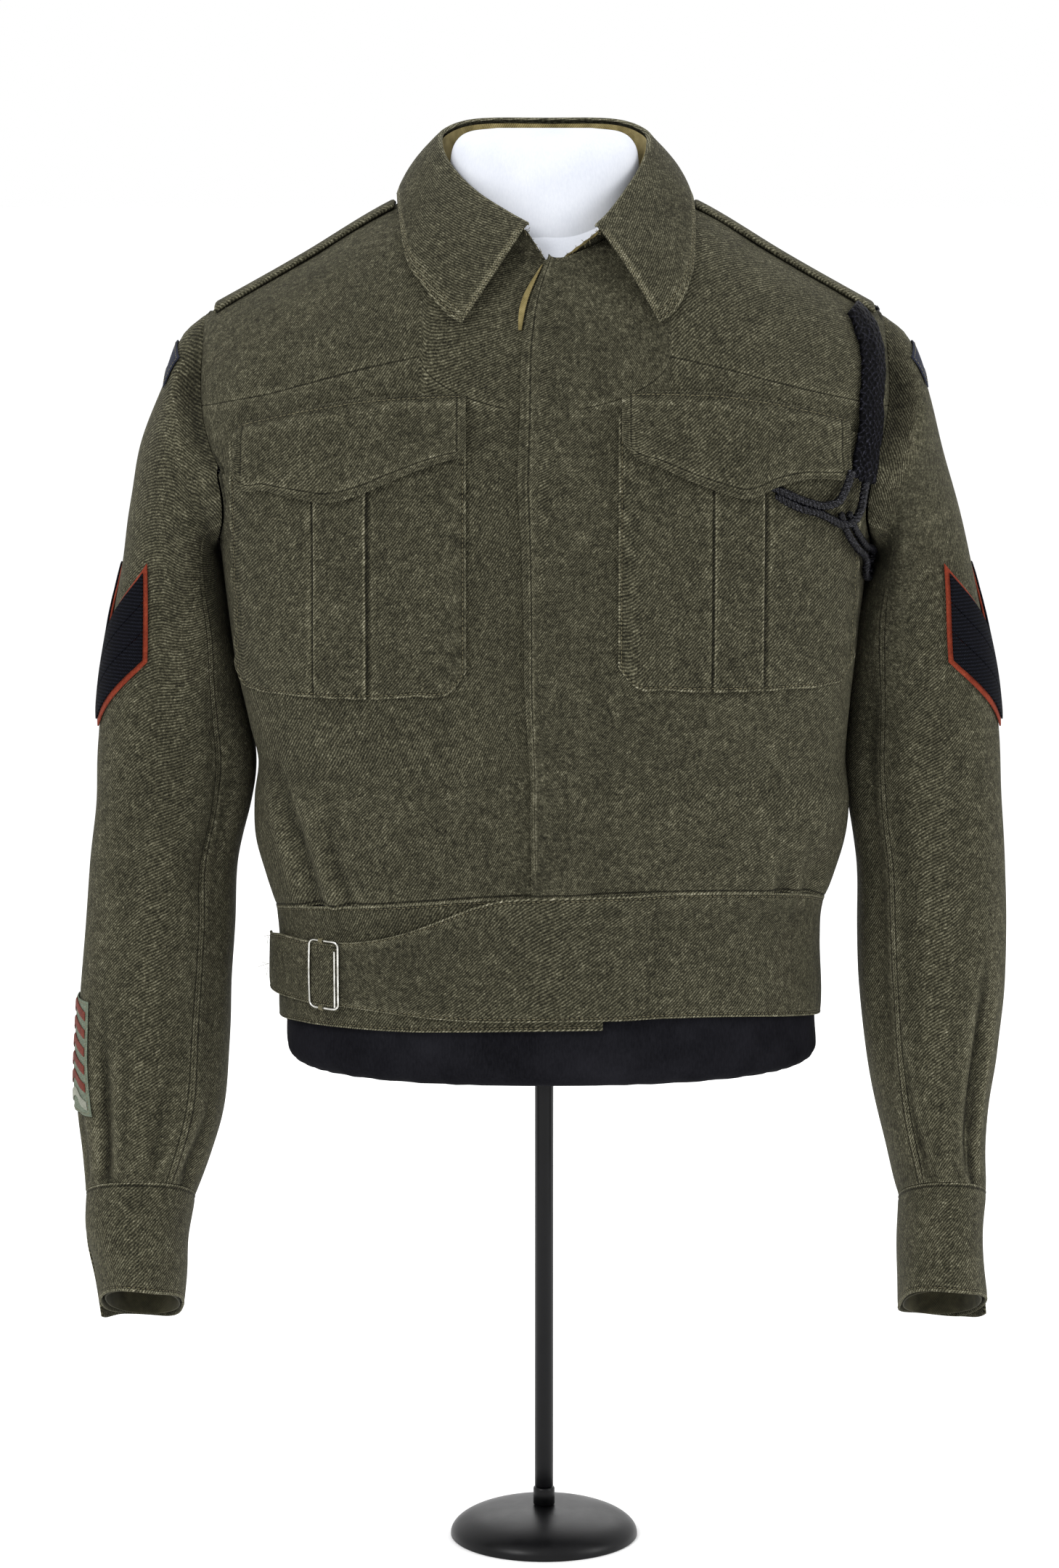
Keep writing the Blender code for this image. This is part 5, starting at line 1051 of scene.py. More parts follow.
def shell(name, place, across, up, thick, skin, nodes, ring=False, pressed=None):
    """A closed shell of cloth with rounded edges. place gives the points and normals of its
    outer face, and across and up are the lines of its net in metres on the flat cloth."""
    a, b = np.meshgrid(across, up)
    points, normals = place(a, b)
    near = np.minimum(b, up[-1] - b)
    if ring:
        a, b, points, normals, near = (part[:, :-1] for part in (a, b, points, normals, near))
    else:
        near = np.minimum(near, np.minimum(a, across[-1] - a))
    half = thick / 2
    rounded = half * (1 - np.sqrt(1 - (1 - np.clip(near / half, 0, 1)) ** 2))
    move = pressed(a, b) if pressed else np.zeros_like(a)
    outer = points + normals * (move - rounded)[..., None]
    inner = points - normals * (thick - rounded)[..., None]
    relief_of = points + normals * move[..., None]
    # Painted highlight on its very edge and its ridges, painted shade in its grooves and in the groove beside
    # the edge
    sharp = bend(relief_of, normals, 0) + bend(relief_of, normals, 1)
    painted_edge_light_and_shade = 0.35 * groove(near, 0.0009) - 0.25 * groove(near - 0.003, 0.0015)
    painted_light_and_shade = np.tanh((sharp - 8) / 260) + painted_edge_light_and_shade * (thick > 0.0014)
    rows, columns = a.shape
    cell, column, row = corners(rows, columns, ring)
    edge = np.zeros((rows, columns), bool)
    edge[[0, -1]] = True
    if not ring:
        edge[:, [0, -1]] = True
    edge = edge.ravel()
    behind = np.where(edge, np.arange(rows * columns), rows * columns + np.cumsum(~edge) - 1)
    vertices = np.concatenate([outer.reshape(-1, 3), inner.reshape(-1, 3)[~edge]])
    uv = np.stack([across[column], up[row]], -1)
    middle = (rows // 2) * (columns if ring else columns - 1) + columns // 2
    p, q, _, s = vertices[cell[middle]]
    facing = np.cross(q - p, s - p) @ (outer - inner)[rows // 2, columns // 2] > 0
    front, back = (cell, behind[cell][:, ::-1]) if facing else (cell[:, ::-1], behind[cell])
    uv_front, uv_back = (uv, uv[:, ::-1]) if facing else (uv[:, ::-1], uv)
    # The inner face gets painted shade
    painted_light_and_shade = np.concatenate([painted_light_and_shade.ravel(), np.full((~edge).sum(), -0.3)])
    made = mesh_object(name, vertices, np.concatenate([front, back]).tolist(),
                       np.concatenate([uv_front, uv_back]), skin, nodes, painted_light_and_shade)
    PIECES[name] = across, up, points, normals, move
    wide = np.linalg.norm(np.diff(points, axis=1), axis=2).sum(axis=1).max()
    high = np.linalg.norm(np.diff(points, axis=0), axis=2).sum(axis=0).max()
    if ring:
        wide += np.linalg.norm(points[:, 0] - points[:, -1], axis=1).max()
    p, q, r, s = (vertices[cell[:, k]] for k in range(4))
    flat = float(wide) * 1.0005, float(high) * 1.0005
    if min(flat) < LEAST_SHEET:
        return made
    return made


def at_piece(name, a, b):
    """Points, normals and pressed depth of a piece at places on its flat cloth."""
    across, up, points, normals, move = PIECES[name]
    i = np.clip(np.searchsorted(across, a) - 1, 0, points.shape[1] - 2)
    j = np.clip(np.searchsorted(up, b) - 1, 0, points.shape[0] - 2)
    s = ((a - across[i]) / (across[i + 1] - across[i]))[:, None]
    t = ((b - up[j]) / (up[j + 1] - up[j]))[:, None]
    both = np.concatenate([points, normals, move[..., None]], axis=-1)
    value = ((both[j, i] * (1 - s) + both[j, i + 1] * s) * (1 - t)
             + (both[j + 1, i] * (1 - s) + both[j + 1, i + 1] * s) * t)
    return value[:, :3], unit(value[:, 3:6]), value[:, 6]


SEWING = []


def sew(piece, stops, pitch=STITCH_PITCH, length=STITCH_LENGTH):
    """A row of machine stitches on a piece, through places on its flat cloth."""
    stops = np.array(stops, float)
    run = run_along(stops)
    fine = np.linspace(0, run[-1], max(3, round(run[-1] / 0.001)))
    points, normals, move = at_piece(piece, np.interp(fine, run, stops[:, 0]),
                                     np.interp(fine, run, stops[:, 1]))
    points = points + normals * (move + STITCH_RADIUS * 0.5)[:, None]
    run = run_along(points)
    starts = np.arange(pitch / 2, run[-1] - length, pitch)
    for start in starts:
        ends = np.array([[np.interp(x, run, points[:, k]) for k in range(3)]
                         for x in (start, start + length)])
        up = np.array([np.interp(start, run, normals[:, k]) for k in range(3)])
        SEWING.append((ends[0], ends[1], up))


def stitches(name, skin):
    """All the stitches as one mesh of small tapered beads of thread."""
    around = np.radians(np.arange(0, 360, 72))[:, None]
    share, swell = (0.0, 0.25, 0.75, 1.0), (0.35, 1.0, 1.0, 0.35)
    bead, _, _ = corners(len(share), len(around), True)
    parts = []
    for start, end, up in SEWING:
        along = unit(end - start)
        side = unit(np.cross(along, up))
        up = np.cross(side, along)
        rings = [start + (end - start) * at + STITCH_RADIUS * size * (
            np.cos(around) * side + np.sin(around) * up) for at, size in zip(share, swell)]
        parts.append((np.concatenate(rings), bead))
    joined(name, parts, skin)


def round_tube(route, radius, sides, closed=False):
    """Points and faces of a round wire, cord or thread along a route."""
    route = np.asarray(route, float)
    rows = len(route)
    side, up = frames(route, closed)
    around = np.linspace(0, 2 * math.pi, sides, endpoint=False)[:, None]
    size = np.broadcast_to(radius, rows)[:, None, None]
    rings = route[:, None] + size * (np.cos(around) * side[:, None] + np.sin(around) * up[:, None])
    return rings.reshape(-1, 3), corners(rows + closed, sides, True)[0] % (rows * sides)


def joined(name, parts, skin, nodes=()):
    """One piece made of several sets of points and faces."""
    points, cells, count = [], [], 0
    for some, faces in parts:
        points.append(some)
        cells.append(faces + count)
        count += len(some)
    return mesh_object(name, np.concatenate(points), np.concatenate(cells).tolist(), None, skin,
                       nodes)


def frames(route, closed=False):
    """A side and an upward direction carried along a route without twist."""
    ahead = np.roll(route, -1, 0) - np.roll(route, 1, 0) if closed else np.gradient(route, axis=0)
    ahead = unit(ahead)
    side = unit(np.cross(ahead[0], (0.31, 0.2, 0.93)))
    sides = []
    for forward in ahead:
        side = unit(side - forward * (side @ forward))
        sides.append(side)
    sides = np.array(sides)
    return sides, np.cross(ahead, sides)


def twisted_cord(join, stops, radius, lay=0.0085, strands=3, step=0.0009):
    """A cord laid up from strands of yarn along a smooth route."""
    stops = np.asarray(stops, float)
    length = np.linalg.norm(np.diff(stops, axis=0), axis=1).sum()
    route = smooth_route(stops, max(8, round(length / step)))
    side, up = frames(route)
    run = run_along(route)
    for strand in range(strands):
        turn = 2 * math.pi * (run / lay + strand / strands)
        middle = route + 0.50 * radius * (np.cos(turn)[:, None] * side + np.sin(turn)[:, None] * up)
        ends = np.minimum(run, run[-1] - run) / 0.0008
        join.append(round_tube(middle, 0.53 * radius * np.clip(0.3 + ends, 0.3, 1), 6))


# Cloth surface in detail

# Columns: waves along x, y and z, start, height
RIPPLES = ((31.0, 17.0, 9.0, 0.3, 0.00022), (12.0, -23.0, 33.0, 1.7, 0.00026),
           (-57.0, 9.0, 41.0, 2.9, 0.00016), (75.0, 30.0, -62.0, 4.1, 0.00012),
           (22.0, 50.0, 88.0, 0.9, 0.00012), (-120.0, 40.0, 70.0, 5.2, 0.00007))


def ripple(points):
    """Faint unevenness of cloth that has been worn and pressed."""
    total = np.zeros(points.shape[:-1])
    for kx, ky, kz, start, height in RIPPLES:
        total += height * np.sin(points @ np.array([kx, ky, kz]) + start
                                 + 1.3 * np.sin(points @ np.array([kz, kx, ky]) * 0.6))
    return total


def soft_line(across, up, row):
    """A trough or ridge along a line, with its own width on each side and faded ends."""
    x0, z0, x1, z1, left, right, depth = row
    length = math.hypot(x1 - x0, z1 - z0)
    ax, az = (x1 - x0) / length, (z1 - z0) / length
    along = ((across - x0) * ax + (up - z0) * az) / length
    aside = (across - x0) * az - (up - z0) * ax
    width = np.where(aside > 0, right, left)
    fade = ease(along, -0.12, 0.25) * (1 - ease(along, 0.7, 1.12))
    return depth * groove(aside, width) * fade


def detail(points):
    """All small creases of the body cloth at points of its surface."""
    x, y, z = points[..., 0], points[..., 1], points[..., 2]
    total = ripple(points)
    for row in CREASES:
        total = total + np.where(np.sign(y) == row[7], soft_line(x, z, row[:7]), 0)
    return total


def body_place(turn, level, out):
    """Outer face of the body cloth with folds and small creases, and its normals."""
    turn, level = np.broadcast_arrays(turn, level)
    points, normals = body(turn, level), body_normal(turn, level)
    move = fold_height(points) + detail(points) + out
    return points + normals * move[..., None], normals


def over_place(x, y, out):
    """Point and normal at a distance out above the shoulder, from its x and y."""
    x, y = np.broadcast_arrays(np.asarray(x, float), np.asarray(y, float))
    _, _, front, back, square = SECTIONS[-1, 1:]
    share = np.clip(np.abs(x) / TIP_SHARE / SECTIONS[-1, 1], 0, 1)
    turn = np.sign(x) * np.arcsin(share ** (square / 2))
    depth = np.where(y < 0, front, back) * np.cos(turn) ** (2 / square)
    over = np.where(y < 0, OVER_FRONT, OVER_BACK)
    rise = np.arccos(np.clip(np.abs(y) / depth, 0, 1) ** (over / 2))
    level = CHEST + rise / (math.pi / 2)
    turn = np.where(y < 0, turn, np.sign(x) * math.pi - turn)
    normals = body_normal(turn, level)
    return body(turn, level) + normals * np.asarray(out)[..., None], normals


# Fronts and back

def ring_run(first, last):
    """Arc length round the chest from one turn to another."""
    turns = np.linspace(first, last, 500)
    ring = body(turns, np.full(500, CHEST))
    return turns, run_along(ring)


def panel_level(nominal, b, back):
    """Level of a place b metres up a panel, from the waist seam over the shoulder."""
    low_turn = panel_turns(np.abs(nominal), ARMHOLE[0, 0])
    turns = np.copysign(math.pi - low_turn if back else low_turn, nominal)
    x_top = SECTIONS[-1, 1] * power(np.sin(nominal), SECTIONS[-1, 5]) * TIP_SHARE
    seam = waist(turns, 1) - 0.0008
    neck = neck_rise(np.clip(x_top, -NECK_HALF, NECK_HALF), back)
    rise = np.where(np.abs(x_top) < NECK_HALF, neck, 1.0)
    low, high = np.clip(b / PANEL_LOW, 0, 1), np.clip((b - PANEL_LOW) / PANEL_HIGH, 0, 1)
    return np.where(b <= PANEL_LOW, seam + (CHEST - seam) * low, CHEST + rise * high)


def neck_marks(turns, run):
    """Columns that fall close together where the neck's curve is steep."""
    half, square = SECTIONS[-1, 1], SECTIONS[-1, 5]
    wanted = np.array([0.060, 0.066, 0.070, 0.0725, 0.0740, 0.0747, 0.0750, 0.0756, 0.0768])
    at = np.arcsin((wanted / half) ** (square / 2))
    return np.concatenate([np.interp(at, turns, run), np.interp(-at[::-1], turns, run)])


def front(side, serge):
    """A front panel; the left one laps over the right at the fly."""
    name = f"front_{hand(side)}"
    half, square = SECTIONS[-1, 1], SECTIONS[-1, 5]
    start = FLY[:, 1].mean() if side > 0 else -UNDERLAP
    first = -np.arcsin((abs(start) / half) ** (square / 2))
    turns, run = ring_run(first, np.radians(ARMHOLE_TURN))

    def place(a, b):
        nominal = np.interp(a, run, turns)
        level = panel_level(nominal if side > 0 else -nominal, b, False)
        turn = panel_turns(nominal, level)
        if side > 0:
            points = body(turn, level)
            x, z = points[..., 0], points[..., 2]
            share = np.clip((x - start) / (FLY_REACH - start), 0, 1)
            moved = x + (through(FLY[:, 0], FLY[:, 1], z) - start) * (1 - share) ** 2
            turn = np.where(share < 1, spot(moved, z)[0], turn)
        turn = turn * side
        out = lap(body(turn, level)[..., 0]) if side > 0 else np.zeros_like(level)
        return body_place(turn, level, out)

    def pressed(a, b):
        seam = -0.0006 * groove(b - PANEL_LINE, 0.0010)
        yoke = -0.0005 * groove(b - YOKE_AT, 0.0011) * ease(a, 0.03, 0.05)
        edge = -0.0003 * groove(a - 0.006, 0.0008) * (side > 0) * (b > 0.02)
        return seam + yoke + edge

    marks = neck_marks(turns, run)
    across = lines(run[-1], 0.0034, rim(SERGE, 0.006), rim(SERGE), marks[marks > 0.02])
    up = lines(PANEL_LOW + PANEL_HIGH, 0.0036, rim(SERGE, PANEL_LINE), rim(SERGE),
               (YOKE_AT - 0.0009, YOKE_AT, YOKE_AT + 0.0009, PANEL_LOW))
    shell(name, place, across, up, SERGE, serge, (name,), pressed=pressed)


def back(serge):
    """The back panel, with its pressed middle seam."""
    turns, run = ring_run(-np.radians(ARMHOLE_TURN), np.radians(ARMHOLE_TURN))

    def place(a, b):
        nominal = np.interp(a, run, turns)
        level = panel_level(nominal, b, True)
        size = panel_turns(np.abs(nominal), level)
        turn = np.where(nominal >= 0, math.pi - size, size - math.pi)
        return body_place(turn, level, 0.0)

    def pressed(a, b):
        middle = -0.0005 * groove(a - run[-1] / 2, 0.0009)
        return middle - 0.0006 * groove(b - PANEL_LINE, 0.0010)

    half = run[-1] / 2
    across = lines(run[-1], 0.0036, rim(SERGE), rim(SERGE),
                   np.concatenate([neck_marks(turns, run), [half - 0.0009, half, half + 0.0009]]))
    up = lines(PANEL_LOW + PANEL_HIGH, 0.0038, rim(SERGE, PANEL_LINE), rim(SERGE), (PANEL_LOW,))
    shell("back", place, across, up, SERGE, serge, ("back",), pressed=pressed)


def fly(khaki):
    """The strip of khaki drill that shows beside the fly."""
    def place(a, b):
        z = FLY_BOTTOM + b
        edge = through(FLY[:, 0], FLY[:, 1], z)
        peek = 0.0006 + 0.0034 * np.sin((0.15 + 0.85 * b / FLY_HIGH) * math.pi)
        x = edge - FLY_GAP - peek * (1 - a / FLY_WIDE)
        turn, level = spot(x, z)
        return body_place(turn, level, LAYER_GAP + DRILL)

    shell("fly_lining", place, lines(FLY_WIDE, 0.0008, rim(DRILL), rim(DRILL)),
          lines(FLY_HIGH, 0.002, rim(DRILL), rim(DRILL)), DRILL, khaki,
          ("fly_lining",))


# Pockets

def table_place(table, high, out):
    """Places on the front from a table of distances, lower and upper edges."""
    def place(a, b):
        x = table[0, 0] + a
        low, top = np.moveaxis(through(table[:, 0], table[:, 1:], x), -1, 0)
        turn, level = spot(x, low + (top - low) * b / high)
        return body_place(turn, level, out(x, b))
    return place


def pocket(side, bag, flap, pleat, serge):
    """A chest pocket: its bag with a box pleat, and its flap."""
    name = hand(side)

    def raised(x, b):
        up = ease(x, pleat[0] - 0.0004, pleat[0] + 0.0004) - ease(
            x, pleat[1] - 0.0004, pleat[1] + 0.0004)
        dent = sum(groove(x - at, 0.0011) for at in (
            pleat[0] - 0.0010, pleat[1] + 0.0010))
        return BAG_OUT + 0.0012 * up - 0.0008 * dent

    high = BAG_HIGH
    wide = bag[-1, 0] - bag[0, 0]

    def pucker(a, b):
        near = np.minimum(np.minimum(a, wide - a), b)
        pull = 0.0007 * np.sin((a + b) * 340 + 2 * np.sin(a * 90 + b * 60)) * np.exp(-near / 0.009)
        sewn = groove(a - BAG_LINE, 0.0008) + groove(wide - a - BAG_LINE, 0.0008)
        return pull - 0.0004 * (sewn + groove(b - BAG_LINE, 0.0008))

    folds = [p - bag[0, 0] + shift for p in pleat for shift in (-0.002, -0.001, -0.0004, 0, 0.0004, 0.001)]
    shell(f"pocket_bag_{name}", table_place(bag, high, raised),
          lines(wide, 0.0030, rim(BAG_THICK, BAG_LINE), rim(BAG_THICK, BAG_LINE), folds),
          lines(high, 0.0032, rim(BAG_THICK, BAG_LINE), rim(BAG_THICK)), BAG_THICK, serge,
          (f"pocket_bag_{name}",), pressed=pucker)
    sew(f"pocket_bag_{name}", ((BAG_LINE, high), (BAG_LINE, BAG_LINE), (wide - BAG_LINE, BAG_LINE),
                               (wide - BAG_LINE, high)))
    tall = FLAP_HIGH
    broad = flap[-1, 0] - flap[0, 0]

    def over(x, b):
        ride = 0.0014 * ease(x, pleat[0] - 0.024, pleat[0] - 0.004) * (
            1 - ease(x, pleat[1] + 0.004, pleat[1] + 0.024))
        droop = 0.0012 * ease(tall - b, 0.028, 0.052) * (1 + 0.5 * np.sin(x * 150))
        return FLAP_IN + FLAP_THICK + ride + droop - 0.0022 * ease(b, tall - 0.010, tall)

    def edging(a, b):
        near = np.minimum(np.minimum(a, broad - a), b)
        return -0.0003 * groove(near - FLAP_LINE, 0.0009)

    shell(f"pocket_flap_{name}", table_place(flap, tall, over),
          lines(broad, 0.0030, rim(FLAP_THICK, FLAP_LINE), rim(FLAP_THICK, FLAP_LINE)),
          lines(tall, 0.0028, rim(FLAP_THICK, FLAP_LINE), rim(FLAP_THICK)), FLAP_THICK, serge,
          (f"pocket_flap_{name}",), pressed=edging)
    sew(f"pocket_flap_{name}", ((0.0015, tall - 0.0025), (broad - 0.0015, tall - 0.0025)))


# Collar

def collar_lines(at):
    """Neck seam, roll line and leaf edge of the collar at places along it."""
    rows = np.arange(len(COLLAR), dtype=float)
    table = through(rows, COLLAR, at)
    seam = neck_seam(np.radians(table[:, 0]))
    roll = table[:, 1:4]
    places = []
    for x, z, side in COLLAR[:, 4:]:
        turn, level = spot(x, min(z, float(shoulder_height(x)) - 0.0005), side > 0)
        places.append(body(turn, level))
    x, y = np.moveaxis(through(rows, np.array(places)[:, :2], at), -1, 0)
    lift = COLLAR_LIFT + COLLAR_RIDGE * (1 - ease(np.abs(y), 0.030, 0.075))
    edge = over_place(x, y, lift)[0]
    seam[:, 2] += np.where(at > (len(COLLAR) - 1) / 2, lap(seam[:, 0]), 0)
    return seam, roll, edge


COLLAR_WIDE, COLLAR_HIGH, COLLAR_FOLD, FOLD_RADIUS = 0.470, 0.072, 0.005, 0.0019


def collar(serge, khaki):
    """The collar: its turned-over fall, its stand, the drill lining and the stand piping."""
    def fall(a, b):
        seam, roll, edge = collar_lines(a[0] / COLLAR_WIDE * (len(COLLAR) - 1))
        away = unit(roll * np.array([1.0, 1.0, 0.0]))
        share = np.clip((b - COLLAR_FOLD) / (COLLAR_HIGH - COLLAR_FOLD), 0, 1)[..., None]
        middle = roll * 0.55 + edge * 0.45 + away * COLLAR_BULGE
        points = (1 - share) ** 2 * roll + 2 * share * (1 - share) * middle + share**2 * edge
        normals = grid_normals(points)
        normals = np.where((normals * away).sum(-1, keepdims=True) < 0, -normals, normals)
        down = unit(middle - roll)
        first = normals[np.argmax(b[:, 0] > COLLAR_FOLD) + 1]
        first = unit(first - down * (first * down).sum(-1, keepdims=True))
        turn = np.radians(-150) * np.clip(1 - b / COLLAR_FOLD, 0, 1)[..., None]
        spin = np.cos(turn) * first + np.sin(turn) * down
        rolled = roll - first * FOLD_RADIUS + spin * FOLD_RADIUS
        points = np.where(share > 0, points, rolled)
        normals = np.where(share > 0, normals, spin)
        waves = ripple(points) * 1.5 + 0.0005 * np.sin(a * 60 + 2) * ease(b, 0.02, 0.06)
        return points + normals * np.where(share[..., 0] > 0.02, waves, 0)[..., None], normals

    def pressed(a, b):
        near = np.minimum(np.minimum(a, COLLAR_WIDE - a), COLLAR_HIGH - b)
        ends = np.where(COLLAR_WIDE - a < COLLAR_HIGH - b, 0.00055, 0.00035)
        return -ends * (groove(near - COLLAR_LINES[0], 0.0007)
                        + groove(near - COLLAR_LINES[1], 0.0008)) * (b > COLLAR_FOLD + 0.004)

    rounds = rim(SERGE, *COLLAR_LINES)
    across = lines(COLLAR_WIDE, 0.0034, rounds, rounds)
    up = lines(COLLAR_HIGH, 0.0030, np.linspace(0.0006, COLLAR_FOLD, 9), rounds)
    shell("collar_fall", fall, across, up, SERGE * 0.9, serge, ("collar_fall",),
          pressed=pressed)
    for near in COLLAR_LINES:
        sew("collar_fall", ((near, 0.010), (near, COLLAR_HIGH - near),
                            (COLLAR_WIDE - near, COLLAR_HIGH - near), (COLLAR_WIDE - near, 0.010)))

    high = STAND_HIGH
    piping = []
    for name, offset, thick, first, last, trim, cloth, slot in (
            ("collar_stand", 0.0, STAND_THICK, 0.0, 1.0, 0.0, serge, "wool_serge"),
            ("collar_lining", STAND_THICK + 0.0009, DRILL, 0.08, 1.045, 0.016, khaki, "khaki_drill")):
        def stand(a, b, offset=offset, first=first, last=last, trim=trim):
            at = trim + a[0] * (COLLAR_WIDE - 2 * trim) / COLLAR_WIDE
            seam, roll, _ = collar_lines(at / COLLAR_WIDE * (len(COLLAR) - 1))
            away = unit(roll * np.array([1.0, 1.0, 0.0]))
            tucked = ease(at, 0.395, 0.435)[:, None]
            foot = (seam - np.array([0.0, 0.0, 1.0]) * (0.0012 + 0.0034 * tucked)
                    - away * (0.0004 + 0.0022 * tucked))
            head = roll - np.array([0.0, 0.0, STAND_HEAD])
            share = (first + (last - first) * b / high)[..., None]
            points = foot + (head - foot) * share - away * offset
            return points, np.broadcast_to(away, points.shape)

        shell(name, stand, lines(COLLAR_WIDE, 0.004, rim(thick), rim(thick)),
              lines(high, 0.003, rim(thick), rim(thick)), thick, cloth, (name,))
    for shift in (0.0, 0.0011):
        b = np.linspace(0.003, high - 0.0005, 30)
        points, normals, _ = at_piece("collar_stand", np.full(30, COLLAR_WIDE - 0.0004), b)
        wander = 0.00025 * np.sin(b * 900 + shift * 2000)
        route = points + normals * (0.0012 - shift) + np.array([0, 0, 1.0]) * wander[:, None]
        piping.append(round_tube(route, PIPING_RADIUS, 8))
    joined("stand_piping", piping, khaki)


def shoulder_strap(side, serge):
    """A doubled strap on the shoulder, sewn near both edges."""
    name = f"shoulder_strap_{hand(side)}"
    wide, high = STRAP_TO - STRAP_FROM, 2 * STRAP_HALF

    def place(a, b):
        crown = 0.0005 * np.cos((b / high - 0.5) * math.pi)
        return over_place(side * (STRAP_FROM + a), b - STRAP_HALF, LAYER_GAP + STRAP_THICK + crown)

    def pressed(a, b):
        near = np.minimum(b, high - b)
        return -0.0006 * groove(near - STRAP_LINE, 0.0009)

    shell(name, place, lines(wide, 0.003, rim(STRAP_THICK), rim(STRAP_THICK)),
          lines(high, 0.0028, rim(STRAP_THICK, STRAP_LINE), rim(STRAP_THICK, STRAP_LINE)), STRAP_THICK,
          serge, (name,), pressed=pressed)
    for b in (STRAP_LINE, high - STRAP_LINE):
        sew(name, ((0.002, b), (wide - 0.002, b)))


# Sleeves and cuffs

def sleeve_detail(side, tau, ring, points):
    """Small creases of a sleeve: turns round in degrees, rings along it. Under the pressed
    front crease the cloth falls back towards the body."""
    total = ripple(points)
    depth, at = UNDER_FALL[side]
    turned_under = degrees_from(tau, at)
    total = total - depth * groove(turned_under, 24) * ease(ring, 4.6, 7.2) * (
        1 - ease(ring, 12, 15))
    inner = degrees_from(tau, INNER_LINE)
    total = total + 0.0022 * groove(inner, 32) * ease(ring, 1.0, 2.5) * (
        1 - ease(ring, 8, 9.5))
    if side > 0:
        total = total + 0.0030 * groove(inner, 45) * ease(ring, 0.1, 0.7) * (
            1 - ease(ring, 5.8, 7))
    for row in SLEEVE_CREASES:
        if row[7] != side:
            continue
        turn = degrees_from(tau, row[0]) + row[0]
        scale = 9.0
        total = total + soft_line(turn / scale, ring, (row[0] / scale, row[1], row[2] / scale,
                                                       row[3], row[4], row[5], row[6]))
    return total


def sleeve(side, serge):
    """The top and under panels of a sleeve."""
    name = hand(side)
    rings = np.arange(len(SLEEVE), dtype=float)
    outline = sleeve_skin(side, np.full(len(SLEEVE), 60.0), rings)
    run = run_along(outline)
    high = run[-1]
    for piece, first, last, wide in (
            ("sleeve_top", BACK_SEAM - 0.1, FRONT_SEAM + 0.1, TOP_WIDE),
            ("sleeve_under", FRONT_SEAM - 0.1, 360 + BACK_SEAM + 0.1, UNDER_WIDE)):
        def place(a, b, first=first, last=last, wide=wide):
            tau = first + (last - first) * a / wide
            ring = np.interp(high - b, run, rings)
            points = sleeve_skin(side, tau, ring)
            normals = sleeve_normal(side, tau, ring)
            calm = 1 - ease(ring, 15.6, 16)
            move = sleeve_crease(side, tau, ring) + sleeve_detail(side, tau, ring, points) * calm
            return points + normals * move[..., None], normals

        def pressed(a, b, wide=wide):
            rows = groove(a - SLEEVE_LINE, 0.0009) + groove(wide - a - SLEEVE_LINE, 0.0009)
            return -0.0003 * rows * (1 - ease(b, high - 0.12, high - 0.05))

        shell(f"{piece}_{name}", place,
              lines(wide, 0.0034, rim(SERGE, SLEEVE_LINE), rim(SERGE, SLEEVE_LINE)),
              lines(high, 0.0038, rim(SERGE), rim(SERGE)), SERGE, serge,
              (f"{piece}_{name}",), pressed=pressed)


def armhole_allowances(serge):
    """Seam allowances turned into the body along both armholes."""
    turns = np.linspace(0, 360, 180, endpoint=False)
    parts = []
    for side in (-1, 1):
        route = armhole_ring(side, turns) - np.array([side * ALLOWANCE_IN, 0, 0])
        parts.append(round_tube(route, ALLOWANCE_RADIUS, 8, True))
    joined("armhole_allowances", parts, serge)


def cuff_place(side, tau, ring):
    """Point and normal of a cuff's tube."""
    last = len(CUFF) - 1
    points = tube_point(CUFF, side, tau, ring)
    wide = tube_point(CUFF, side, tau + 0.5, ring) - tube_point(CUFF, side, tau - 0.5, ring)
    down = (tube_point(CUFF, side, tau, np.minimum(ring + 0.05, last))
            - tube_point(CUFF, side, tau, np.maximum(ring - 0.05, 0)))
    return points, unit(np.cross(wide, down)) * side


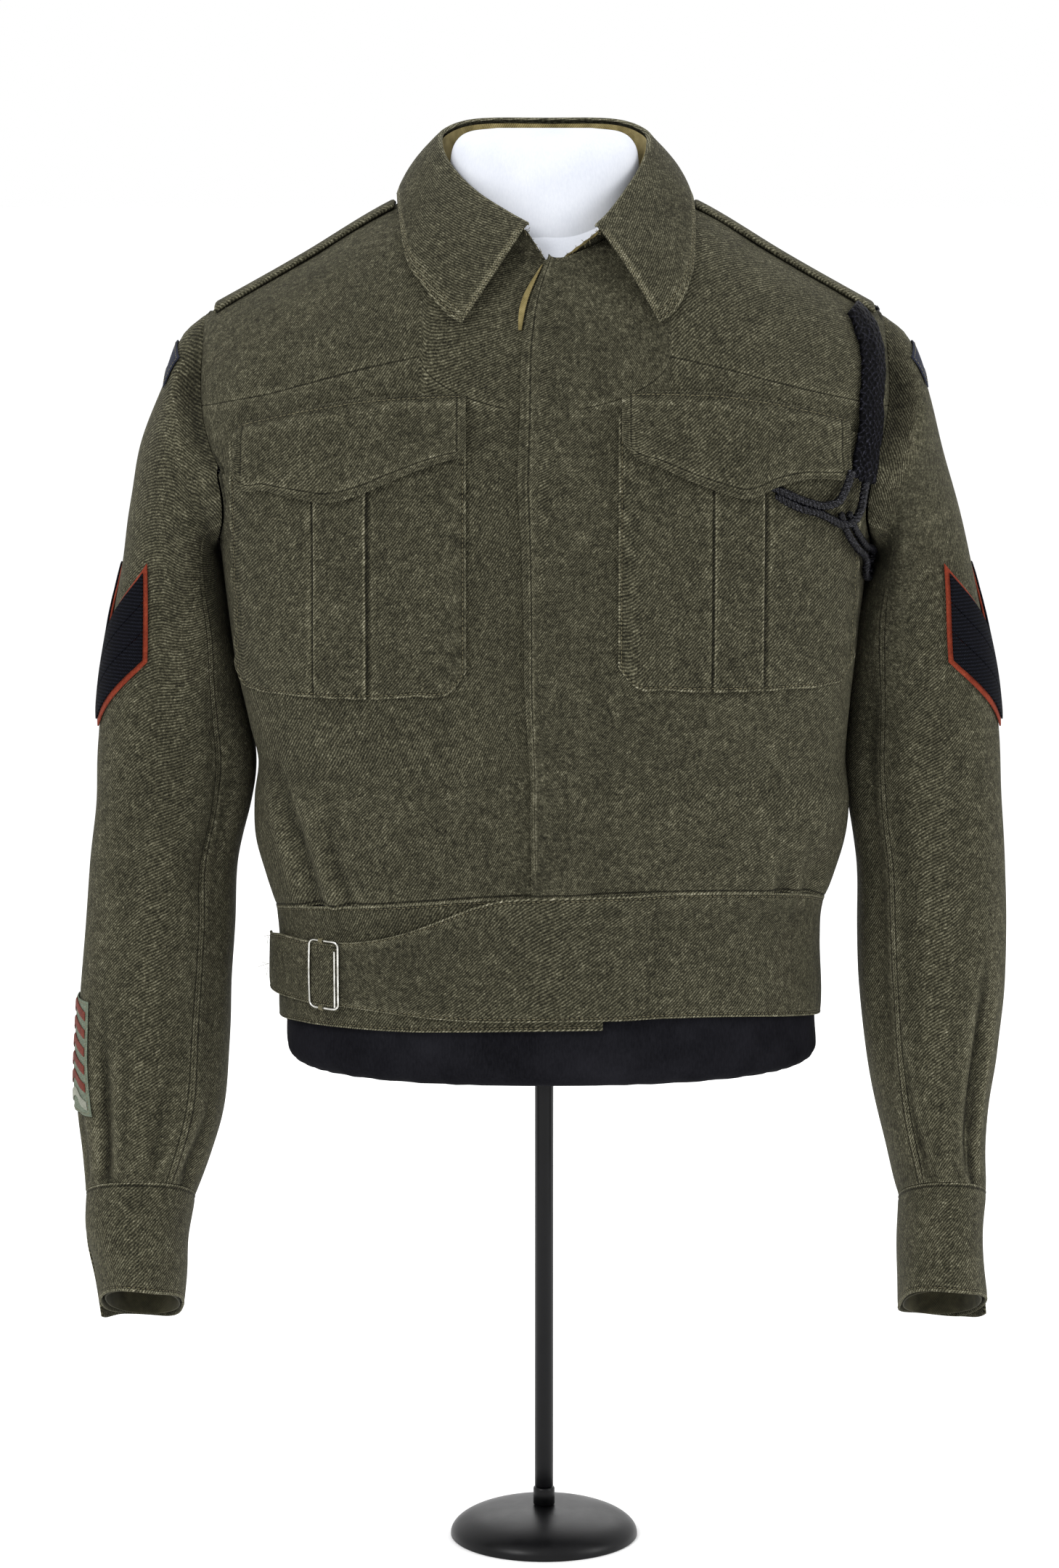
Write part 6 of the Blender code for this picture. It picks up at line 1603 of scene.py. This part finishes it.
def cuff(side, serge, olive):
    """A cuff that laps over itself, and the drill inside its mouth."""
    name = hand(side)
    wide, high = CUFF_WIDE, CUFF_HIGH
    last = len(CUFF) - 1

    def place(a, b):
        tau = CUFF_LAP_FROM + (CUFF_LAP_TO - CUFF_LAP_FROM) * a / wide
        ring = last * (1 - b / high)
        lifted = LAP_OUT * ease(tau, CUFF_LAP_TO - CUFF_RISE_FROM, CUFF_LAP_TO - CUFF_RISE_TO)
        points, normals = cuff_place(side, tau, ring)
        droop = CUFF_DROOP * ease(tau, CUFF_LAP_TO - CUFF_DROOP_FROM, CUFF_LAP_TO) * ring / last
        wave = 0.0011 * np.sin(np.radians(tau) * 5 + 1.0 + side) * ease(ring, 1.5, 3)
        points[..., 2] -= droop
        sag = 0.0012 * np.sin(np.radians(tau) * 3 + side) * ring / last
        points[..., 2] += sag + 0.0009 * (1 - ease(ring, 0, 0.3))
        return points + normals * (lifted + wave * 0.5 + ripple(points))[..., None], normals

    def pressed(a, b):
        near = np.minimum(b, np.minimum(a, wide - a))
        return -0.0004 * (groove(near - CUFF_LINE, 0.0008)
                          + groove(high - b - 0.002, 0.0008))

    shell(f"cuff_{name}", place, lines(wide, 0.003, rim(SERGE, CUFF_LINE), rim(SERGE, CUFF_LINE)),
          lines(high, 0.003, rim(SERGE, CUFF_LINE), rim(SERGE, 0.002)), SERGE, serge,
          (f"cuff_{name}",), pressed=pressed)
    sew(f"cuff_{name}", ((CUFF_LINE, high - 0.003), (CUFF_LINE, CUFF_LINE), (wide - CUFF_LINE, CUFF_LINE),
                         (wide - CUFF_LINE, high - 0.003)))

    def lining(a, b):
        points, normals = cuff_place(side, 360 * a / LINING_WIDE, 2.96 - 1.96 * b / LINING_HIGH)
        gathers = 0.0006 * np.sin(a * 230) * ease(b, 0.002, 0.012)
        return points - normals * (SERGE + 0.0007 + 0.0006 - gathers)[..., None], normals

    shell(f"cuff_lining_{name}", lining, lines(LINING_WIDE, 0.003),
          lines(LINING_HIGH, 0.003, rim(DRILL), rim(DRILL)), DRILL, olive, (f"cuff_lining_{name}",), ring=True)


# Badges

def sleeve_places(side, arc_range, z_range, count=13):
    """Degrees round and rings of a net of places on a sleeve, by arc length and height."""
    tau, ring, run, height = sleeve_chart(side)
    arcs, heights = np.linspace(*arc_range, count), np.linspace(*z_range, count)
    found = np.zeros((count, count, 2))
    for i, arc in enumerate(arcs):
        at = np.array([np.interp(arc, row, tau) for row in run])
        high = np.array([np.interp(a, tau, row) for a, row in zip(at, height)])
        here = np.interp(-heights, -high, ring)
        found[:, i] = np.stack([np.interp(here, ring, at), here], -1)
    return arcs, heights, found


def patch(name, side, start, wide, edges, thick, out, skin, nodes, step=0.0025,
          marks=(), sewn=None):
    """A piece of cloth on a sleeve. edges gives its lower and upper edge for an arc length."""
    low, high = edges(np.linspace(start, start + wide, 50))
    margin = 0.002
    arcs, heights, found = sleeve_places(side, (start - margin, start + wide + margin),
                                         (low.min() - margin, high.max() + margin))
    tall = float((high - low).mean())

    def place(a, b):
        bottom, top = edges(start + a)
        z = bottom + (top - bottom) * b / tall
        s = (start + a - arcs[0]) / (arcs[1] - arcs[0])
        t = (z - heights[0]) / (heights[1] - heights[0])
        i = np.clip(s.astype(int), 0, len(arcs) - 2)
        j = np.clip(t.astype(int), 0, len(heights) - 2)
        s, t = (s - i)[..., None], (t - j)[..., None]
        here = ((found[j, i] * (1 - s) + found[j, i + 1] * s) * (1 - t)
                + (found[j + 1, i] * (1 - s) + found[j + 1, i + 1] * s) * t)
        points = sleeve_skin(side, here[..., 0], here[..., 1])
        normals = sleeve_normal(side, here[..., 0], here[..., 1])
        move = (sleeve_crease(side, here[..., 0], here[..., 1])
                + sleeve_detail(side, here[..., 0], here[..., 1], points) + out + thick)
        return points + normals * move[..., None], normals

    shell(name, place, lines(wide, step, rim(thick), rim(thick), marks),
          lines(tall, step, rim(thick), rim(thick)), thick, skin, nodes)
    if sewn:
        sew(name, ((sewn, sewn), (wide - sewn, sewn), (wide - sewn, tall - sewn),
                   (sewn, tall - sewn), (sewn, sewn)), pitch=0.0024, length=0.0016)


def chevrons(side, red, braid):
    """Three stripes of braid on a felt ground."""
    name = hand(side)

    def backing(arc):
        low = CHEVRON_MIDDLE + np.abs(arc - CHEVRON_FORWARD)
        return low, low + CHEVRON_SIDE

    patch(f"chevron_backing_{name}", side, CHEVRON_FORWARD - CHEVRON_HALF, 2 * CHEVRON_HALF,
          backing, CHEVRON_THICK, LAYER_GAP, red, (f"chevron_backing_{name}",),
          marks=(CHEVRON_HALF,))
    inset = CHEVRON_HALF - CHEVRON_EDGE * 0.7
    pitch = (CHEVRON_SIDE - 1.6 * CHEVRON_EDGE) / 3
    for bar in range(3):
        def stripe(arc, bar=bar):
            low = CHEVRON_MIDDLE + CHEVRON_EDGE + np.abs(arc - CHEVRON_FORWARD) + bar * pitch
            return low, low + pitch - 0.0002
        patch(f"chevron_{name}_{bar + 1}", side, CHEVRON_FORWARD - inset, 2 * inset, stripe,
              CHEVRON_THICK, LAYER_GAP + CHEVRON_THICK + 0.0003, braid,
              (f"chevron_{name}_{bar + 1}",), marks=(inset,))


def service_badge(ground, maroon, pale):
    """Small felt bars on a ground of cloth."""
    def backing(arc):
        return np.full_like(arc, SERVICE_Z[0]), np.full_like(arc, SERVICE_Z[1])

    patch("service_backing", -1, SERVICE_FORWARD - SERVICE_HALF, 2 * SERVICE_HALF, backing, 0.0010,
          LAYER_GAP, ground, ("service_backing",), sewn=0.0015)
    inset = SERVICE_HALF - 0.002
    for bar in range(SERVICE_BARS):
        def stripe(arc, bar=bar):
            share = np.abs(arc - SERVICE_FORWARD) / inset
            low = SERVICE_Z[0] + 0.0035 + bar * SERVICE_PITCH + 0.0070 * (1 - share)
            return low, low + SERVICE_BAR
        patch(f"service_bar_{bar + 1}", -1, SERVICE_FORWARD - inset, 2 * inset, stripe, 0.0008,
              LAYER_GAP + 0.0011, pale if bar == 0 else maroon,
              (f"service_bar_{bar + 1}",), step=0.0018, marks=(inset,))


def shoulder_title(side, navy):
    """A bare curved strip of cloth below the shoulder."""
    name = hand(side)

    def strip(arc):
        drop = 0.010 * (arc / TITLE_HALF) ** 2
        return TITLE_Z[0] - drop, TITLE_Z[1] - drop

    patch(f"shoulder_title_{name}", side, -TITLE_HALF, 2 * TITLE_HALF, strip, 0.0010, LAYER_GAP,
          navy, (f"shoulder_title_{name}",), sewn=0.0014)


# Waistband, tab and buckle

def band(name, first, last, fit, serge, sewn=True, high=BAND_HIGH):
    """A stretch of the waistband, or its tab."""
    wide = abs(math.radians(last - first)) * BAND_REACH

    def place(a, b):
        degrees = first + (last - first) * a / wide
        low, top, out = fit(degrees, b / high)
        turn = np.radians(degrees)
        points = body(turn, low + (top - low) * b / high)
        normals = body_normal(turn, points[..., 2])
        return points + normals * (out + ripple(points))[..., None], normals

    def pressed(a, b):
        near = np.minimum(b, high - b)
        return -0.00045 * groove(near - BAND_LINE, 0.0009)

    shell(name, place, lines(wide, 0.0036, rim(SERGE, BAND_LINE), rim(SERGE)),
          lines(high, 0.0034, rim(SERGE, BAND_LINE), rim(SERGE, BAND_LINE)), SERGE, serge,
          (name,), pressed=pressed)
    if sewn:
        for b in (BAND_LINE, high - BAND_LINE):
            sew(name, ((0.002, b), (wide - 0.002, b)))


def waistband(serge):
    """The waistband in three stretches, and the tab that closes it."""
    tab_at = degrees_at(TAPER_TO, 0.39)

    def left_fit(degrees, share):
        low, high = band_edges(degrees)
        x = body(np.radians(degrees), np.full_like(degrees, 0.40))[..., 0]
        taper = ease(-x, -TAPER_FROM, -TAPER_TO)
        low = low + (TAB_LOW - low) * taper
        high = high + (TAB_TOP - high) * (0.65 * taper + 0.35 * np.clip(
            (TAPER_FROM - x) / (TAPER_FROM - TAPER_TO), 0, 1))
        return low, high + 0.0006, BAND_LAP * (1 - ease(x, 0.045, 0.075))

    def right_fit(degrees, share):
        low, high = band_edges(degrees)
        return low - 0.0065 * ease(degrees, -70, -20), high + 0.0006, 0.0

    def back_fit(degrees, share):
        low, high = band_edges(np.where(degrees > 180, degrees - 360, degrees))
        return low, high + 0.0006, 0.0

    def tab_fit(degrees, share):
        out = BAND_LAP + 0.0030 * ease(-degrees, 62, 84) + 0.0008 * np.sin(share * math.pi)
        top = TAB_TOP - 0.001 - 0.0035 * ease(-degrees, 70, 86)
        return np.full_like(degrees, TAB_LOW - 0.001), top, out

    half_seam = 0.1
    band("waistband_left", tab_at, 90 - half_seam, left_fit, serge)
    band("waistband_right", -90 + half_seam, degrees_at(0.036, 0.39), right_fit, serge)
    band("waistband_back", 90 + half_seam, 270 - half_seam, back_fit, serge)
    band("belt_tab", TAB_END, tab_at - 0.35, tab_fit, serge, high=TAB_HIGH)


def off_body(x, z, out):
    """Places at a distance out from the plain outer face of the body."""
    turn, level = spot(x, z)
    return body(turn, level) + body_normal(turn, level) * np.asarray(out)[..., None]


def buckle(wire, thread):
    """A wire frame with one doubled side, tied to the tab with thread at top and bottom."""
    (x0, x1), (z0, z1) = BUCKLE_X, BUCKLE_Z
    corner = 0.0032
    route = []
    for cx, cz, first in ((x1 - corner, z1 - corner, 0), (x0 + corner, z1 - corner, 90),
                          (x0 + corner, z0 + corner, 180), (x1 - corner, z0 + corner, 270)):
        for angle in np.radians(np.linspace(first, first + 90, 7)):
            route.append((cx + corner * math.cos(angle), cz + corner * math.sin(angle)))
    route = np.array(route)
    closed = np.concatenate([route, route[:1]])
    run = run_along(closed)
    at = np.linspace(0, run[-1], 140, endpoint=False)
    x, z = np.interp(at, run, closed[:, 0]), np.interp(at, run, closed[:, 1])
    x = x - 0.0005 * np.sin((z - z0) / (z1 - z0) * math.pi) * (x < (x0 + x1) / 2)
    out = BAND_LAP + SEAM + WIRE / 2 + 0.0007
    joined("buckle", [round_tube(off_body(x, z, out), WIRE / 2, 12, True)], wire,
           ("buckle",))
    z = np.linspace(z0 + 0.0012, z1 - 0.0060, 24)
    bar = off_body(np.full(24, x1 - WIRE - 0.0006), z, out)
    joined("buckle_bar", [round_tube(bar, WIRE / 2, 12)], wire, ("buckle_bar",))
    ties = []
    for x, z in ((-0.1370, z1), (-0.1372, z0)):
        for turn_number in range(5):
            angle = np.linspace(0, 2 * math.pi, 18)
            shift = (turn_number - 2) * 0.00055
            reach = 0.00115 + 0.0001 * turn_number
            loop = off_body(np.full(18, x + shift) + 0.0003 * np.sin(angle),
                            z + reach * np.cos(angle), out + reach * np.sin(angle))
            ties.append(round_tube(loop, 0.0003, 6))
    joined("buckle_ties", ties, thread)


# Lanyard

def on_front(x, z, out):
    """Places at a distance out from the front's folded cloth."""
    turn, level = spot(np.asarray(x, float), np.asarray(z, float))
    return body_place(turn, level, np.asarray(out, float))[0]


def lanyard(plait, yarn):
    """The plaited braid with the cords to the pocket and under the arm."""
    line = smooth_route(np.concatenate([BRAID_TOP, BRAID]), 120)
    run = run_along(line)
    along = unit(np.gradient(line, axis=0))
    side = np.stack([along[:, 1], -along[:, 0]], axis=-1)
    side = side * np.where(side[:, :1] > 0, 1, -1)
    wide = 2 * BRAID_HALF

    def place(a, b):
        at = run[-1] - b
        x0, z0, sx, sz = (np.interp(at, run, part) for part in (
            line[:, 0], line[:, 1], side[:, 0], side[:, 1]))
        share = a / wide * 2 - 1
        narrow = 1 - 0.35 * (1 - ease(at, 0.0, 0.014)) + 0.03 * np.sin(at * 500)
        x, z = x0 + sx * share * BRAID_HALF * narrow, z0 + sz * share * BRAID_HALF * narrow
        crown = BRAID_HIGH * (0.35 + 0.65 * np.sqrt(1 - np.minimum(share**2, 0.999)))
        lumps = 0.00035 * (np.sin(at * 1150 + share * 4) * np.sin(at * 1150 - share * 4))
        rest = 0.0012 + BAG_OUT * (1 - ease(z, 0.728, 0.748)) + 0.0026 * (1 - ease(z, 0.702, 0.714))
        turn, level = spot(x, np.minimum(z, shoulder_height(x) - 0.0005))
        return body_place(turn, level, rest + crown + lumps)

    shell("lanyard_braid", place, lines(wide, 0.0008), lines(run[-1], 0.0011),
          0.0020, plait, ("lanyard_braid",))

    cords = []
    for stops in LANYARD_CORDS:
        x, z, out = np.array(stops).T
        twisted_cord(cords, on_front(x, z, out), POCKET_CORD_RADIUS)
    joined("lanyard_cord_pocket", cords, yarn, ("lanyard_cord_pocket", "lanyard_knot"))

    arm = []
    for shift in (-ARM_CORD_APART, ARM_CORD_APART):
        stops = [on_front(ARM_CORD_START[0] + shift, *ARM_CORD_START[1:])]
        for x, z, out in ARM_CORD_FRONT:
            stops.append(on_front(x + shift, z + shift * 0.3, out))
        for degrees, z in UNDERARM:
            turn = np.radians(degrees)
            level = np.array(z + shift * (z < CHEST) * 0.9)
            turn = turn + (shift * 5 if z > CHEST else 0)
            stops.append(body_place(turn, level, np.array(0.0031))[0])
        twisted_cord(arm, stops, ARM_CORD_RADIUS, lay=0.0080, step=0.0012)
    joined("lanyard_cord_underarm", arm, yarn, ("lanyard_cord_underarm",))


# Loose fibres

def fibres(name, starts, length, radius, skin, seed, out=(0, -1, 0.2)):
    """Short loose ends of yarn that curl away from an edge."""
    random = np.random.default_rng(seed)
    parts = []
    for start in starts:
        for _ in range(2):
            aim = unit(np.array(out, float) + random.normal(0, 0.6, 3))
            bend = unit(random.normal(0, 1, 3))
            reach = length * random.uniform(0.5, 1.2)
            t = np.linspace(0, 1, 7)[:, None]
            route = start + random.normal(0, 0.0004, 3) + aim * reach * t + bend * reach * 0.5 * t**2
            parts.append(round_tube(route, radius, 5))
    joined(name, parts, skin)


def worn_edges(yarn, thread):
    """Frayed yarn at the collar stand's ends, threads on the tab and a bit of lint."""
    def on_piece(name, a, b):
        return at_piece(name, np.array([a]), np.array([b]))[0][0]

    wide, high = PIECES["collar_stand"][0][-1], PIECES["collar_stand"][1][-1]
    starts = []
    for end in (0.0008, wide - 0.0008):
        for b in np.linspace(0.004, high - 0.001, 9):
            starts.append(on_piece("collar_stand", end, b))
    for a in np.concatenate([np.linspace(0.002, 0.02, 8), wide - np.linspace(0.002, 0.02, 8)]):
        starts.append(on_piece("collar_stand", a, high - 0.0006))
    fibres("frayed_throat", starts, 0.0030, 0.00018, yarn, 3)
    tips = [on_piece("belt_tab", 0.0005, b) for b in (0.012, 0.016, 0.036)]
    fibres("tab_threads", tips, 0.0055, 0.00014, yarn, 5, (-1, -0.3, -0.1))
    lint = on_front(0.196, 0.745, 0.0004)
    fibres("lint", [lint], 0.006, 0.00016, thread, 9, (0.2, -0.2, -1))


# Form and stand

def loft(name, rings, skin, nodes):
    """A closed form through rings of points, its ends drawn to their middles."""
    rows, columns = rings.shape[:2]
    points = np.concatenate([rings.reshape(-1, 3), [rings[0].mean(0), rings[-1].mean(0)]])
    cell, _, _ = corners(rows, columns, True)
    cells = cell.tolist()
    for i in range(columns):
        k = (i + 1) % columns
        cells.append((rows * columns, k, i))
        cells.append((rows * columns + 1, (rows - 1) * columns + i, (rows - 1) * columns + k))
    return mesh_object(name, points, cells, None, skin, nodes)


def level_ring(turns, side, deep, square, z):
    """A level ring with a half width and a depth."""
    return np.stack([side * power(np.sin(turns), square), -deep * power(np.cos(turns), square),
                     np.full_like(turns, z)], -1)


def dress_form(white, black):
    """The jersey-covered torso with its neck, and the black lower part."""
    levels = np.concatenate([np.linspace(FORM_SPLIT + SEAM, CHEST, 40),
                             CHEST + np.sin(np.linspace(0.03, 1, 30) * math.pi / 2) * 0.97])
    rings = np.array([form_ring(level) for level in levels])
    rings[0, :, 2] = FORM_SPLIT + SEAM
    loft("form_torso", rings, white, ("form_torso",))
    turns = np.linspace(0, 2 * math.pi, 120, endpoint=False)
    rows = np.arange(len(NECK), dtype=float)
    table = through(rows, NECK, np.linspace(0, len(NECK) - 1, 60))
    neck = []
    for z, half, ahead, behind in table:
        neck.append(level_ring(turns, half, np.where(np.cos(turns) > 0, ahead, behind), 2.2, z))
    loft("form_neck", np.array(neck), white, ())
    table = through(np.arange(len(LOWER), dtype=float), LOWER, np.linspace(0, len(LOWER) - 1, 50))
    lower = []
    for z, right, left, ahead, behind, square in table:
        gather = 0.0011 * (1 - ease(z, 0.323, 0.350)) * np.sin(turns * 46 + 3 * np.sin(turns * 5))
        side = np.where(np.sin(turns) > 0, left, right) + gather
        deep = np.where(np.cos(turns) > 0, ahead, behind) + gather
        lower.append(level_ring(turns, side, deep, square, z))
    loft("form_lower", np.array(lower), black, ("form_lower",))


def turned(name, profile, skin, nodes, sides):
    """A form turned on a lathe through a profile of radii and heights."""
    turns = np.linspace(0, 2 * math.pi, sides, endpoint=False)
    rings = [np.stack([r * np.cos(turns), r * np.sin(turns), np.full(sides, z)], -1)
             for r, z in profile]
    return loft(name, np.array(rings), skin, nodes)


def stand(paint):
    """The pole in its socket on the round base."""
    low = BASE_HIGH + SEAM
    top = low + SOCKET_HIGH
    turned("stand_pole", [(POLE_RADIUS - 0.0004, top + SEAM), (POLE_RADIUS, top + SEAM + 0.0006)]
           + [(POLE_RADIUS, z) for z in np.linspace(top + 0.02, FORM_FOOT - SEAM - 0.001, 12)]
           + [(POLE_RADIUS - 0.0004, FORM_FOOT - SEAM)], paint, ("stand_pole",), sides=40)
    turned("stand_socket", [(SOCKET_RADIUS - 0.0006, low), (SOCKET_RADIUS, low + 0.0006),
                            (SOCKET_RADIUS, top - 0.0012), (SOCKET_RADIUS - 0.0004, top - 0.0004),
                            (SOCKET_RADIUS - 0.0009, top)], paint, ("stand_socket",), sides=48)
    flat = SOCKET_RADIUS + 0.001
    reach = BASE_RADIUS - flat
    rise = np.radians(np.linspace(0, 90, 28))
    profile = [(BASE_RADIUS - 0.0007, 0.0), (BASE_RADIUS, 0.0006)]
    dome = [(flat + reach * math.sin(a), BASE_RIM + (BASE_HIGH - BASE_RIM) * math.cos(a)) for a in rise]
    profile += dome[::-1] + [(flat - 0.002, BASE_HIGH)]
    turned("stand_base", profile, paint, ("stand_base",), sides=128)


def floor(paper):
    """A wide flat floor of matt paper under the stand."""
    mesh = bpy.data.meshes.new("floor")
    half = 60.0
    points = [(-half, -half, 0.0), (half, -half, 0.0), (half, half, 0.0), (-half, half, 0.0)]
    mesh.from_pydata(points, [], [(0, 1, 2, 3)])
    mesh.materials.append(paper)
    made = bpy.data.objects.new("floor", mesh)
    bpy.context.scene.collection.objects.link(made)


def main():
    """Builds the studio, the blouse, the form and the stand."""
    camera()
    studio()
    floor(floor_paper())
    serge = wool_serge("wool serge", 42.0)
    turned_serge = wool_serge("wool serge on a mirrored net", -42.0)
    cross = wool_serge("wool serge across", 82.0)
    khaki = drill("khaki drill", ((0.35, "#4A4228"), (0.6, "#766A42"), (0.85, "#958860")))
    olive = drill("olive drill", ((0.35, "#1E1D14"), (0.6, "#343224"), (0.85, "#4A4735")))
    thread = sewing_thread("khaki sewing thread", "#57523A", "#6E6749")
    plait, yarn = plaited_cord(), twisted_yarn()
    front(-1, turned_serge)
    front(1, serge)
    back(turned_serge)
    fly(khaki)
    pocket(-1, BAG_RIGHT, FLAP_RIGHT, PLEAT_RIGHT, serge)
    pocket(1, BAG_LEFT, FLAP_LEFT, PLEAT_LEFT, serge)
    collar(cross, khaki)
    red = felt("red felt", ((0.35, "#5A2216"), (0.55, "#762F1D"), (0.75, "#8E4630")))
    maroon = felt("maroon felt", ((0.35, "#4A231C"), (0.55, "#653229"), (0.75, "#7C463A")))
    pale = felt("pale grey felt", ((0.35, "#6A6C62"), (0.55, "#85877B"), (0.75, "#9C9D90")))
    braid = ribbed_braid()
    navy = plain_cloth("navy cloth", "#14161F", "#212431", "#363A48")
    ground = plain_cloth("grey green cloth", "#4A5246", "#626A5C", "#7C8473")
    for side in (-1, 1):
        shoulder_strap(side, serge)
        sleeve(side, turned_serge if side > 0 else serge)
        cuff(side, turned_serge if side > 0 else serge, olive)
        chevrons(side, red, braid)
        shoulder_title(side, navy)
    armhole_allowances(serge)
    service_badge(ground, maroon, pale)
    waistband(serge)
    buckle(plated_wire(), thread)
    lanyard(plait, yarn)
    worn_edges(thread, sewing_thread("loose tan thread", "#8C6A3C", "#A88450"))
    stitches("stitching", thread)
    dress_form(jersey("white cotton jersey", "#C4C8D1", "#D2D5DC"),
               jersey("black cotton jersey", "#0D0D10", "#1B1B1F"))
    stand(stand_paint())


main()
